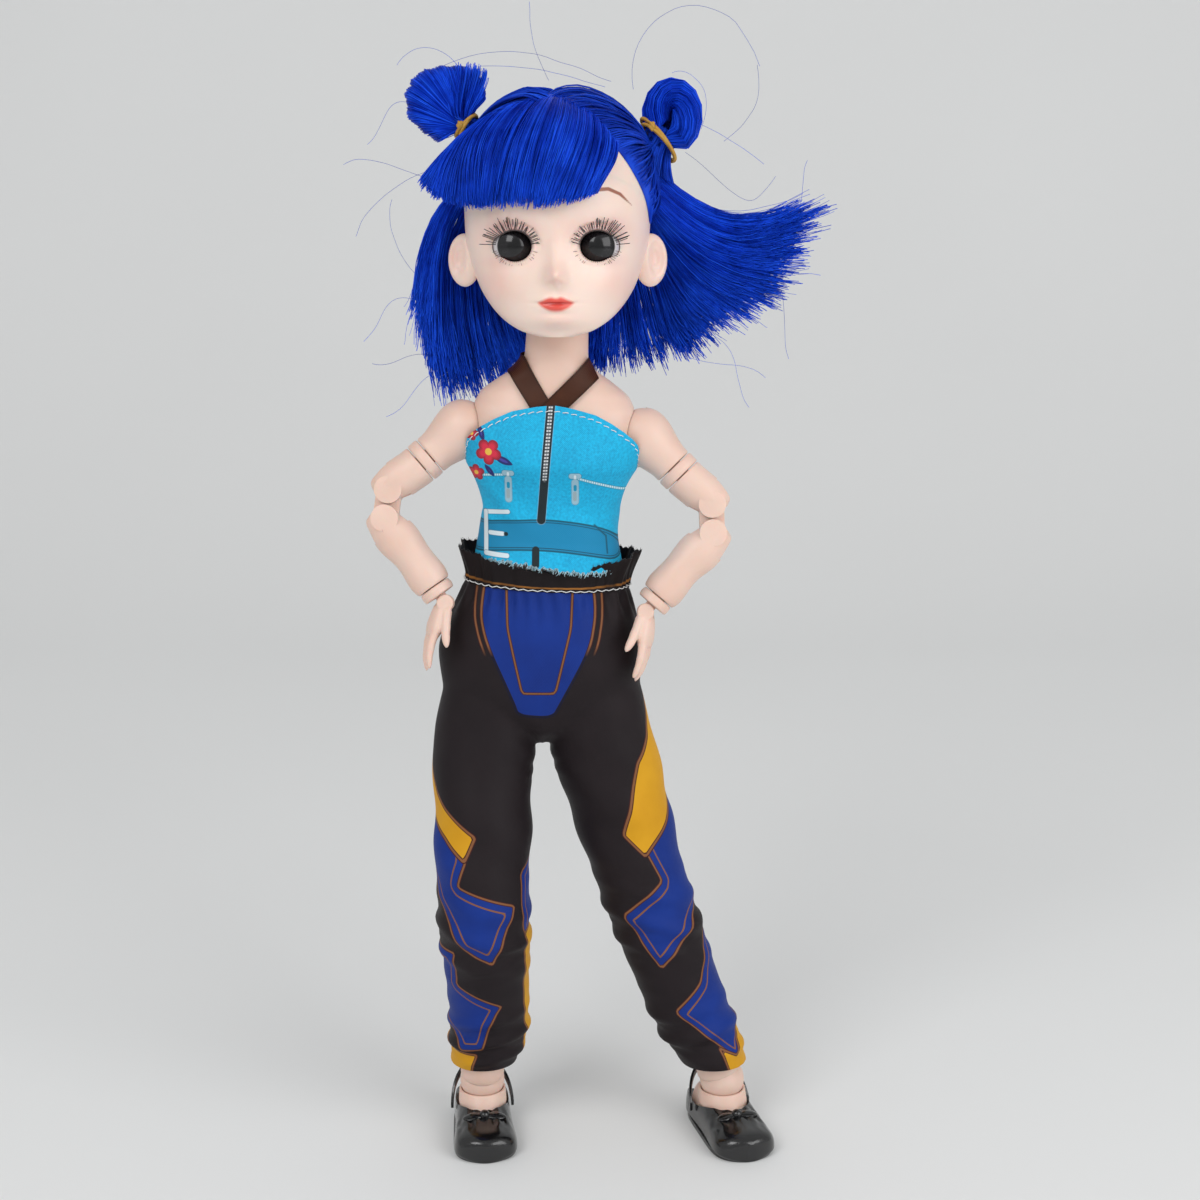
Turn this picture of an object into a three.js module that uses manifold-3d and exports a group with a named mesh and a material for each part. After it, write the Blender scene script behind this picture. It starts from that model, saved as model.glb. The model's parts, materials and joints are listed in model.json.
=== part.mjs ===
// Ball-jointed fashion doll, about 30 cm tall, in a halter top, long trousers and slip-on shoes.
// Millimetres, +Z up, the doll faces -Y and its own left side is +X.

import * as THREE from 'three';
import { mergeVertices } from 'three/addons/utils/BufferGeometryUtils.js';
import Module from 'manifold-3d';

const wasm = await Module();
wasm.setup();

// Fits
const gap = 0.3;
const seatGap = 0.5;
const vinylWall = 1.7;
const clothWall = 0.9;

// Heights and lengths
const thighLength = 55.5;
const calfLength = 55.5;
const kneeLinkLength = 9.6;
const ankleHeight = 14.3;
const waistHeight = 50;
const shoulderHeight = 24;
const neckHeight = 54;
const upperArmLength = 26.2;
const elbowLinkLength = 7.8;
const forearmLength = 22.4;
const handLength = 19;

// Half widths and radii
const hipHalf = 13;
const shoulderHalf = 24.5;
const hipHalfWidth = 22.5;
const waistHalfWidth = 17.2;
const bustHalfWidth = 19.6;
const shoulderSeamHalf = 21.8;
const neckRadius = 8.3;
const waistBallRadius = 10.2;
const neckKnobRadius = 6.2;
const thighCapRadius = 10.3;
const thighRadius = 9.2;
const hipBallRadius = 5.6;
const hipStemRadius = 2.6;
const kneeHalfWidth = 6.8;
const kneeEndRadius = 4.6;
const calfRadius = 7.5;
const ankleRadius = 6.3;
const ankleBallRadius = 6.4;
const armCapRadius = 7.7;
const upperArmRadius = 5.6;
const shoulderBallRadius = 4.1;
const shoulderStemRadius = 1.9;
const armRingLength = 3;
const elbowHalfWidth = 4.9;
const elbowEndRadius = 3.7;
const forearmRadius = 5.3;
const wristRadius = 4.5;
const swivelPegRadius = 3;
const armPegRadius = 2.2;

// Head
const headHalfWidth = 24.4;
const headFront = 24.4;
const headBack = 26;
const headHeight = 61;
const eyeSpacing = 10.9;
const eyeHeight = 21.2;
const eyeballRadius = 6;
const eyeOpenHalfWidth = 4.7;
const eyeOpenHalfHeight = 3.9;
const hairThickness = 3.2;

// Shoes
const soleThickness = 1.8;
const shoeWall = 1.2;
const footHalfLength = 18.5;
const footHalfWidth = 8.6;

// The stance of the doll as it is shown, in degrees
const lean = 2.6;
const leftLegSplay = 18.6;
const leftToeOut = 17;
const rightToeOut = -6;
const armRaise = 47;
const armForward = 12;
const elbowBend = 42.5;
const leftWristBend = 42;
const rightWristBend = 61;

const rad = THREE.MathUtils.degToRad;

// Materials
const finish = (color, roughness, metalness = 0) =>
  new THREE.MeshStandardMaterial({ color, roughness, metalness });
const skin = () => finish(0xf2cdbf, 0.45);
const hairBlue = () => finish(0x1029b4, 0.4);
const turquoise = () => finish(0x12a5c8, 0.6);
const blackSatin = () => finish(0x1b191d, 0.45);
const brownSatin = () => finish(0x4a2f1d, 0.35);
const blackVinyl = () => finish(0x0a0a0b, 0.12);
const eyeGlass = () => finish(0x1c1c20, 0.05);
const lashBrown = () => finish(0x241a18, 0.6);
const mustard = () => finish(0xb4852a, 0.7);

// Solids: a mesh becomes one closed solid with merged corners and faces pointing out
function toSolid(geometry) {
  const bare = geometry.clone();
  bare.deleteAttribute('normal');
  bare.deleteAttribute('uv');
  const merged = mergeVertices(bare, 1e-4);
  const position = merged.attributes.position;
  const index = merged.index.array;
  const triangles = [];
  let volume = 0;
  const a = new THREE.Vector3();
  const b = new THREE.Vector3();
  const c = new THREE.Vector3();
  for (let i = 0; i < index.length; i += 3) {
    const [p, q, r] = [index[i], index[i + 1], index[i + 2]];
    if (p === q || q === r || r === p) continue;
    a.fromBufferAttribute(position, p);
    b.fromBufferAttribute(position, q);
    c.fromBufferAttribute(position, r);
    volume += a.dot(b.cross(c));
    triangles.push(p, q, r);
  }
  if (volume < 0) triangles.reverse();
  return new wasm.Manifold(new wasm.Mesh({
    numProp: 3,
    vertProperties: new Float32Array(position.array),
    triVerts: new Uint32Array(triangles),
  }));
}

function toGeometry(solid) {
  const mesh = solid.getMesh();
  const geometry = new THREE.BufferGeometry();
  geometry.setAttribute('position', new THREE.BufferAttribute(mesh.vertProperties, 3));
  geometry.setIndex(new THREE.BufferAttribute(mesh.triVerts, 1));
  geometry.computeVertexNormals();
  return geometry;
}

const join = (...parts) => parts.map(asSolid).reduce((whole, part) => whole.add(part));
const cut = (body, ...tools) => tools.map(asSolid).reduce((rest, tool) => rest.subtract(tool), asSolid(body));
const overlap = (body, tool) => asSolid(body).intersect(asSolid(tool));
const asSolid = (thing) => (thing.isBufferGeometry ? toSolid(thing) : thing);

function mirrored(geometry) {
  return toGeometry(toSolid(geometry.clone().scale(-1, 1, 1)));
}

// Plain shapes, centred on the origin unless moved
const at = (geometry, x, y, z) => geometry.translate(x, y, z);
const ball = (radius, around = 12, down = 8) => new THREE.SphereGeometry(radius, around, down);
const rodX = (radius, length, sides = 8) =>
  new THREE.CylinderGeometry(radius, radius, length, sides).rotateZ(Math.PI / 2);
const rodZ = (radius, length, sides = 8) =>
  new THREE.CylinderGeometry(radius, radius, length, sides).rotateX(Math.PI / 2);
const block = (x, y, z) => new THREE.BoxGeometry(x, y, z);

// A turned shape about Z from [radius, height] points that start and end on the axis
function turned(profile, sides = 12) {
  const points = profile.map(([radius, height]) => new THREE.Vector2(radius, height));
  return new THREE.LatheGeometry(points, sides).rotateX(Math.PI / 2);
}

// Points of an arc in [radius, height], from one angle to another about a centre on the axis
function arc(radius, from, to, steps, height = 0) {
  return Array.from({ length: steps + 1 }, (_, i) => {
    const angle = rad(from + ((to - from) * i) / steps);
    return [Math.max(0, radius * Math.cos(angle)), height + radius * Math.sin(angle)];
  });
}

function indexed(positions, triangles) {
  const geometry = new THREE.BufferGeometry();
  geometry.setAttribute('position', new THREE.Float32BufferAttribute(positions, 3));
  geometry.setIndex(triangles);
  return geometry;
}

// A sheet with thickness between two surfaces of (u, v), each from 0 to 1
function sheet(outer, inner, columns, rows, closed = false) {
  const positions = [];
  const triangles = [];
  const across = closed ? columns : columns + 1;
  for (const side of [outer, inner]) {
    for (let j = 0; j <= rows; j++) {
      for (let i = 0; i < across; i++) positions.push(...side(i / columns, j / rows).toArray());
    }
  }
  const point = (side, i, j) => (side * (rows + 1) + j) * across + (i % across);
  const quad = (a, b, c, d) => triangles.push(a, b, c, a, c, d);
  for (let j = 0; j < rows; j++) {
    for (let i = 0; i < columns; i++) {
      quad(point(0, i, j), point(0, i + 1, j), point(0, i + 1, j + 1), point(0, i, j + 1));
      quad(point(1, i, j), point(1, i, j + 1), point(1, i + 1, j + 1), point(1, i + 1, j));
    }
  }
  for (let i = 0; i < columns; i++) {
    quad(point(0, i, 0), point(1, i, 0), point(1, i + 1, 0), point(0, i + 1, 0));
    quad(point(0, i, rows), point(0, i + 1, rows), point(1, i + 1, rows), point(1, i, rows));
  }
  for (let j = 0; j < rows && !closed; j++) {
    quad(point(0, 0, j), point(0, 0, j + 1), point(1, 0, j + 1), point(1, 0, j));
    quad(point(0, columns, j), point(1, columns, j), point(1, columns, j + 1), point(0, columns, j + 1));
  }
  return indexed(positions, triangles);
}

// A closed body through rings of (u, v), capped at both ends
function loft(ring, columns, rows) {
  const positions = [];
  const triangles = [];
  for (let j = 0; j <= rows; j++) {
    for (let i = 0; i < columns; i++) positions.push(...ring(i / columns, j / rows).toArray());
  }
  for (let j = 0; j < rows; j++) {
    for (let i = 0; i < columns; i++) {
      const [a, b] = [j * columns + i, j * columns + ((i + 1) % columns)];
      triangles.push(a, b, b + columns, a, b + columns, a + columns);
    }
  }
  for (const [j, flip] of [[0, true], [rows, false]]) {
    const centre = new THREE.Vector3();
    for (let i = 0; i < columns; i++) centre.add(ring(i / columns, j / rows));
    positions.push(...centre.divideScalar(columns).toArray());
    const hub = positions.length / 3 - 1;
    for (let i = 0; i < columns; i++) {
      const [a, b] = [j * columns + i, j * columns + ((i + 1) % columns)];
      if (flip) triangles.push(hub, b, a);
      else triangles.push(hub, a, b);
    }
  }
  return indexed(positions, triangles);
}

// A form is a row of oval stations [height, half width, half depth, middle X, middle Y, roundness]
// with smooth curves between them, so pieces that lie on it can ask for a grown surface.
// Relief is how far the front stands out at a point
class Form {
  constructor(stations, relief = () => 0) {
    this.relief = relief;
    this.stations = stations.map(([z, w, d, x = 0, y = 0, n = 2]) => [z, w, d, x, y, n]);
    this.bottom = this.stations[0][0];
    this.top = this.stations[this.stations.length - 1][0];
  }

  sizesAt(height) {
    const s = this.stations;
    const z = THREE.MathUtils.clamp(height, this.bottom, this.top);
    let k = 0;
    while (k < s.length - 2 && z > s[k + 1][0]) k++;
    const span = s[k + 1][0] - s[k][0];
    const t = (z - s[k][0]) / span;
    return s[k].map((start, column) => {
      const end = s[k + 1][column];
      const before = k > 0 ? (start - s[k - 1][column]) / (s[k][0] - s[k - 1][0]) : 0;
      const slope = (end - start) / span;
      const after = k < s.length - 2
        ? (s[k + 2][column] - end) / (s[k + 2][0] - s[k + 1][0]) : 0;
      const soft = (p, q) => (p * q > 0 ? (2 * p * q) / (p + q) : 0);
      const [m0, m1] = [k > 0 ? soft(before, slope) : slope, k < s.length - 2 ? soft(slope, after) : slope];
      const h = t * t * (3 - 2 * t);
      return start + (end - start) * h + span * ((t - 2 * t * t + t * t * t) * m0 + (t * t * t - t * t) * m1);
    });
  }

  point(angle, height, grow = 0) {
    const [, w, d, x, y, n] = this.sizesAt(height);
    const oval = (value) => Math.sign(value) * Math.abs(value) ** (2 / n);
    const [across, along] = [(w + grow) * oval(Math.cos(angle)), (d + grow) * oval(Math.sin(angle))];
    const p = new THREE.Vector3(x + across, y + along, height);
    p.y -= this.relief(p);
    return p;
  }

  solid(columns, rowsPerSpan = 2, grow = 0, from = this.bottom, to = this.top) {
    const heights = [from];
    for (let k = 0; k < this.stations.length - 1; k++) {
      for (let i = 0; i < rowsPerSpan; i++) {
        const z = THREE.MathUtils.lerp(this.stations[k][0], this.stations[k + 1][0], i / rowsPerSpan);
        if (z > from + 0.5 && z < to - 0.5) heights.push(z);
      }
    }
    heights.push(to);
    const rows = heights.length - 1;
    return loft((u, v) => this.point(u * 2 * Math.PI, heights[Math.round(v * rows)], grow), columns, rows);
  }
}

// A smooth bump of height 1, by its middle and its width each way
const hump = (x, z, middleX, middleZ, wide, tall) =>
  Math.exp(-(((x - middleX) / wide) ** 2) - ((z - middleZ) / tall) ** 2);

// Hinges: a limb ends in a rounded fork with blind pin holes, and a flat link with its pins fits in it
const cheekWall = 0.7;
const pinLength = (halfWidth) => 2 * (halfWidth - cheekWall - gap);

function forkCuts(halfWidth, endRadius, height, openDown, pinRadius) {
  const slotWidth = halfWidth * 0.8;
  const out = openDown ? -1 : 1;
  const depth = 2 * endRadius + 2 + gap;
  const slot = at(block(slotWidth, 6 * endRadius, depth), 0, 0, height + out * (depth / 2 - endRadius - gap));
  return [slot, at(rodX(pinRadius + gap, pinLength(halfWidth) + 2 * gap), 0, 0, height)];
}

function forked(body, halfWidth, endRadius, height, openDown, pinRadius) {
  const knuckle = at(rodX(endRadius, 2 * halfWidth, 12), 0, 0, height);
  return cut(join(body, knuckle), ...forkCuts(halfWidth, endRadius, height, openDown, pinRadius));
}

function hingeLink(halfWidth, endRadius, length, pinRadius) {
  const thickness = halfWidth * 0.8 - 2 * gap;
  const radius = endRadius - gap;
  const outline = new THREE.Shape();
  outline.absarc(0, 0, radius, 0, Math.PI, false);
  outline.absarc(0, -length, radius, Math.PI, 2 * Math.PI, false);
  const plate = new THREE.ExtrudeGeometry(outline, { depth: thickness, bevelEnabled: false, curveSegments: 4 });
  plate.translate(0, 0, -thickness / 2).rotateX(Math.PI / 2).rotateZ(Math.PI / 2);
  const pins = [0, -length].map((z) => at(rodX(pinRadius, pinLength(halfWidth)), 0, 0, z));
  return toGeometry(join(plate, ...pins));
}

// A ball in the limb's rounded cap, with a stem that turns in the body
function stemBall(ballRadius, stemRadius, reach) {
  const stem = at(rodX(stemRadius, reach, 8), -reach / 2, 0, 0);
  return toGeometry(join(ball(ballRadius, 10, 6), stem));
}

// The round cap of a limb: a ball seat inside and a slot in which the stem swings
function capLimb(capRadius, limbRadius, end, ballRadius, stemRadius, pegRadius, past, start) {
  const body = turned([[0, -end], [limbRadius, -end], ...arc(capRadius, start, 90, 5)], 12);
  const slotReach = 2 * capRadius;
  const slot = block(slotReach, 2 * (stemRadius + gap), slotReach);
  at(slot, past - slotReach / 2, 0, slotReach / 2 - stemRadius - gap - 1.5);
  const pegHole = at(rodZ(pegRadius + gap, end), 0, 0, -end);
  return toGeometry(cut(body, ball(ballRadius + gap, 10, 6), slot, pegHole));
}

// Legs
const kneePin = 1.7;
const elbowPin = 1.3;
const swivelHeight = 21;
const pegLength = 9;

function thighLower() {
  const form = new Form([
    [-thighLength, kneeHalfWidth, kneeEndRadius],
    [-thighLength + 8, kneeHalfWidth + 0.6, 6.6],
    [-thighLength + 20, thighRadius - 1, 8.6],
    [-swivelHeight - gap, thighRadius, thighRadius],
  ]);
  const peg = at(rodZ(swivelPegRadius, pegLength), 0, 0, -swivelHeight);
  const limb = join(form.solid(12, 1), peg);
  return toGeometry(forked(limb, kneeHalfWidth, kneeEndRadius, -thighLength, true, kneePin));
}

function calf() {
  const form = new Form([
    [-calfLength + 2.2, ankleRadius, ankleRadius],
    [-calfLength + 12, ankleRadius - 0.6, ankleRadius - 0.4],
    [-calfLength + 34, calfRadius, calfRadius + 0.4, 0, 0.8],
    [-10, kneeHalfWidth + 0.8, 7.2, 0, 0.5],
    [0, kneeHalfWidth, kneeEndRadius],
  ]);
  const seat = at(ball(ankleBallRadius + gap), 0, 0, -calfLength);
  return toGeometry(cut(forked(form.solid(12, 1), kneeHalfWidth, kneeEndRadius, 0, false, kneePin), seat));
}

// Foot and shoe share one form along Y: toe at -Y, heel at +Y, sole at the bottom
const toeY = -footHalfLength - 4.5;
const heelY = footHalfLength - 5.5;

function footRing(v, grow) {
  const y = THREE.MathUtils.lerp(toeY - grow, heelY + grow, v);
  const t = THREE.MathUtils.clamp((y - toeY) / (heelY - toeY), 0, 1);
  const round = Math.sqrt(Math.max(0.02, 1 - (2 * v - 1) ** 6));
  const width = (footHalfWidth - 1.6 * t + grow) * round * (1 - 0.12 * Math.sin(Math.PI * t));
  const height = (4.6 + 4.6 * THREE.MathUtils.smoothstep(t, 0.1, 0.75)) * (0.35 + 0.65 * round) + grow;
  return { y, width, height };
}

function footForm(grow, columns, rows) {
  const floor = soleThickness - grow;
  return loft((u, v) => {
    const { y, width, height } = footRing(v, grow);
    const angle = u * 2 * Math.PI;
    const up = Math.sin(angle);
    const x = width * Math.sign(Math.cos(angle)) * Math.abs(Math.cos(angle)) ** 0.7;
    return new THREE.Vector3(x, y, floor + (up > 0 ? grow + height * up ** 0.8 : Math.max(-grow, 2 * up) + grow));
  }, columns, rows);
}

const instep = new Form([
  [soleThickness + 3, footHalfWidth - 2.6, 9, 0, -1],
  [soleThickness + 6.5, ankleRadius + 0.6, 8.2, 0, -0.6],
  [ankleHeight - 2.6, ankleRadius + 0.4, ankleRadius + 0.4],
]);

function foot() {
  const seat = at(ball(ankleBallRadius + gap, 12, 8), 0, 0, ankleHeight);
  return toGeometry(cut(join(footForm(0, 12, 6), instep.solid(10, 1)), seat).translate([0, 0, -ankleHeight]));
}

function shoe() {
  const outside = footForm(shoeWall + gap, 12, 6);
  const flatten = at(block(60, 80, 10), 0, 0, -5);
  const mouth = new Form([
    [soleThickness + 2.6, 6.7, 12, 0, 2.8],
    [soleThickness + 8, 9, 15.5, 0, 4.6],
    [soleThickness + 22, 13, 20, 0, 6],
  ]);
  const bowKnot = at(ball(1, 6, 4).scale(1.4, 1.1, 1.1), 0, toeY + 10.5, soleThickness + 7.2);
  const bowLoops = at(ball(1, 6, 4).scale(6, 1.5, 0.9), 0, toeY + 10.5, soleThickness + 6.6);
  const sole = soleRim();
  const body = join(cut(outside, flatten), bowKnot, bowLoops, sole);
  return toGeometry(cut(body, footForm(gap, 12, 6), mouth.solid(10, 1)).translate([0, 0, -ankleHeight]));
}

function soleRim() {
  const outline = new THREE.Shape();
  const steps = 16;
  for (let i = 0; i < steps; i++) {
    const turn = (i / steps) * 2 * Math.PI;
    const v = (1 - Math.cos(turn)) / 2;
    const { y, width } = footRing(v, shoeWall + gap);
    const x = Math.sign(Math.sin(turn)) * (width * Math.abs(Math.sin(turn)) ** 0.35 + 0.5);
    if (i === 0) outline.moveTo(0, y - 0.5);
    else outline.lineTo(Math.abs(Math.sin(turn)) < 0.01 ? 0 : x, y);
  }
  return new THREE.ExtrudeGeometry(outline, { depth: 1.2, bevelEnabled: false });
}

// A thin strap that rises from both sides of the shoe and passes behind the ankle
const strapStartY = 1.5;
const strapWall = 0.8;
const strapWidth = 2;

function shoeStrap() {
  const side = footRing((strapStartY - toeY) / (heelY - toeY), shoeWall + gap).width + gap;
  const behind = ankleRadius + 3.4;
  const band = (u, v, out) => {
    const angle = Math.PI * u;
    const rise = Math.sin(angle) ** 0.8;
    const x = (THREE.MathUtils.lerp(side, ankleRadius + 1.6, rise) + out) * Math.cos(angle);
    const y = strapStartY + (behind - strapStartY + out) * Math.sin(angle);
    return new THREE.Vector3(x, y, 4.6 - ankleHeight + 10 * rise + strapWidth * v);
  };
  return toGeometry(toSolid(sheet((u, v) => band(u, v, strapWall), (u, v) => band(u, v, 0), 12, 1)));
}

// Arms. Both ends of the elbow are fuller on its outer side
const elbowBulge = 1;

function upperArmLower(start) {
  const form = new Form([
    [-upperArmLength - 2.6, elbowHalfWidth - 0.5, elbowEndRadius, 0, elbowBulge],
    [-upperArmLength, elbowHalfWidth, elbowEndRadius + 1, 0, elbowBulge],
    [-upperArmLength + 5, elbowHalfWidth + 0.6, 5.6, 0, elbowBulge / 2],
    [-start - gap, upperArmRadius, upperArmRadius],
  ]);
  const peg = at(rodZ(armPegRadius, pegLength + armRingLength), 0, 0, -start + armRingLength / 2);
  const limb = join(form.solid(10, 1), peg);
  return toGeometry(forked(limb, elbowHalfWidth, elbowEndRadius, -upperArmLength, true, elbowPin));
}

function forearm() {
  const form = new Form([
    [-forearmLength, forearmRadius - 0.3, forearmRadius - 0.3],
    [-forearmLength + 3, forearmRadius, forearmRadius + 0.2],
    [-forearmLength + 9, forearmRadius - 0.3, forearmRadius - 0.2],
    [-6, forearmRadius, forearmRadius + 0.6, 0, elbowBulge / 2],
    [0, elbowHalfWidth, elbowEndRadius + 1, 0, elbowBulge],
    [2.6, elbowHalfWidth - 0.5, elbowEndRadius, 0, elbowBulge],
  ]);
  const pegHole = at(rodZ(armPegRadius + gap, 12), 0, 0, -forearmLength);
  const limb = forked(form.solid(10, 1), elbowHalfWidth, elbowEndRadius, 0, false, elbowPin);
  return toGeometry(cut(limb, pegHole));
}

const cuffLength = 2.9;
const wristHinge = cuffLength + 2.6;
const handEndRadius = 2.3;
const wristTongue = 2.2;

function wristRing() {
  const cuff = turned([[0, -cuffLength], [wristRadius, -cuffLength], [wristRadius + 0.2, -cuffLength / 2],
    [wristRadius, -gap], [0, -gap]], 10);
  const peg = at(rodZ(armPegRadius, 6, 10), 0, 0, 2.5);
  const tongue = at(block(wristTongue, 3, wristHinge - cuffLength + 0.4), 0, 0, -(wristHinge + cuffLength) / 2);
  const eye = at(rodX(handEndRadius - 2 * gap, wristTongue), 0, 0, -wristHinge);
  return toGeometry(join(cuff, peg, tongue, eye));
}

// The hand hangs from its hinge, with the thumb towards +X and the palm facing -Y, a little twisted
const palmTwist = -14;

function hand() {
  const palm = new Form([
    [-9.6, 4.3, 1.7, 0, -0.4],
    [-7, 4.6, 2.3, 0, -0.2],
    [-2.5, 3.5, 2.5],
    [0, 3.2, handEndRadius],
  ]);
  const finger = (length, thick, curl) => loft((u, v) => {
    const angle = u * 2 * Math.PI;
    const size = thick * Math.sqrt(Math.max(0.05, 1 - (v * 1.02) ** 8)) * (1 - 0.25 * v);
    const bend = curl * v * v;
    return new THREE.Vector3(size * Math.cos(angle), size * Math.sin(angle) - bend, -length * v);
  }, 5, 3);
  const reach = handLength - 8.6;
  const spread = [[3.1, 0.92, 4], [1.1, 1, 1.5], [-1, 0.95, -1], [-2.9, 0.8, -4]];
  const fingers = spread.map(([x, share, turn]) =>
    at(finger(reach * share, 1.25, 2.6).rotateY(rad(-turn)), x, -0.4, -8.4));
  const thumb = at(finger(handLength * 0.55, 1.35, 1.2).rotateY(rad(-22)).rotateX(rad(-14)), 2.6, -0.8, -1.6);
  const slot = at(block(wristTongue + 2 * gap, 8, 5), 0, 0, 2.5 + gap - handEndRadius);
  const twisted = toGeometry(join(palm.solid(10, 1), ...fingers, thumb)).rotateZ(rad(palmTwist));
  return toGeometry(cut(join(twisted, rodX(handEndRadius, 6.4, 8)), slot));
}

// Torso. One form runs from the waist to the neck, and the clothes lie on it
const torso = new Form([
  [-12, 18.4, 12.6, 0, 0, 2.2],
  [3, waistHalfWidth, 11.2, 0, 0, 2.2],
  [10, waistHalfWidth + 0.6, 12, 0, -0.4, 2.2],
  [17, bustHalfWidth - 0.4, 13.4, 0, -0.9, 2.3],
  [shoulderHeight, shoulderSeamHalf - 0.6, 12.4, 0, -0.6, 2.5],
  [30, shoulderSeamHalf, 10.6, 0, 0, 2.5],
  [34, shoulderSeamHalf - 1.6, 9.4, 0, 0.3, 2.2],
  [38, 15.4, 8.6, 0, 0.3, 2],
  [41.5, 10.4, 8.4, 0, 0.3, 2],
  [44.5, neckRadius + 0.3, neckRadius, 0, 0.2, 2],
  [neckHeight - 2.6, neckRadius, neckRadius, 0, 0, 2],
], (p) => (p.y < 0 ? 2.4 * hump(Math.abs(p.x), p.z, 8.2, 18, 6.6, 6.4) : 0));

function upperTorso() {
  const sockets = [-1, 1].map((s) => at(ball(armCapRadius + gap, 14, 10), s * shoulderHalf, 0, shoulderHeight));
  const stemHole = at(rodX(shoulderStemRadius + gap, 2 * shoulderHalf), 0, 0, shoulderHeight);
  const waistSeat = ball(waistBallRadius + seatGap, 14, 10);
  const neckSeat = at(ball(neckKnobRadius + gap), 0, 0, neckHeight);
  const neckBore = at(rodZ(swivelPegRadius + gap, 22), 0, 0, neckHeight - 11);
  return toGeometry(cut(torso.solid(20, 1, 0, 3), ...sockets, stemHole, waistSeat, neckSeat, neckBore));
}

function neckKnob() {
  const peg = at(rodZ(swivelPegRadius, 15), 0, 0, -8.5);
  return toGeometry(join(ball(neckKnobRadius, 10, 7), peg));
}

function waistBall() {
  const peg = at(rodZ(swivelPegRadius + 1, 16, 10), 0, 0, -14);
  return toGeometry(join(ball(waistBallRadius, 12, 8), peg));
}

const legSwingForward = 75;
const legSwingBack = 15;

// The side view of the space that a leg sweeps, from swung forward to swung back
function legRoom(capRoom) {
  const reach = 60;
  const [forward, back] = [rad(legSwingForward), rad(legSwingBack)];
  const side = new THREE.Shape();
  side.absarc(0, 0, capRoom, back, Math.PI - forward, false);
  side.lineTo(-capRoom * Math.cos(forward) - reach * Math.sin(forward),
    capRoom * Math.sin(forward) - reach * Math.cos(forward));
  side.lineTo(-reach, -reach);
  side.lineTo(capRoom * Math.cos(back) + reach * Math.sin(back), capRoom * Math.sin(back) - reach);
  return new THREE.ExtrudeGeometry(side, { depth: 3 * capRoom, bevelEnabled: false, curveSegments: 5 });
}

function lowerTorso() {
  const form = new Form([
    [-9, 3, 5.4, 0, 0.3, 2.2],
    [-5, 9, 9, 0, 0.4, 2.2],
    [3, hipHalfWidth - 3, 13, 0, 0.8, 2.2],
    [12, hipHalfWidth, 13.6, 0, 0.8, 2.3],
    [24, hipHalfWidth - 1.2, 13, 0, 0.4, 2.3],
    [36, hipHalfWidth - 3.6, 12, 0, 0, 2.2],
    [waistHeight - 6, waistHalfWidth, 11.2, 0, 0, 2.2],
  ]);
  const capRoom = thighCapRadius + gap;
  const caps = [-1, 1].map((s) => at(ball(capRoom, 14, 10), s * hipHalf, 0, 0));
  const room = legRoom(capRoom).rotateX(Math.PI / 2).rotateZ(Math.PI / 2);
  const rooms = [hipHalf - capRoom, -hipHalf - 2 * capRoom].map((x) => at(room.clone(), x, 0, 0));
  const stemHole = rodX(hipStemRadius + gap, 2 * hipHalf);
  const seat = at(ball(waistBallRadius + seatGap, 14, 10), 0, 0, waistHeight);
  const bore = at(rodZ(swivelPegRadius + 1 + gap, 40, 10), 0, 0, waistHeight - 4);
  return toGeometry(cut(form.solid(20, 1), ...caps, ...rooms, stemHole, seat, bore));
}

// How far nose, lips, chin and cheeks stand out, less the hollows of the eyes
function faceRelief({ x, y, z }) {
  if (y > 0) return 0;
  const nose = 3.6 * hump(x, z, 0, 14.2, 2.4, 2.4) + 1.3 * hump(x, z, 0, 18.5, 2.2, 5);
  const lips = 1.1 * hump(x, z, 0, 7, 3.6, 1.7) + 0.7 * hump(x, z, 0, 2.4, 4, 2.2);
  const eyes = 1.9 * hump(Math.abs(x), z, eyeSpacing, eyeHeight, 5.6, 4.6);
  const cheeks = 0.8 * hump(Math.abs(x), z, 13, 11, 5, 4);
  return nose + lips + cheeks - eyes;
}

// Head. Its form has the chin at the bottom and the crown at the top, the face towards -Y
const skull = new Form([
  [-3, 4.6, 3.2, 0, -16.4],
  [-1.6, 9.4, 5.4, 0, -15],
  [1.6, 14.6, 12.4, 0, -10.4],
  [5.2, 18, 17.6, 0, -6.2],
  [9.4, 20.6, 21, 0, -3.2],
  [15.5, headHalfWidth - 1.6, 23.2, 0, -0.9],
  [22, headHalfWidth, 24, 0, 0.6],
  [31, headHalfWidth + 0.3, (headFront + headBack) / 2, 0, (headBack - headFront) / 2],
  [39, headHalfWidth - 0.8, 24.6, 0, 0.8],
  [47, 20.8, 21.6, 0, 0.6],
  [53.5, 15.4, 16, 0, 0.4],
  [headHeight - 3.4, 8.4, 8.8, 0, 0.2],
  [headHeight - 2, 2, 2.2],
], faceRelief);

// The angle at a share of the way round, with closer steps in the face
const faceAngle = (u) => 2 * Math.PI * u - 0.5 * Math.sin(2 * Math.PI * u) - Math.PI / 2;

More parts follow.
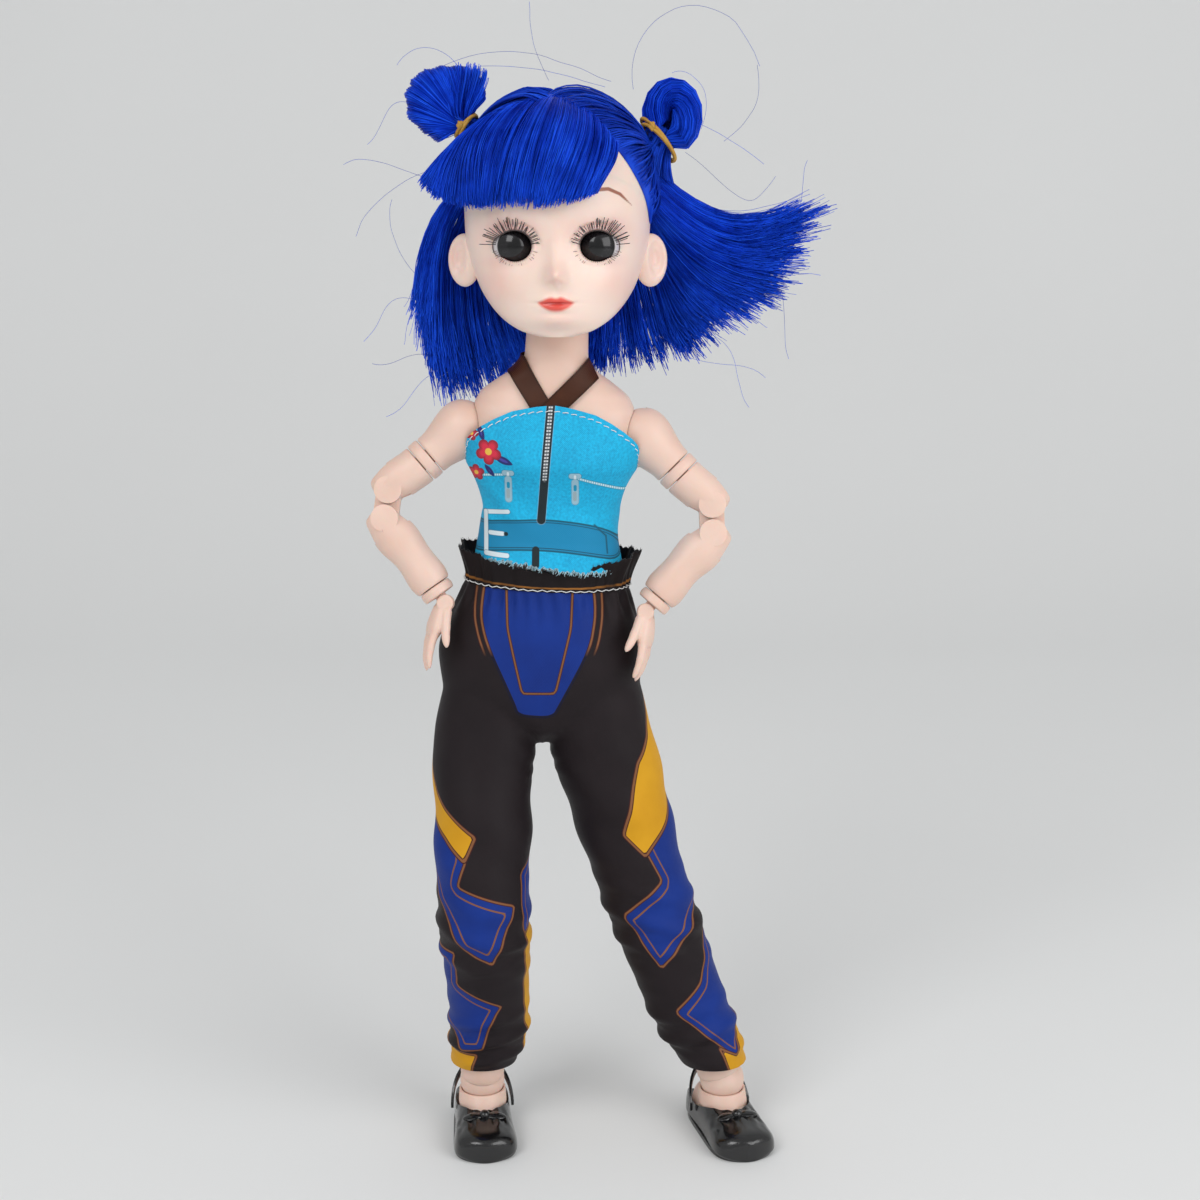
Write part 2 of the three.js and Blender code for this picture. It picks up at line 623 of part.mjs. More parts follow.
function headShell() {
  const rows = [skull.bottom, -1.6, 1.6, 5, 7.2, 10, 12.6, 14.6, 17.5, 21.5, 28, 35, 41, 48.5, 54, headHeight - 3.4,
    headHeight - 2];
  const outside = loft((u, v) => skull.point(faceAngle(u), rows[Math.round(v * (rows.length - 1))]),
    22, rows.length - 1);
  const inside = skull.solid(12, 1, -vinylWall, 9, headHeight - 3.6);
  const earBall = ball(1, 8, 6).scale(4.3, 2.4, 7.4);
  const ears = [-1, 1].map((s) => at(earBall.clone().rotateZ(s * 0.5), s * 24.6, 0.5, 16.6));
  const earHollows = [-1, 1].map((s) => at(ball(1, 6, 4).scale(2.1, 1.6, 4.2), s * 26, -2.2, 17.6));
  const opening = new THREE.Shape();
  opening.absellipse(0, 0, eyeOpenHalfWidth, eyeOpenHalfHeight, 0, 2 * Math.PI);
  const hole = new THREE.ExtrudeGeometry(opening, { depth: 16, bevelEnabled: false, curveSegments: 6 });
  hole.rotateX(Math.PI / 2);
  const holes = [-1, 1].map((s) => at(hole.clone(), s * eyeSpacing, -14, eyeHeight));
  const pockets = [-1, 1].map((s) => at(ball(eyeballRadius + gap), s * eyeSpacing, eyeDepth, eyeHeight));
  const neckSeat = ball(neckKnobRadius + gap);
  const neckHole = at(rodZ(swivelPegRadius, 12), 0, 0, 8);
  return cut(join(outside, ...ears), inside, ...earHollows, ...holes, ...pockets, neckSeat, neckHole);
}

const eyeDepth = -14.3;
const hairlineFront = 41;
const hairlineBack = 13;

// Everything on one side of the slanted plane along which the head opens
function hairlineBlock(above) {
  const slope = Math.atan2(hairlineFront - hairlineBack, 2 * headFront);
  const size = 160;
  const out = (above ? 1 : -1) * (size / 2 - gap / 2);
  return at(block(size, size, size), 0, 0, out).rotateX(-slope)
    .translate(0, 0, (hairlineFront + hairlineBack) / 2);
}

function lashes() {
  const lid = (u, reach) => {
    const angle = rad(164 - 148 * u);
    const [c, s] = [Math.cos(angle), Math.sin(angle)];
    const base = new THREE.Vector3(3.6 * c, 0, 2.5 * s);
    const onEye = -Math.sqrt(eyeballRadius ** 2 - base.x ** 2 - base.z ** 2) - 0.4;
    const lift = reach * reach;
    return new THREE.Vector3(base.x + 2.4 * lift * c, onEye - 5 * reach, base.z + 2.8 * lift * s);
  };
  const hairs = 6;
  const reach = (u, v) => v * (Math.round(u * 2 * hairs) % 2 ? 1 : 0.5);
  const top = (u, v) => lid(u, reach(u, v)).add(new THREE.Vector3(0, 0, 0.3));
  const under = (u, v) => lid(u, reach(u, v)).add(new THREE.Vector3(0, 0, -0.3));
  return toGeometry(toSolid(sheet(top, under, 2 * hairs, 1)).translate([0, eyeDepth, 0]));
}

// Hair. Its solids lie on the skull, and locks run down them as shallow ridges
const lock = (u, count, depth) => depth * Math.abs(Math.sin(Math.PI * u * count));
const onSkull = (angle, height, out) => skull.point(rad(angle), height, out);

// The lower edge of the crown, by direction: open over the forehead, down behind the ears
function crownEdge(angle) {
  const turn = ((angle + 90 + 540) % 360) - 180;
  const side = turn > 0 ? THREE.MathUtils.smoothstep(turn, 42, 78) : THREE.MathUtils.smoothstep(-turn, 80, 97);
  return THREE.MathUtils.lerp(hairlineFront + 8.5, 27, side);
}

function crownPoint(u, v, out) {
  const angle = 360 * u;
  const edge = crownEdge(angle);
  const arch = Math.cos((v * Math.PI) / 2);
  const height = edge + (skull.top - edge) * arch;
  const p = onSkull(angle, height, out);
  const inward = v > 0 ? 1 : 0;
  return new THREE.Vector3(p.x * inward, p.y * inward, height + out * arch);
}

function hairCrown() {
  const outer = (u, v) => crownPoint(u, v, hairThickness - 0.7 + lock(u, 10, v > 0 ? 0.7 : 0));
  const inner = (u, v) => crownPoint(u, v, 4.8 * gap);
  return toGeometry(toSolid(sheet(outer, inner, 20, 5, true)));
}

function hairFringe() {
  const fringe = (u, v, out) => {
    const angle = -164 + 114 * u;
    const low = THREE.MathUtils.lerp(35, 31.5, Math.sin(Math.PI * Math.min(1, u * 1.15))) + 9 * u ** 5;
    const height = THREE.MathUtils.lerp(hairlineFront + 6.9, low, v);
    return onSkull(angle, height, out + 1.2 * v * v);
  };
  const outer = (u, v) => fringe(u, v, hairThickness - 0.6 - 0.9 * v + lock(u, 8, 0.5));
  const inner = (u, v) => fringe(u, v, 4 * gap);
  return toGeometry(toSolid(sheet(outer, inner, 16, 3)));
}

const bezier = (a, b, c, t) => a.clone().multiplyScalar((1 - t) ** 2)
  .addScaledVector(b, 2 * t * (1 - t)).addScaledVector(c, t * t);

// Hair that hangs from the crown's edge between two directions, by way of a middle point, to its cut ends
function hangingHair({ from, to, start, through, ends, thick, locks, columns }) {
  const surface = (u, v, out) => {
    const angle = THREE.MathUtils.lerp(from, to, u);
    const root = onSkull(angle, start, 1.4);
    return bezier(root, through(u), ends(u), v).addScaledVector(across(angle), out);
  };
  const across = (angle) => new THREE.Vector3(Math.cos(rad(angle)), Math.sin(rad(angle)), 0);
  const half = (u, v) => thick * (1 - 0.45 * v) * (0.35 + 0.65 * Math.sin(Math.PI * (0.08 + 0.84 * u)));
  const outer = (u, v) => surface(u, v, half(u, v) + lock(u, locks, 0.6));
  const inner = (u, v) => surface(u, v, -0.4);
  return toGeometry(toSolid(sheet(outer, inner, columns, 4)));
}

const mix = (a, b, t) => new THREE.Vector3(...a).lerp(new THREE.Vector3(...b), t);

const hairSideRight = () => hangingHair({
  from: 178, to: 128, start: 26.4,
  through: (u) => mix([-40, 6, 12], [-27, 28, 8], u),
  ends: (u) => mix([-31, 7, -17], [-17, 24, -17.5], u),
  thick: 5.5, locks: 4, columns: 9,
});

const hairSideLeft = () => hangingHair({
  from: 4, to: 60, start: 26.4,
  through: (u) => mix([40, 6, 32], [27, 28, 14], u),
  ends: (u) => bezier(...[[65, 4, 29], [66, 9, -6], [22, 22, -16]].map((p) => new THREE.Vector3(...p)), u),
  thick: 5.5, locks: 5, columns: 11,
});

const hairBack = () => hangingHair({
  from: 126, to: 62, start: 26.4,
  through: (u) => mix([-25.8, 29.6, 8], [25.8, 29.6, 8], u),
  ends: (u) => mix([-15.8, 25.5, -18], [20.8, 24, -17], u),
  thick: 5.5, locks: 4, columns: 9,
});

// A bun: hair drawn through its elastic and folded into a loop
const bunAxis = ({ root, neck }) =>
  new THREE.Vector3(...neck).sub(new THREE.Vector3(...root)).normalize();

const alongAxis = (geometry, axis, place) => geometry
  .applyQuaternion(new THREE.Quaternion().setFromUnitVectors(new THREE.Vector3(0, 0, 1), axis))
  .translate(...place);

function bun(shape) {
  const { neck, loop, loopWidth, loopHeight, hairRadius, tuft } = shape;
  const axis = bunAxis(shape);
  const stem = alongAxis(rodZ(stemRadius, stemLength, 8), axis, neck);
  const tieRoom = alongAxis(rodZ(stemRadius + 3.4 * tieRadius, 2 * (tieRadius + gap), 8), axis, neck);
  const [wide, high] = [loopWidth - hairRadius, loopHeight - hairRadius];
  const ring = (u, v) => {
    const [turn, around] = [u * 2 * Math.PI, v * 2 * Math.PI];
    const swell = hairRadius * (1 + 0.25 * Math.sin(turn));
    return new THREE.Vector3(
      (wide + swell * Math.cos(around)) * Math.cos(turn),
      1.35 * swell * Math.sin(around),
      (high + swell * Math.cos(around)) * Math.sin(turn),
    );
  };
  const folded = [closedLoop(ring, 12, 6).translate(...loop)];
  if (tuft) folded.push(at(new THREE.ConeGeometry(4, 9, 6).rotateX(Math.PI / 2), ...tuft));
  return toGeometry(cut(join(cut(join(...folded), tieRoom), stem), crownRoom()));
}

function closedLoop(ring, columns, rows) {
  const positions = [];
  const triangles = [];
  for (let j = 0; j < rows; j++) {
    for (let i = 0; i < columns; i++) positions.push(...ring(i / columns, j / rows).toArray());
  }
  for (let j = 0; j < rows; j++) {
    for (let i = 0; i < columns; i++) {
      const [a, b] = [j * columns + i, j * columns + ((i + 1) % columns)];
      const [c, d] = [((j + 1) % rows) * columns + i, ((j + 1) % rows) * columns + ((i + 1) % columns)];
      triangles.push(a, b, d, a, d, c);
    }
  }
  return indexed(positions, triangles);
}

const stemRadius = 3.4;
const stemLength = 17;
const tieRadius = 1;
const crownRoom = () => loft((u, v) => crownPoint(u, 1 - v, hairThickness + gap), 20, 5);
const bunRight = {
  root: [-14, 3, 45], neck: [-23.6, 3, 51.4], loop: [-30, 3, 57.2],
  loopWidth: 9.4, loopHeight: 9.2, hairRadius: 3.9, tuft: [-27, 3, 66],
};
const bunLeft = {
  root: [22, 3, 38], neck: [27.6, 3, 47], loop: [30, 3, 54.6],
  loopWidth: 8, loopHeight: 8, hairRadius: 3.1,
};

function hairTie(shape) {
  const ring = new THREE.TorusGeometry(stemRadius + gap + tieRadius, tieRadius, 5, 12);
  return toGeometry(toSolid(alongAxis(ring, bunAxis(shape), shape.neck)));
}

// Clothes. The halter top and the ribbon lie on the torso's form
const topHem = -11.6;
const topPeak = 32.2;
const topArmhole = 15.5;
const ribbonWidth = 5.4;

function topEdge(angle) {
  const front = Math.max(0, -Math.sin(angle));
  return topArmhole + (topPeak - topArmhole) * front ** 1.4 + 1.5 * Math.max(0, Math.sin(angle));
}

function halterTop() {
  const cloth = (u, v, out) => {
    const angle = 2 * Math.PI * u;
    const height = THREE.MathUtils.lerp(topHem, topEdge(angle), v);
    return torso.point(angle, height, out);
  };
  const ease = 1.1;
  const outer = (u, v) => cloth(u, v, ease + clothWall);
  return toGeometry(toSolid(sheet(outer, (u, v) => cloth(u, v, ease), 20, 7, true)));
}

function neckRibbon() {
  const ribbon = (u, v, out) => {
    const turn = 0.008 + 0.984 * u;
    const middle = topPeak + 0.4 + ribbonWidth / 2 + 10 * Math.sin(Math.PI * turn) ** 0.9;
    return torso.point(2 * Math.PI * turn - Math.PI / 2, middle + ribbonWidth * (v - 0.5), out);
  };
  return toGeometry(toSolid(sheet((u, v) => ribbon(u, v, 1.3), (u, v) => ribbon(u, v, 0.7), 24, 1)));
}

// The stance: how high the pelvis stands, and how the right leg bends
const legLength = thighLength + kneeLinkLength + calfLength;
const pelvisHeight = ankleHeight + legLength * Math.cos(rad(leftLegSplay)) + hipHalf * Math.sin(rad(lean));

// The bend of both hinges of the right knee at which its foot stands level with the left one
function rightKneeBend() {
  const reach = (pelvisHeight + hipHalf * Math.sin(rad(lean)) - ankleHeight) / Math.cos(rad(lean));
  const [t, k, c] = [thighLength, kneeLinkLength, calfLength];
  const [p, q, r] = [4 * t * c, 2 * k * (t + c), (t - c) ** 2 + k ** 2 - reach ** 2];
  return Math.acos(Math.min(1, (-q + Math.sqrt(q * q - 4 * p * r)) / (2 * p)));
}

function thighPitch(bend) {
  const behind = kneeLinkLength * Math.sin(bend) + calfLength * Math.sin(2 * bend);
  const below = thighLength + kneeLinkLength * Math.cos(bend) + calfLength * Math.cos(2 * bend);
  return Math.atan2(behind, below);
}

// Trousers: the hips follow the pelvis, and each leg hangs round the leg inside it
const bandHeight = 33.5;
const hips = new Form([
  [-12, 7, 7, 0, 0],
  [-7, 17, 12, -0.4, 0],
  [2, 27, 15.4, -0.8, 0, 2.2],
  [13, 28.4, 16.6, -0.9, 0, 2.2],
  [24, 25.6, 15.8, -0.4, 0, 2.2],
  [bandHeight, 22, 14.8, 0, 0, 2.2],
  [bandHeight + 9, 24.2, 16.6, 0, 0, 2.2],
]);
const hemRise = 6.5;
const hemHeight = ankleHeight + hemRise;

// The line of each leg inside the trousers: its hip, both knee hinges and its ankle
function legLine(side) {
  const s = side === 'left' ? 1 : -1;
  const bend = side === 'left' ? 0 : rightKneeBend();
  const turns = [thighPitch(bend), thighPitch(bend) - bend, thighPitch(bend) - 2 * bend];
  const spread = side === 'left' ? rad(leftLegSplay + lean) : 0;
  const points = [new THREE.Vector3(s * hipHalf, 0, 0)];
  [thighLength, kneeLinkLength, calfLength].forEach((length, i) => {
    const step = new THREE.Vector3(0, -Math.sin(turns[i]), -Math.cos(turns[i])).multiplyScalar(length);
    points.push(points[i].clone().add(step.applyAxisAngle(new THREE.Vector3(0, 1, 0), -spread)));
  });
  return points.map((p) => p.applyAxisAngle(new THREE.Vector3(0, 1, 0), rad(lean)).setZ(p.z + pelvisHeight));
}

// A trouser leg's form: stations [place along the leg, half width, half depth, aside, behind], where the
// place is a height from the hem, the knee or the hip, and the middle is given from the leg's line
function legForm(side, stations) {
  const line = legLine(side);
  const knee = (line[1].z + line[2].z) / 2;
  const from = { hem: hemHeight, knee, hip: pelvisHeight };
  return new Form(stations.map(([origin, rise, w, d, aside, behind]) => {
    const z = from[origin] + rise;
    let k = 0;
    while (k < 2 && z < line[k + 1].z) k++;
    const middle = line[k].clone().lerp(line[k + 1], (line[k].z - z) / (line[k].z - line[k + 1].z));
    return [z, w, d, middle.x + aside, middle.y + behind];
  }));
}

const leftLeg = legForm('left', [
  ['hem', 0, 9.4, 9.6, -0.3, 0],
  ['hem', 9, 11.2, 10.6, -1.8, 0.6],
  ['hem', 19.2, 12, 11.6, -2.6, 1],
  ['knee', -1.5, 12.8, 12.2, -3.1, 0.4],
  ['knee', 18.5, 13.8, 13, -2.6, 0.4],
  ['hip', -19.2, 14.9, 14, -1, 0.2],
  ['hip', -7.2, 14.4, 13.6, 0.2, 0],
  ['hip', 6.8, 13, 12.4, 3.1, 0],
]);
const rightLeg = legForm('right', [
  ['hem', 0, 9.4, 9.8, 0.3, 2.4],
  ['hem', 9, 10.8, 11, 1.3, 3.2],
  ['hem', 19.2, 11.4, 12.4, 1.3, 3.4],
  ['knee', -18, 12, 13.6, 0.4, 3.6],
  ['knee', -2, 12.6, 14.8, -0.7, 4.1],
  ['knee', 18, 13.3, 14.8, -1.8, 2.6],
  ['hip', -19.2, 14, 14.2, -2.7, 2],
  ['hip', -7.2, 14.2, 13.6, -2.3, 0.8],
  ['hip', 6.8, 13, 12.4, -0.9, -2.3],
]);

const foldMiddle = { knee: legLine('right')[2].z - 1.2, hem: hemHeight + 10.2 };

// Folds stand out from a leg where the cloth bunches at the knee and over the shoe
function legFolds(angle, height, lean) {
  const bunch = (middle, reach, pitch, deep) => deep * Math.exp(-(((height - middle) / reach) ** 2))
    * (0.5 + 0.5 * Math.cos((2 * Math.PI * (height - middle)) / pitch + lean * Math.cos(angle)));
  return bunch(foldMiddle.knee, 12, 8.5, 1.5) + bunch(foldMiddle.hem, 9, 7, 1.6);
}

const foldStep = 4.4;

function trouserLeg(form, lean) {
  const heights = [hemHeight];
  while (heights[heights.length - 1] < foldMiddle.knee + 11) heights.push(heights[heights.length - 1] + foldStep);
  heights.push(...form.stations.slice(-4).map(([z]) => z));
  const rows = heights.length - 1;
  return loft((u, v) => {
    const angle = u * 2 * Math.PI;
    const height = heights[Math.round(v * rows)];
    return form.point(angle, height, legFolds(angle, height, lean));
  }, 12, rows);
}

function ruffle() {
  const band = (u, v, out) => {
    const angle = 2 * Math.PI * u;
    const high = THREE.MathUtils.lerp(4.2, 8.6, Math.abs(Math.cos(angle)) ** 1.5);
    return hips.point(angle, bandHeight - 0.6 + high * v, out + 0.75 * v * Math.cos(11 * angle));
  };
  return sheet((u, v) => band(u, v, 0.4), (u, v) => band(u, v, -clothWall / 2), 33, 1, true);
}

function trousers(pelvisMatrix) {
  const seat = hips.solid(16, 1, 0, hips.bottom, bandHeight).applyMatrix4(pelvisMatrix);
  const seatRoom = hips.solid(16, 1, -clothWall, hips.bottom + 1.4, bandHeight + 4).applyMatrix4(pelvisMatrix);
  const legHollow = (form) => form.solid(12, 1, -clothWall, form.bottom - 2);
  const cloth = join(seat, trouserLeg(leftLeg, 2), trouserLeg(rightLeg, -2));
  const hollow = cut(cloth, seatRoom, legHollow(leftLeg), legHollow(rightLeg));
  return toGeometry(join(hollow, ruffle().applyMatrix4(pelvisMatrix)));
}

// Assembly: each joint is a group that turns about one axis of its own
const figure = new THREE.Group();

function joint(name, parent, position, axis) {
  const group = new THREE.Group();
  group.name = `${name}_joint`;
  group.userData.axis = axis;
  group.position.set(...position);
  parent.add(group);
  return group;
}

function mesh(name, parent, geometry, material) {
  const piece = new THREE.Mesh(geometry, material);
  piece.name = name;
  parent.add(piece);
  return piece;
}

const pelvis = new THREE.Group();
pelvis.position.z = pelvisHeight;
pelvis.rotation.y = rad(lean);
figure.add(pelvis);
pelvis.updateMatrix();
mesh('lower_torso', pelvis, lowerTorso(), skin());
mesh('trousers', figure, trousers(pelvis.matrix), blackSatin());

const waistTurn = joint('waist_turn', pelvis, [0, 0, waistHeight], 'z');
mesh('waist_ball', waistTurn, waistBall(), skin());
const chest = joint('waist_bend', waistTurn, [0, 0, 0], 'x');
mesh('upper_torso', chest, upperTorso(), skin());
mesh('halter_top', chest, halterTop(), turquoise());
mesh('neck_ribbon', chest, neckRibbon(), brownSatin());

const neckTurn = joint('neck_turn', chest, [0, 0, neckHeight], 'z');
mesh('neck_knob', neckTurn, neckKnob(), skin());
const neckNod = joint('neck_nod', neckTurn, [0, 0, 0], 'x');
const head = new THREE.Group();
head.rotation.y = -rad(lean);
neckNod.add(head);

const shell = headShell();
mesh('face_shell', head, toGeometry(cut(shell, hairlineBlock(true))), skin());
mesh('scalp_cap', head, toGeometry(cut(shell, hairlineBlock(false))), skin());
for (const [side, s] of [['left', 1], ['right', -1]]) {
  mesh(`eye_${side}`, head, toGeometry(toSolid(ball(eyeballRadius, 10, 7).rotateX(Math.PI / 2))), eyeGlass())
    .position.set(s * eyeSpacing, eyeDepth, eyeHeight);
  mesh(`lashes_${side}`, head, lashes(), lashBrown()).position.set(s * eyeSpacing, 0, eyeHeight);
}
mesh('hair_crown', head, hairCrown(), hairBlue());
mesh('hair_fringe', head, hairFringe(), hairBlue());
mesh('hair_side_left', head, hairSideLeft(), hairBlue());
mesh('hair_side_right', head, hairSideRight(), hairBlue());
mesh('hair_back', head, hairBack(), hairBlue());
for (const [side, shape] of [['left', bunLeft], ['right', bunRight]]) {
  mesh(`bun_${side}`, head, bun(shape), hairBlue());
  mesh(`hair_tie_${side}`, head, hairTie(shape), mustard());
}

// Both arms: raised from the side, turned so that the elbows bend inwards, with the hands by the hips
function addArm(side, s, wristBend) {
  const named = (piece) => `${piece}_${side}`;
  const shape = (geometry) => (s > 0 ? geometry : mirrored(geometry));
  const swing = joint(named('shoulder_swing'), chest, [s * shoulderHalf, 0, shoulderHeight], 'x');
  swing.rotation.x = -rad(armForward);
  mesh(named('shoulder_ball'), swing, shape(stemBall(shoulderBallRadius, shoulderStemRadius, 13)), skin());
  const raise = joint(named('shoulder_raise'), swing, [0, 0, 0], 'y');
  raise.rotation.y = -s * rad(armRaise);
  const split = (upperArmLength - armRingLength) / 2;
  const cap = capLimb(armCapRadius, upperArmRadius, split, shoulderBallRadius, shoulderStemRadius,
    armPegRadius, 0.75 * armCapRadius, -28);
  mesh(named('upper_arm_top'), raise, shape(cap), skin());
  const ringPoints = [[armPegRadius + gap, 0], [upperArmRadius + 0.1, 0], [upperArmRadius + 0.1, -armRingLength],
    [armPegRadius + gap, -armRingLength], [armPegRadius + gap, 0]];
  mesh(named('upper_arm_ring'), raise, toGeometry(toSolid(turned(ringPoints))), skin())
    .position.z = -split - gap;
  const swivel = joint(named('arm_swivel'), raise, [0, 0, 0], 'z');
  swivel.rotation.z = -s * Math.PI / 2;
  mesh(named('upper_arm_lower'), swivel, shape(upperArmLower(split + armRingLength + gap)), skin());
  const upper = joint(named('elbow_upper'), swivel, [0, 0, -upperArmLength], 'x');
  upper.rotation.x = -rad(elbowBend);
  mesh(named('elbow_link'), upper, hingeLink(elbowHalfWidth, elbowEndRadius, elbowLinkLength, elbowPin), skin());
  const lower = joint(named('elbow_lower'), upper, [0, 0, -elbowLinkLength], 'x');
  lower.rotation.x = -rad(elbowBend);
  mesh(named('forearm'), lower, forearm(), skin());
  const wristTurn = joint(named('wrist_turn'), lower, [0, 0, -forearmLength], 'z');
  mesh(named('wrist_ring'), wristTurn, wristRing(), skin());
  const bend = joint(named('wrist_bend'), wristTurn, [0, 0, -wristHinge], 'x');
  bend.rotation.x = rad(wristBend);
  mesh(named('hand'), bend, shape(hand()), skin());
}

addArm('left', 1, leftWristBend);
addArm('right', -1, rightWristBend);

// Both legs: spread from the hip, with the foot kept level and turned out at the ankle
function addLeg(side, s, splay, kneeBend, toeOut) {
  const named = (piece) => `${piece}_${side}`;
  const shape = (geometry) => (s > 0 ? geometry : mirrored(geometry));
  const swing = joint(named('hip_swing'), pelvis, [s * hipHalf, 0, 0], 'x');
  swing.rotation.x = -thighPitch(kneeBend);
  mesh(named('hip_ball'), swing, shape(stemBall(hipBallRadius, hipStemRadius, hipHalf - gap / 2)), skin());
  const spread = joint(named('hip_spread'), swing, [0, 0, 0], 'y');
  spread.rotation.y = -s * splay;
  const cap = capLimb(thighCapRadius, thighRadius, swivelHeight, hipBallRadius, hipStemRadius,
    swivelPegRadius, hipBallRadius / 3, -27);
  mesh(named('thigh_upper'), spread, shape(cap), skin());
  const swivel = joint(named('thigh_swivel'), spread, [0, 0, 0], 'z');
  mesh(named('thigh_lower'), swivel, thighLower(), skin());
  const upper = joint(named('knee_upper'), swivel, [0, 0, -thighLength], 'x');
  upper.rotation.x = kneeBend;
  mesh(named('knee_link'), upper, hingeLink(kneeHalfWidth, kneeEndRadius, kneeLinkLength, kneePin), skin());
  const lower = joint(named('knee_lower'), upper, [0, 0, -kneeLinkLength], 'x');
  lower.rotation.x = kneeBend;
  mesh(named('calf'), lower, calf(), skin());
  figure.updateMatrixWorld(true);
  const level = new THREE.Quaternion().setFromRotationMatrix(lower.matrixWorld).invert();
  level.multiply(new THREE.Quaternion().setFromAxisAngle(new THREE.Vector3(0, 0, 1), s * rad(toeOut)));
  const pitch = joint(named('ankle_pitch'), lower, [0, 0, -calfLength], 'x');
  pitch.quaternion.copy(level);
  mesh(named('ankle_ball'), pitch, toGeometry(toSolid(ball(ankleBallRadius, 10, 7))), skin());
  const roll = joint(named('ankle_roll'), pitch, [0, 0, 0], 'y');
  mesh(named('foot'), roll, foot(), skin());
  mesh(named('shoe'), roll, shoe(), blackVinyl());
  mesh(named('shoe_strap'), roll, shoeStrap(), blackVinyl());
}

addLeg('left', 1, rad(leftLegSplay + lean), 0, leftToeOut);
addLeg('right', -1, 0, rightKneeBend(), rightToeOut);

// The whole doll stands on the ground plane, centred on the origin
const doll = new THREE.Group();
doll.add(figure);
doll.updateMatrixWorld(true);
const box = new THREE.Box3().setFromObject(figure, true);
figure.position.set(-(box.min.x + box.max.x) / 2, -(box.min.y + box.max.y) / 2, -box.min.z);

export default doll;
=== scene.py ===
# %% [markdown]
# # A ball-jointed fashion doll
# The doll is a plastic body of many jointed pieces, a soft vinyl head with glass-like eyes and
# rooted hair, and a small outfit of printed cloth. The jointed frame comes from the imported model.
# This script dresses it: every piece is built in the frame's own coordinates; most ride on a body.

# %% Load the frame
import json
import math

import bmesh
import bpy
import numpy as np
from mathutils import Matrix, Vector
from mathutils.kdtree import KDTree


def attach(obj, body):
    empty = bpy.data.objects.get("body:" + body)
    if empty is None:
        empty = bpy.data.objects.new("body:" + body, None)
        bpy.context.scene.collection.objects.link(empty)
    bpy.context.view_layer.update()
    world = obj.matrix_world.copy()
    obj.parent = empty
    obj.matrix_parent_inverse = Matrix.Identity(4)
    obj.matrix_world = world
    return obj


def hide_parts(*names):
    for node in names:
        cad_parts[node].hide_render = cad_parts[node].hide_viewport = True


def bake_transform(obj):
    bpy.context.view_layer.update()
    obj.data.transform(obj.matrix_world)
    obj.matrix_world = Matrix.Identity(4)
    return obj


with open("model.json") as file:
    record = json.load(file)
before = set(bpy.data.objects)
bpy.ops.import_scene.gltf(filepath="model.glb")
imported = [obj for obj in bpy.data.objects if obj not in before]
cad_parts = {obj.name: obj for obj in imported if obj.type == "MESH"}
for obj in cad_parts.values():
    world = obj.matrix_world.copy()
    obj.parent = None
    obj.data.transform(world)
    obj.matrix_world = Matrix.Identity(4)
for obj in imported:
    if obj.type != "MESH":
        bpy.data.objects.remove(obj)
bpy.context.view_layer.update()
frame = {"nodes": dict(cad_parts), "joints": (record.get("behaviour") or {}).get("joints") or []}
joints = {j["name"]: j for j in frame["joints"]}
MM = 0.001
SIDES = (("left", 1), ("right", -1))


def joint_place(name):
    return np.array(joints[name]["pos_m"]) / MM


HIPS = (joint_place("hip_swing_left") + joint_place("hip_swing_right")) / 2
OFFSET = HIPS * (1, 1, 0)

# %% [markdown]
# ## Camera, floor and light
# The photograph looks slightly down on the doll from half a metre. The camera stands there, and
# looks at a pale floor that curves up into a backdrop, so no corner shows. Two large soft lamps
# and an even world keep the shadows gentle, as in a light tent.

# %% Camera
SENSOR_MM, FOCAL_PX, PHOTO_PX = 36, 1978, 1200
CAMERA_PLACE, LOOK_DOWN = (16, -534, 270), 12
scene = bpy.context.scene


def new_object(name, data):
    """An object for some data, linked to the scene."""
    obj = bpy.data.objects.new(name, data)
    scene.collection.objects.link(obj)
    return obj


camera = new_object("camera", bpy.data.cameras.new("camera"))
scene.camera = camera
camera.data.sensor_fit = "HORIZONTAL"
camera.data.sensor_width = SENSOR_MM
camera.data.lens = SENSOR_MM * FOCAL_PX / PHOTO_PX
camera.data.clip_start = 0.02
camera.location = (OFFSET + CAMERA_PLACE) * MM
camera.rotation_euler = (math.radians(90 - LOOK_DOWN), 0, 0)
print("camera at", tuple(round(v, 3) for v in camera.location))

# %% Nodes helper
def nodes_of(tree):
    """Returns add(kind, sockets, **settings): a new node whose sockets take a value or a link."""
    def add(kind, sockets=None, **settings):
        node = tree.nodes.new(kind)
        for name, value in settings.items():
            setattr(node, name, value)
        for key, value in (sockets or {}).items():
            socket = node.inputs[key]
            if isinstance(value, bpy.types.NodeSocket):
                tree.links.new(value, socket)
            else:
                socket.default_value = value
        return node
    return add


def new_material(name, **values):
    """A Principled material with its constant values set, the way to add nodes, and its inputs."""
    material = bpy.data.materials.new(name)
    material.use_nodes = True
    shader = material.node_tree.nodes["Principled BSDF"].inputs
    for key, value in values.items():
        shader[key.replace("_", " ")].default_value = value
    return material, nodes_of(material.node_tree), shader


def rgb(*channels):
    """A colour written as on a paint chart, 0 to 255, as linear values for a socket."""
    linear = (((c / 255 + 0.055) / 1.055) ** 2.4 if c > 10 else c / 3294 for c in channels)
    return (*linear, 1)


def maths(add, operation, a, b=0.0, c=0.0, clamp=False):
    node = add("ShaderNodeMath", {0: a, 1: b, 2: c}, operation=operation, use_clamp=clamp)
    return node.outputs[0]


def blend_colour(add, factor, first, second):
    node = add("ShaderNodeMix", {0: factor, 6: first, 7: second}, data_type="RGBA")
    return node.outputs[2]


def affine(add, value, gain, shift):
    return maths(add, "MULTIPLY_ADD", value, gain, shift)


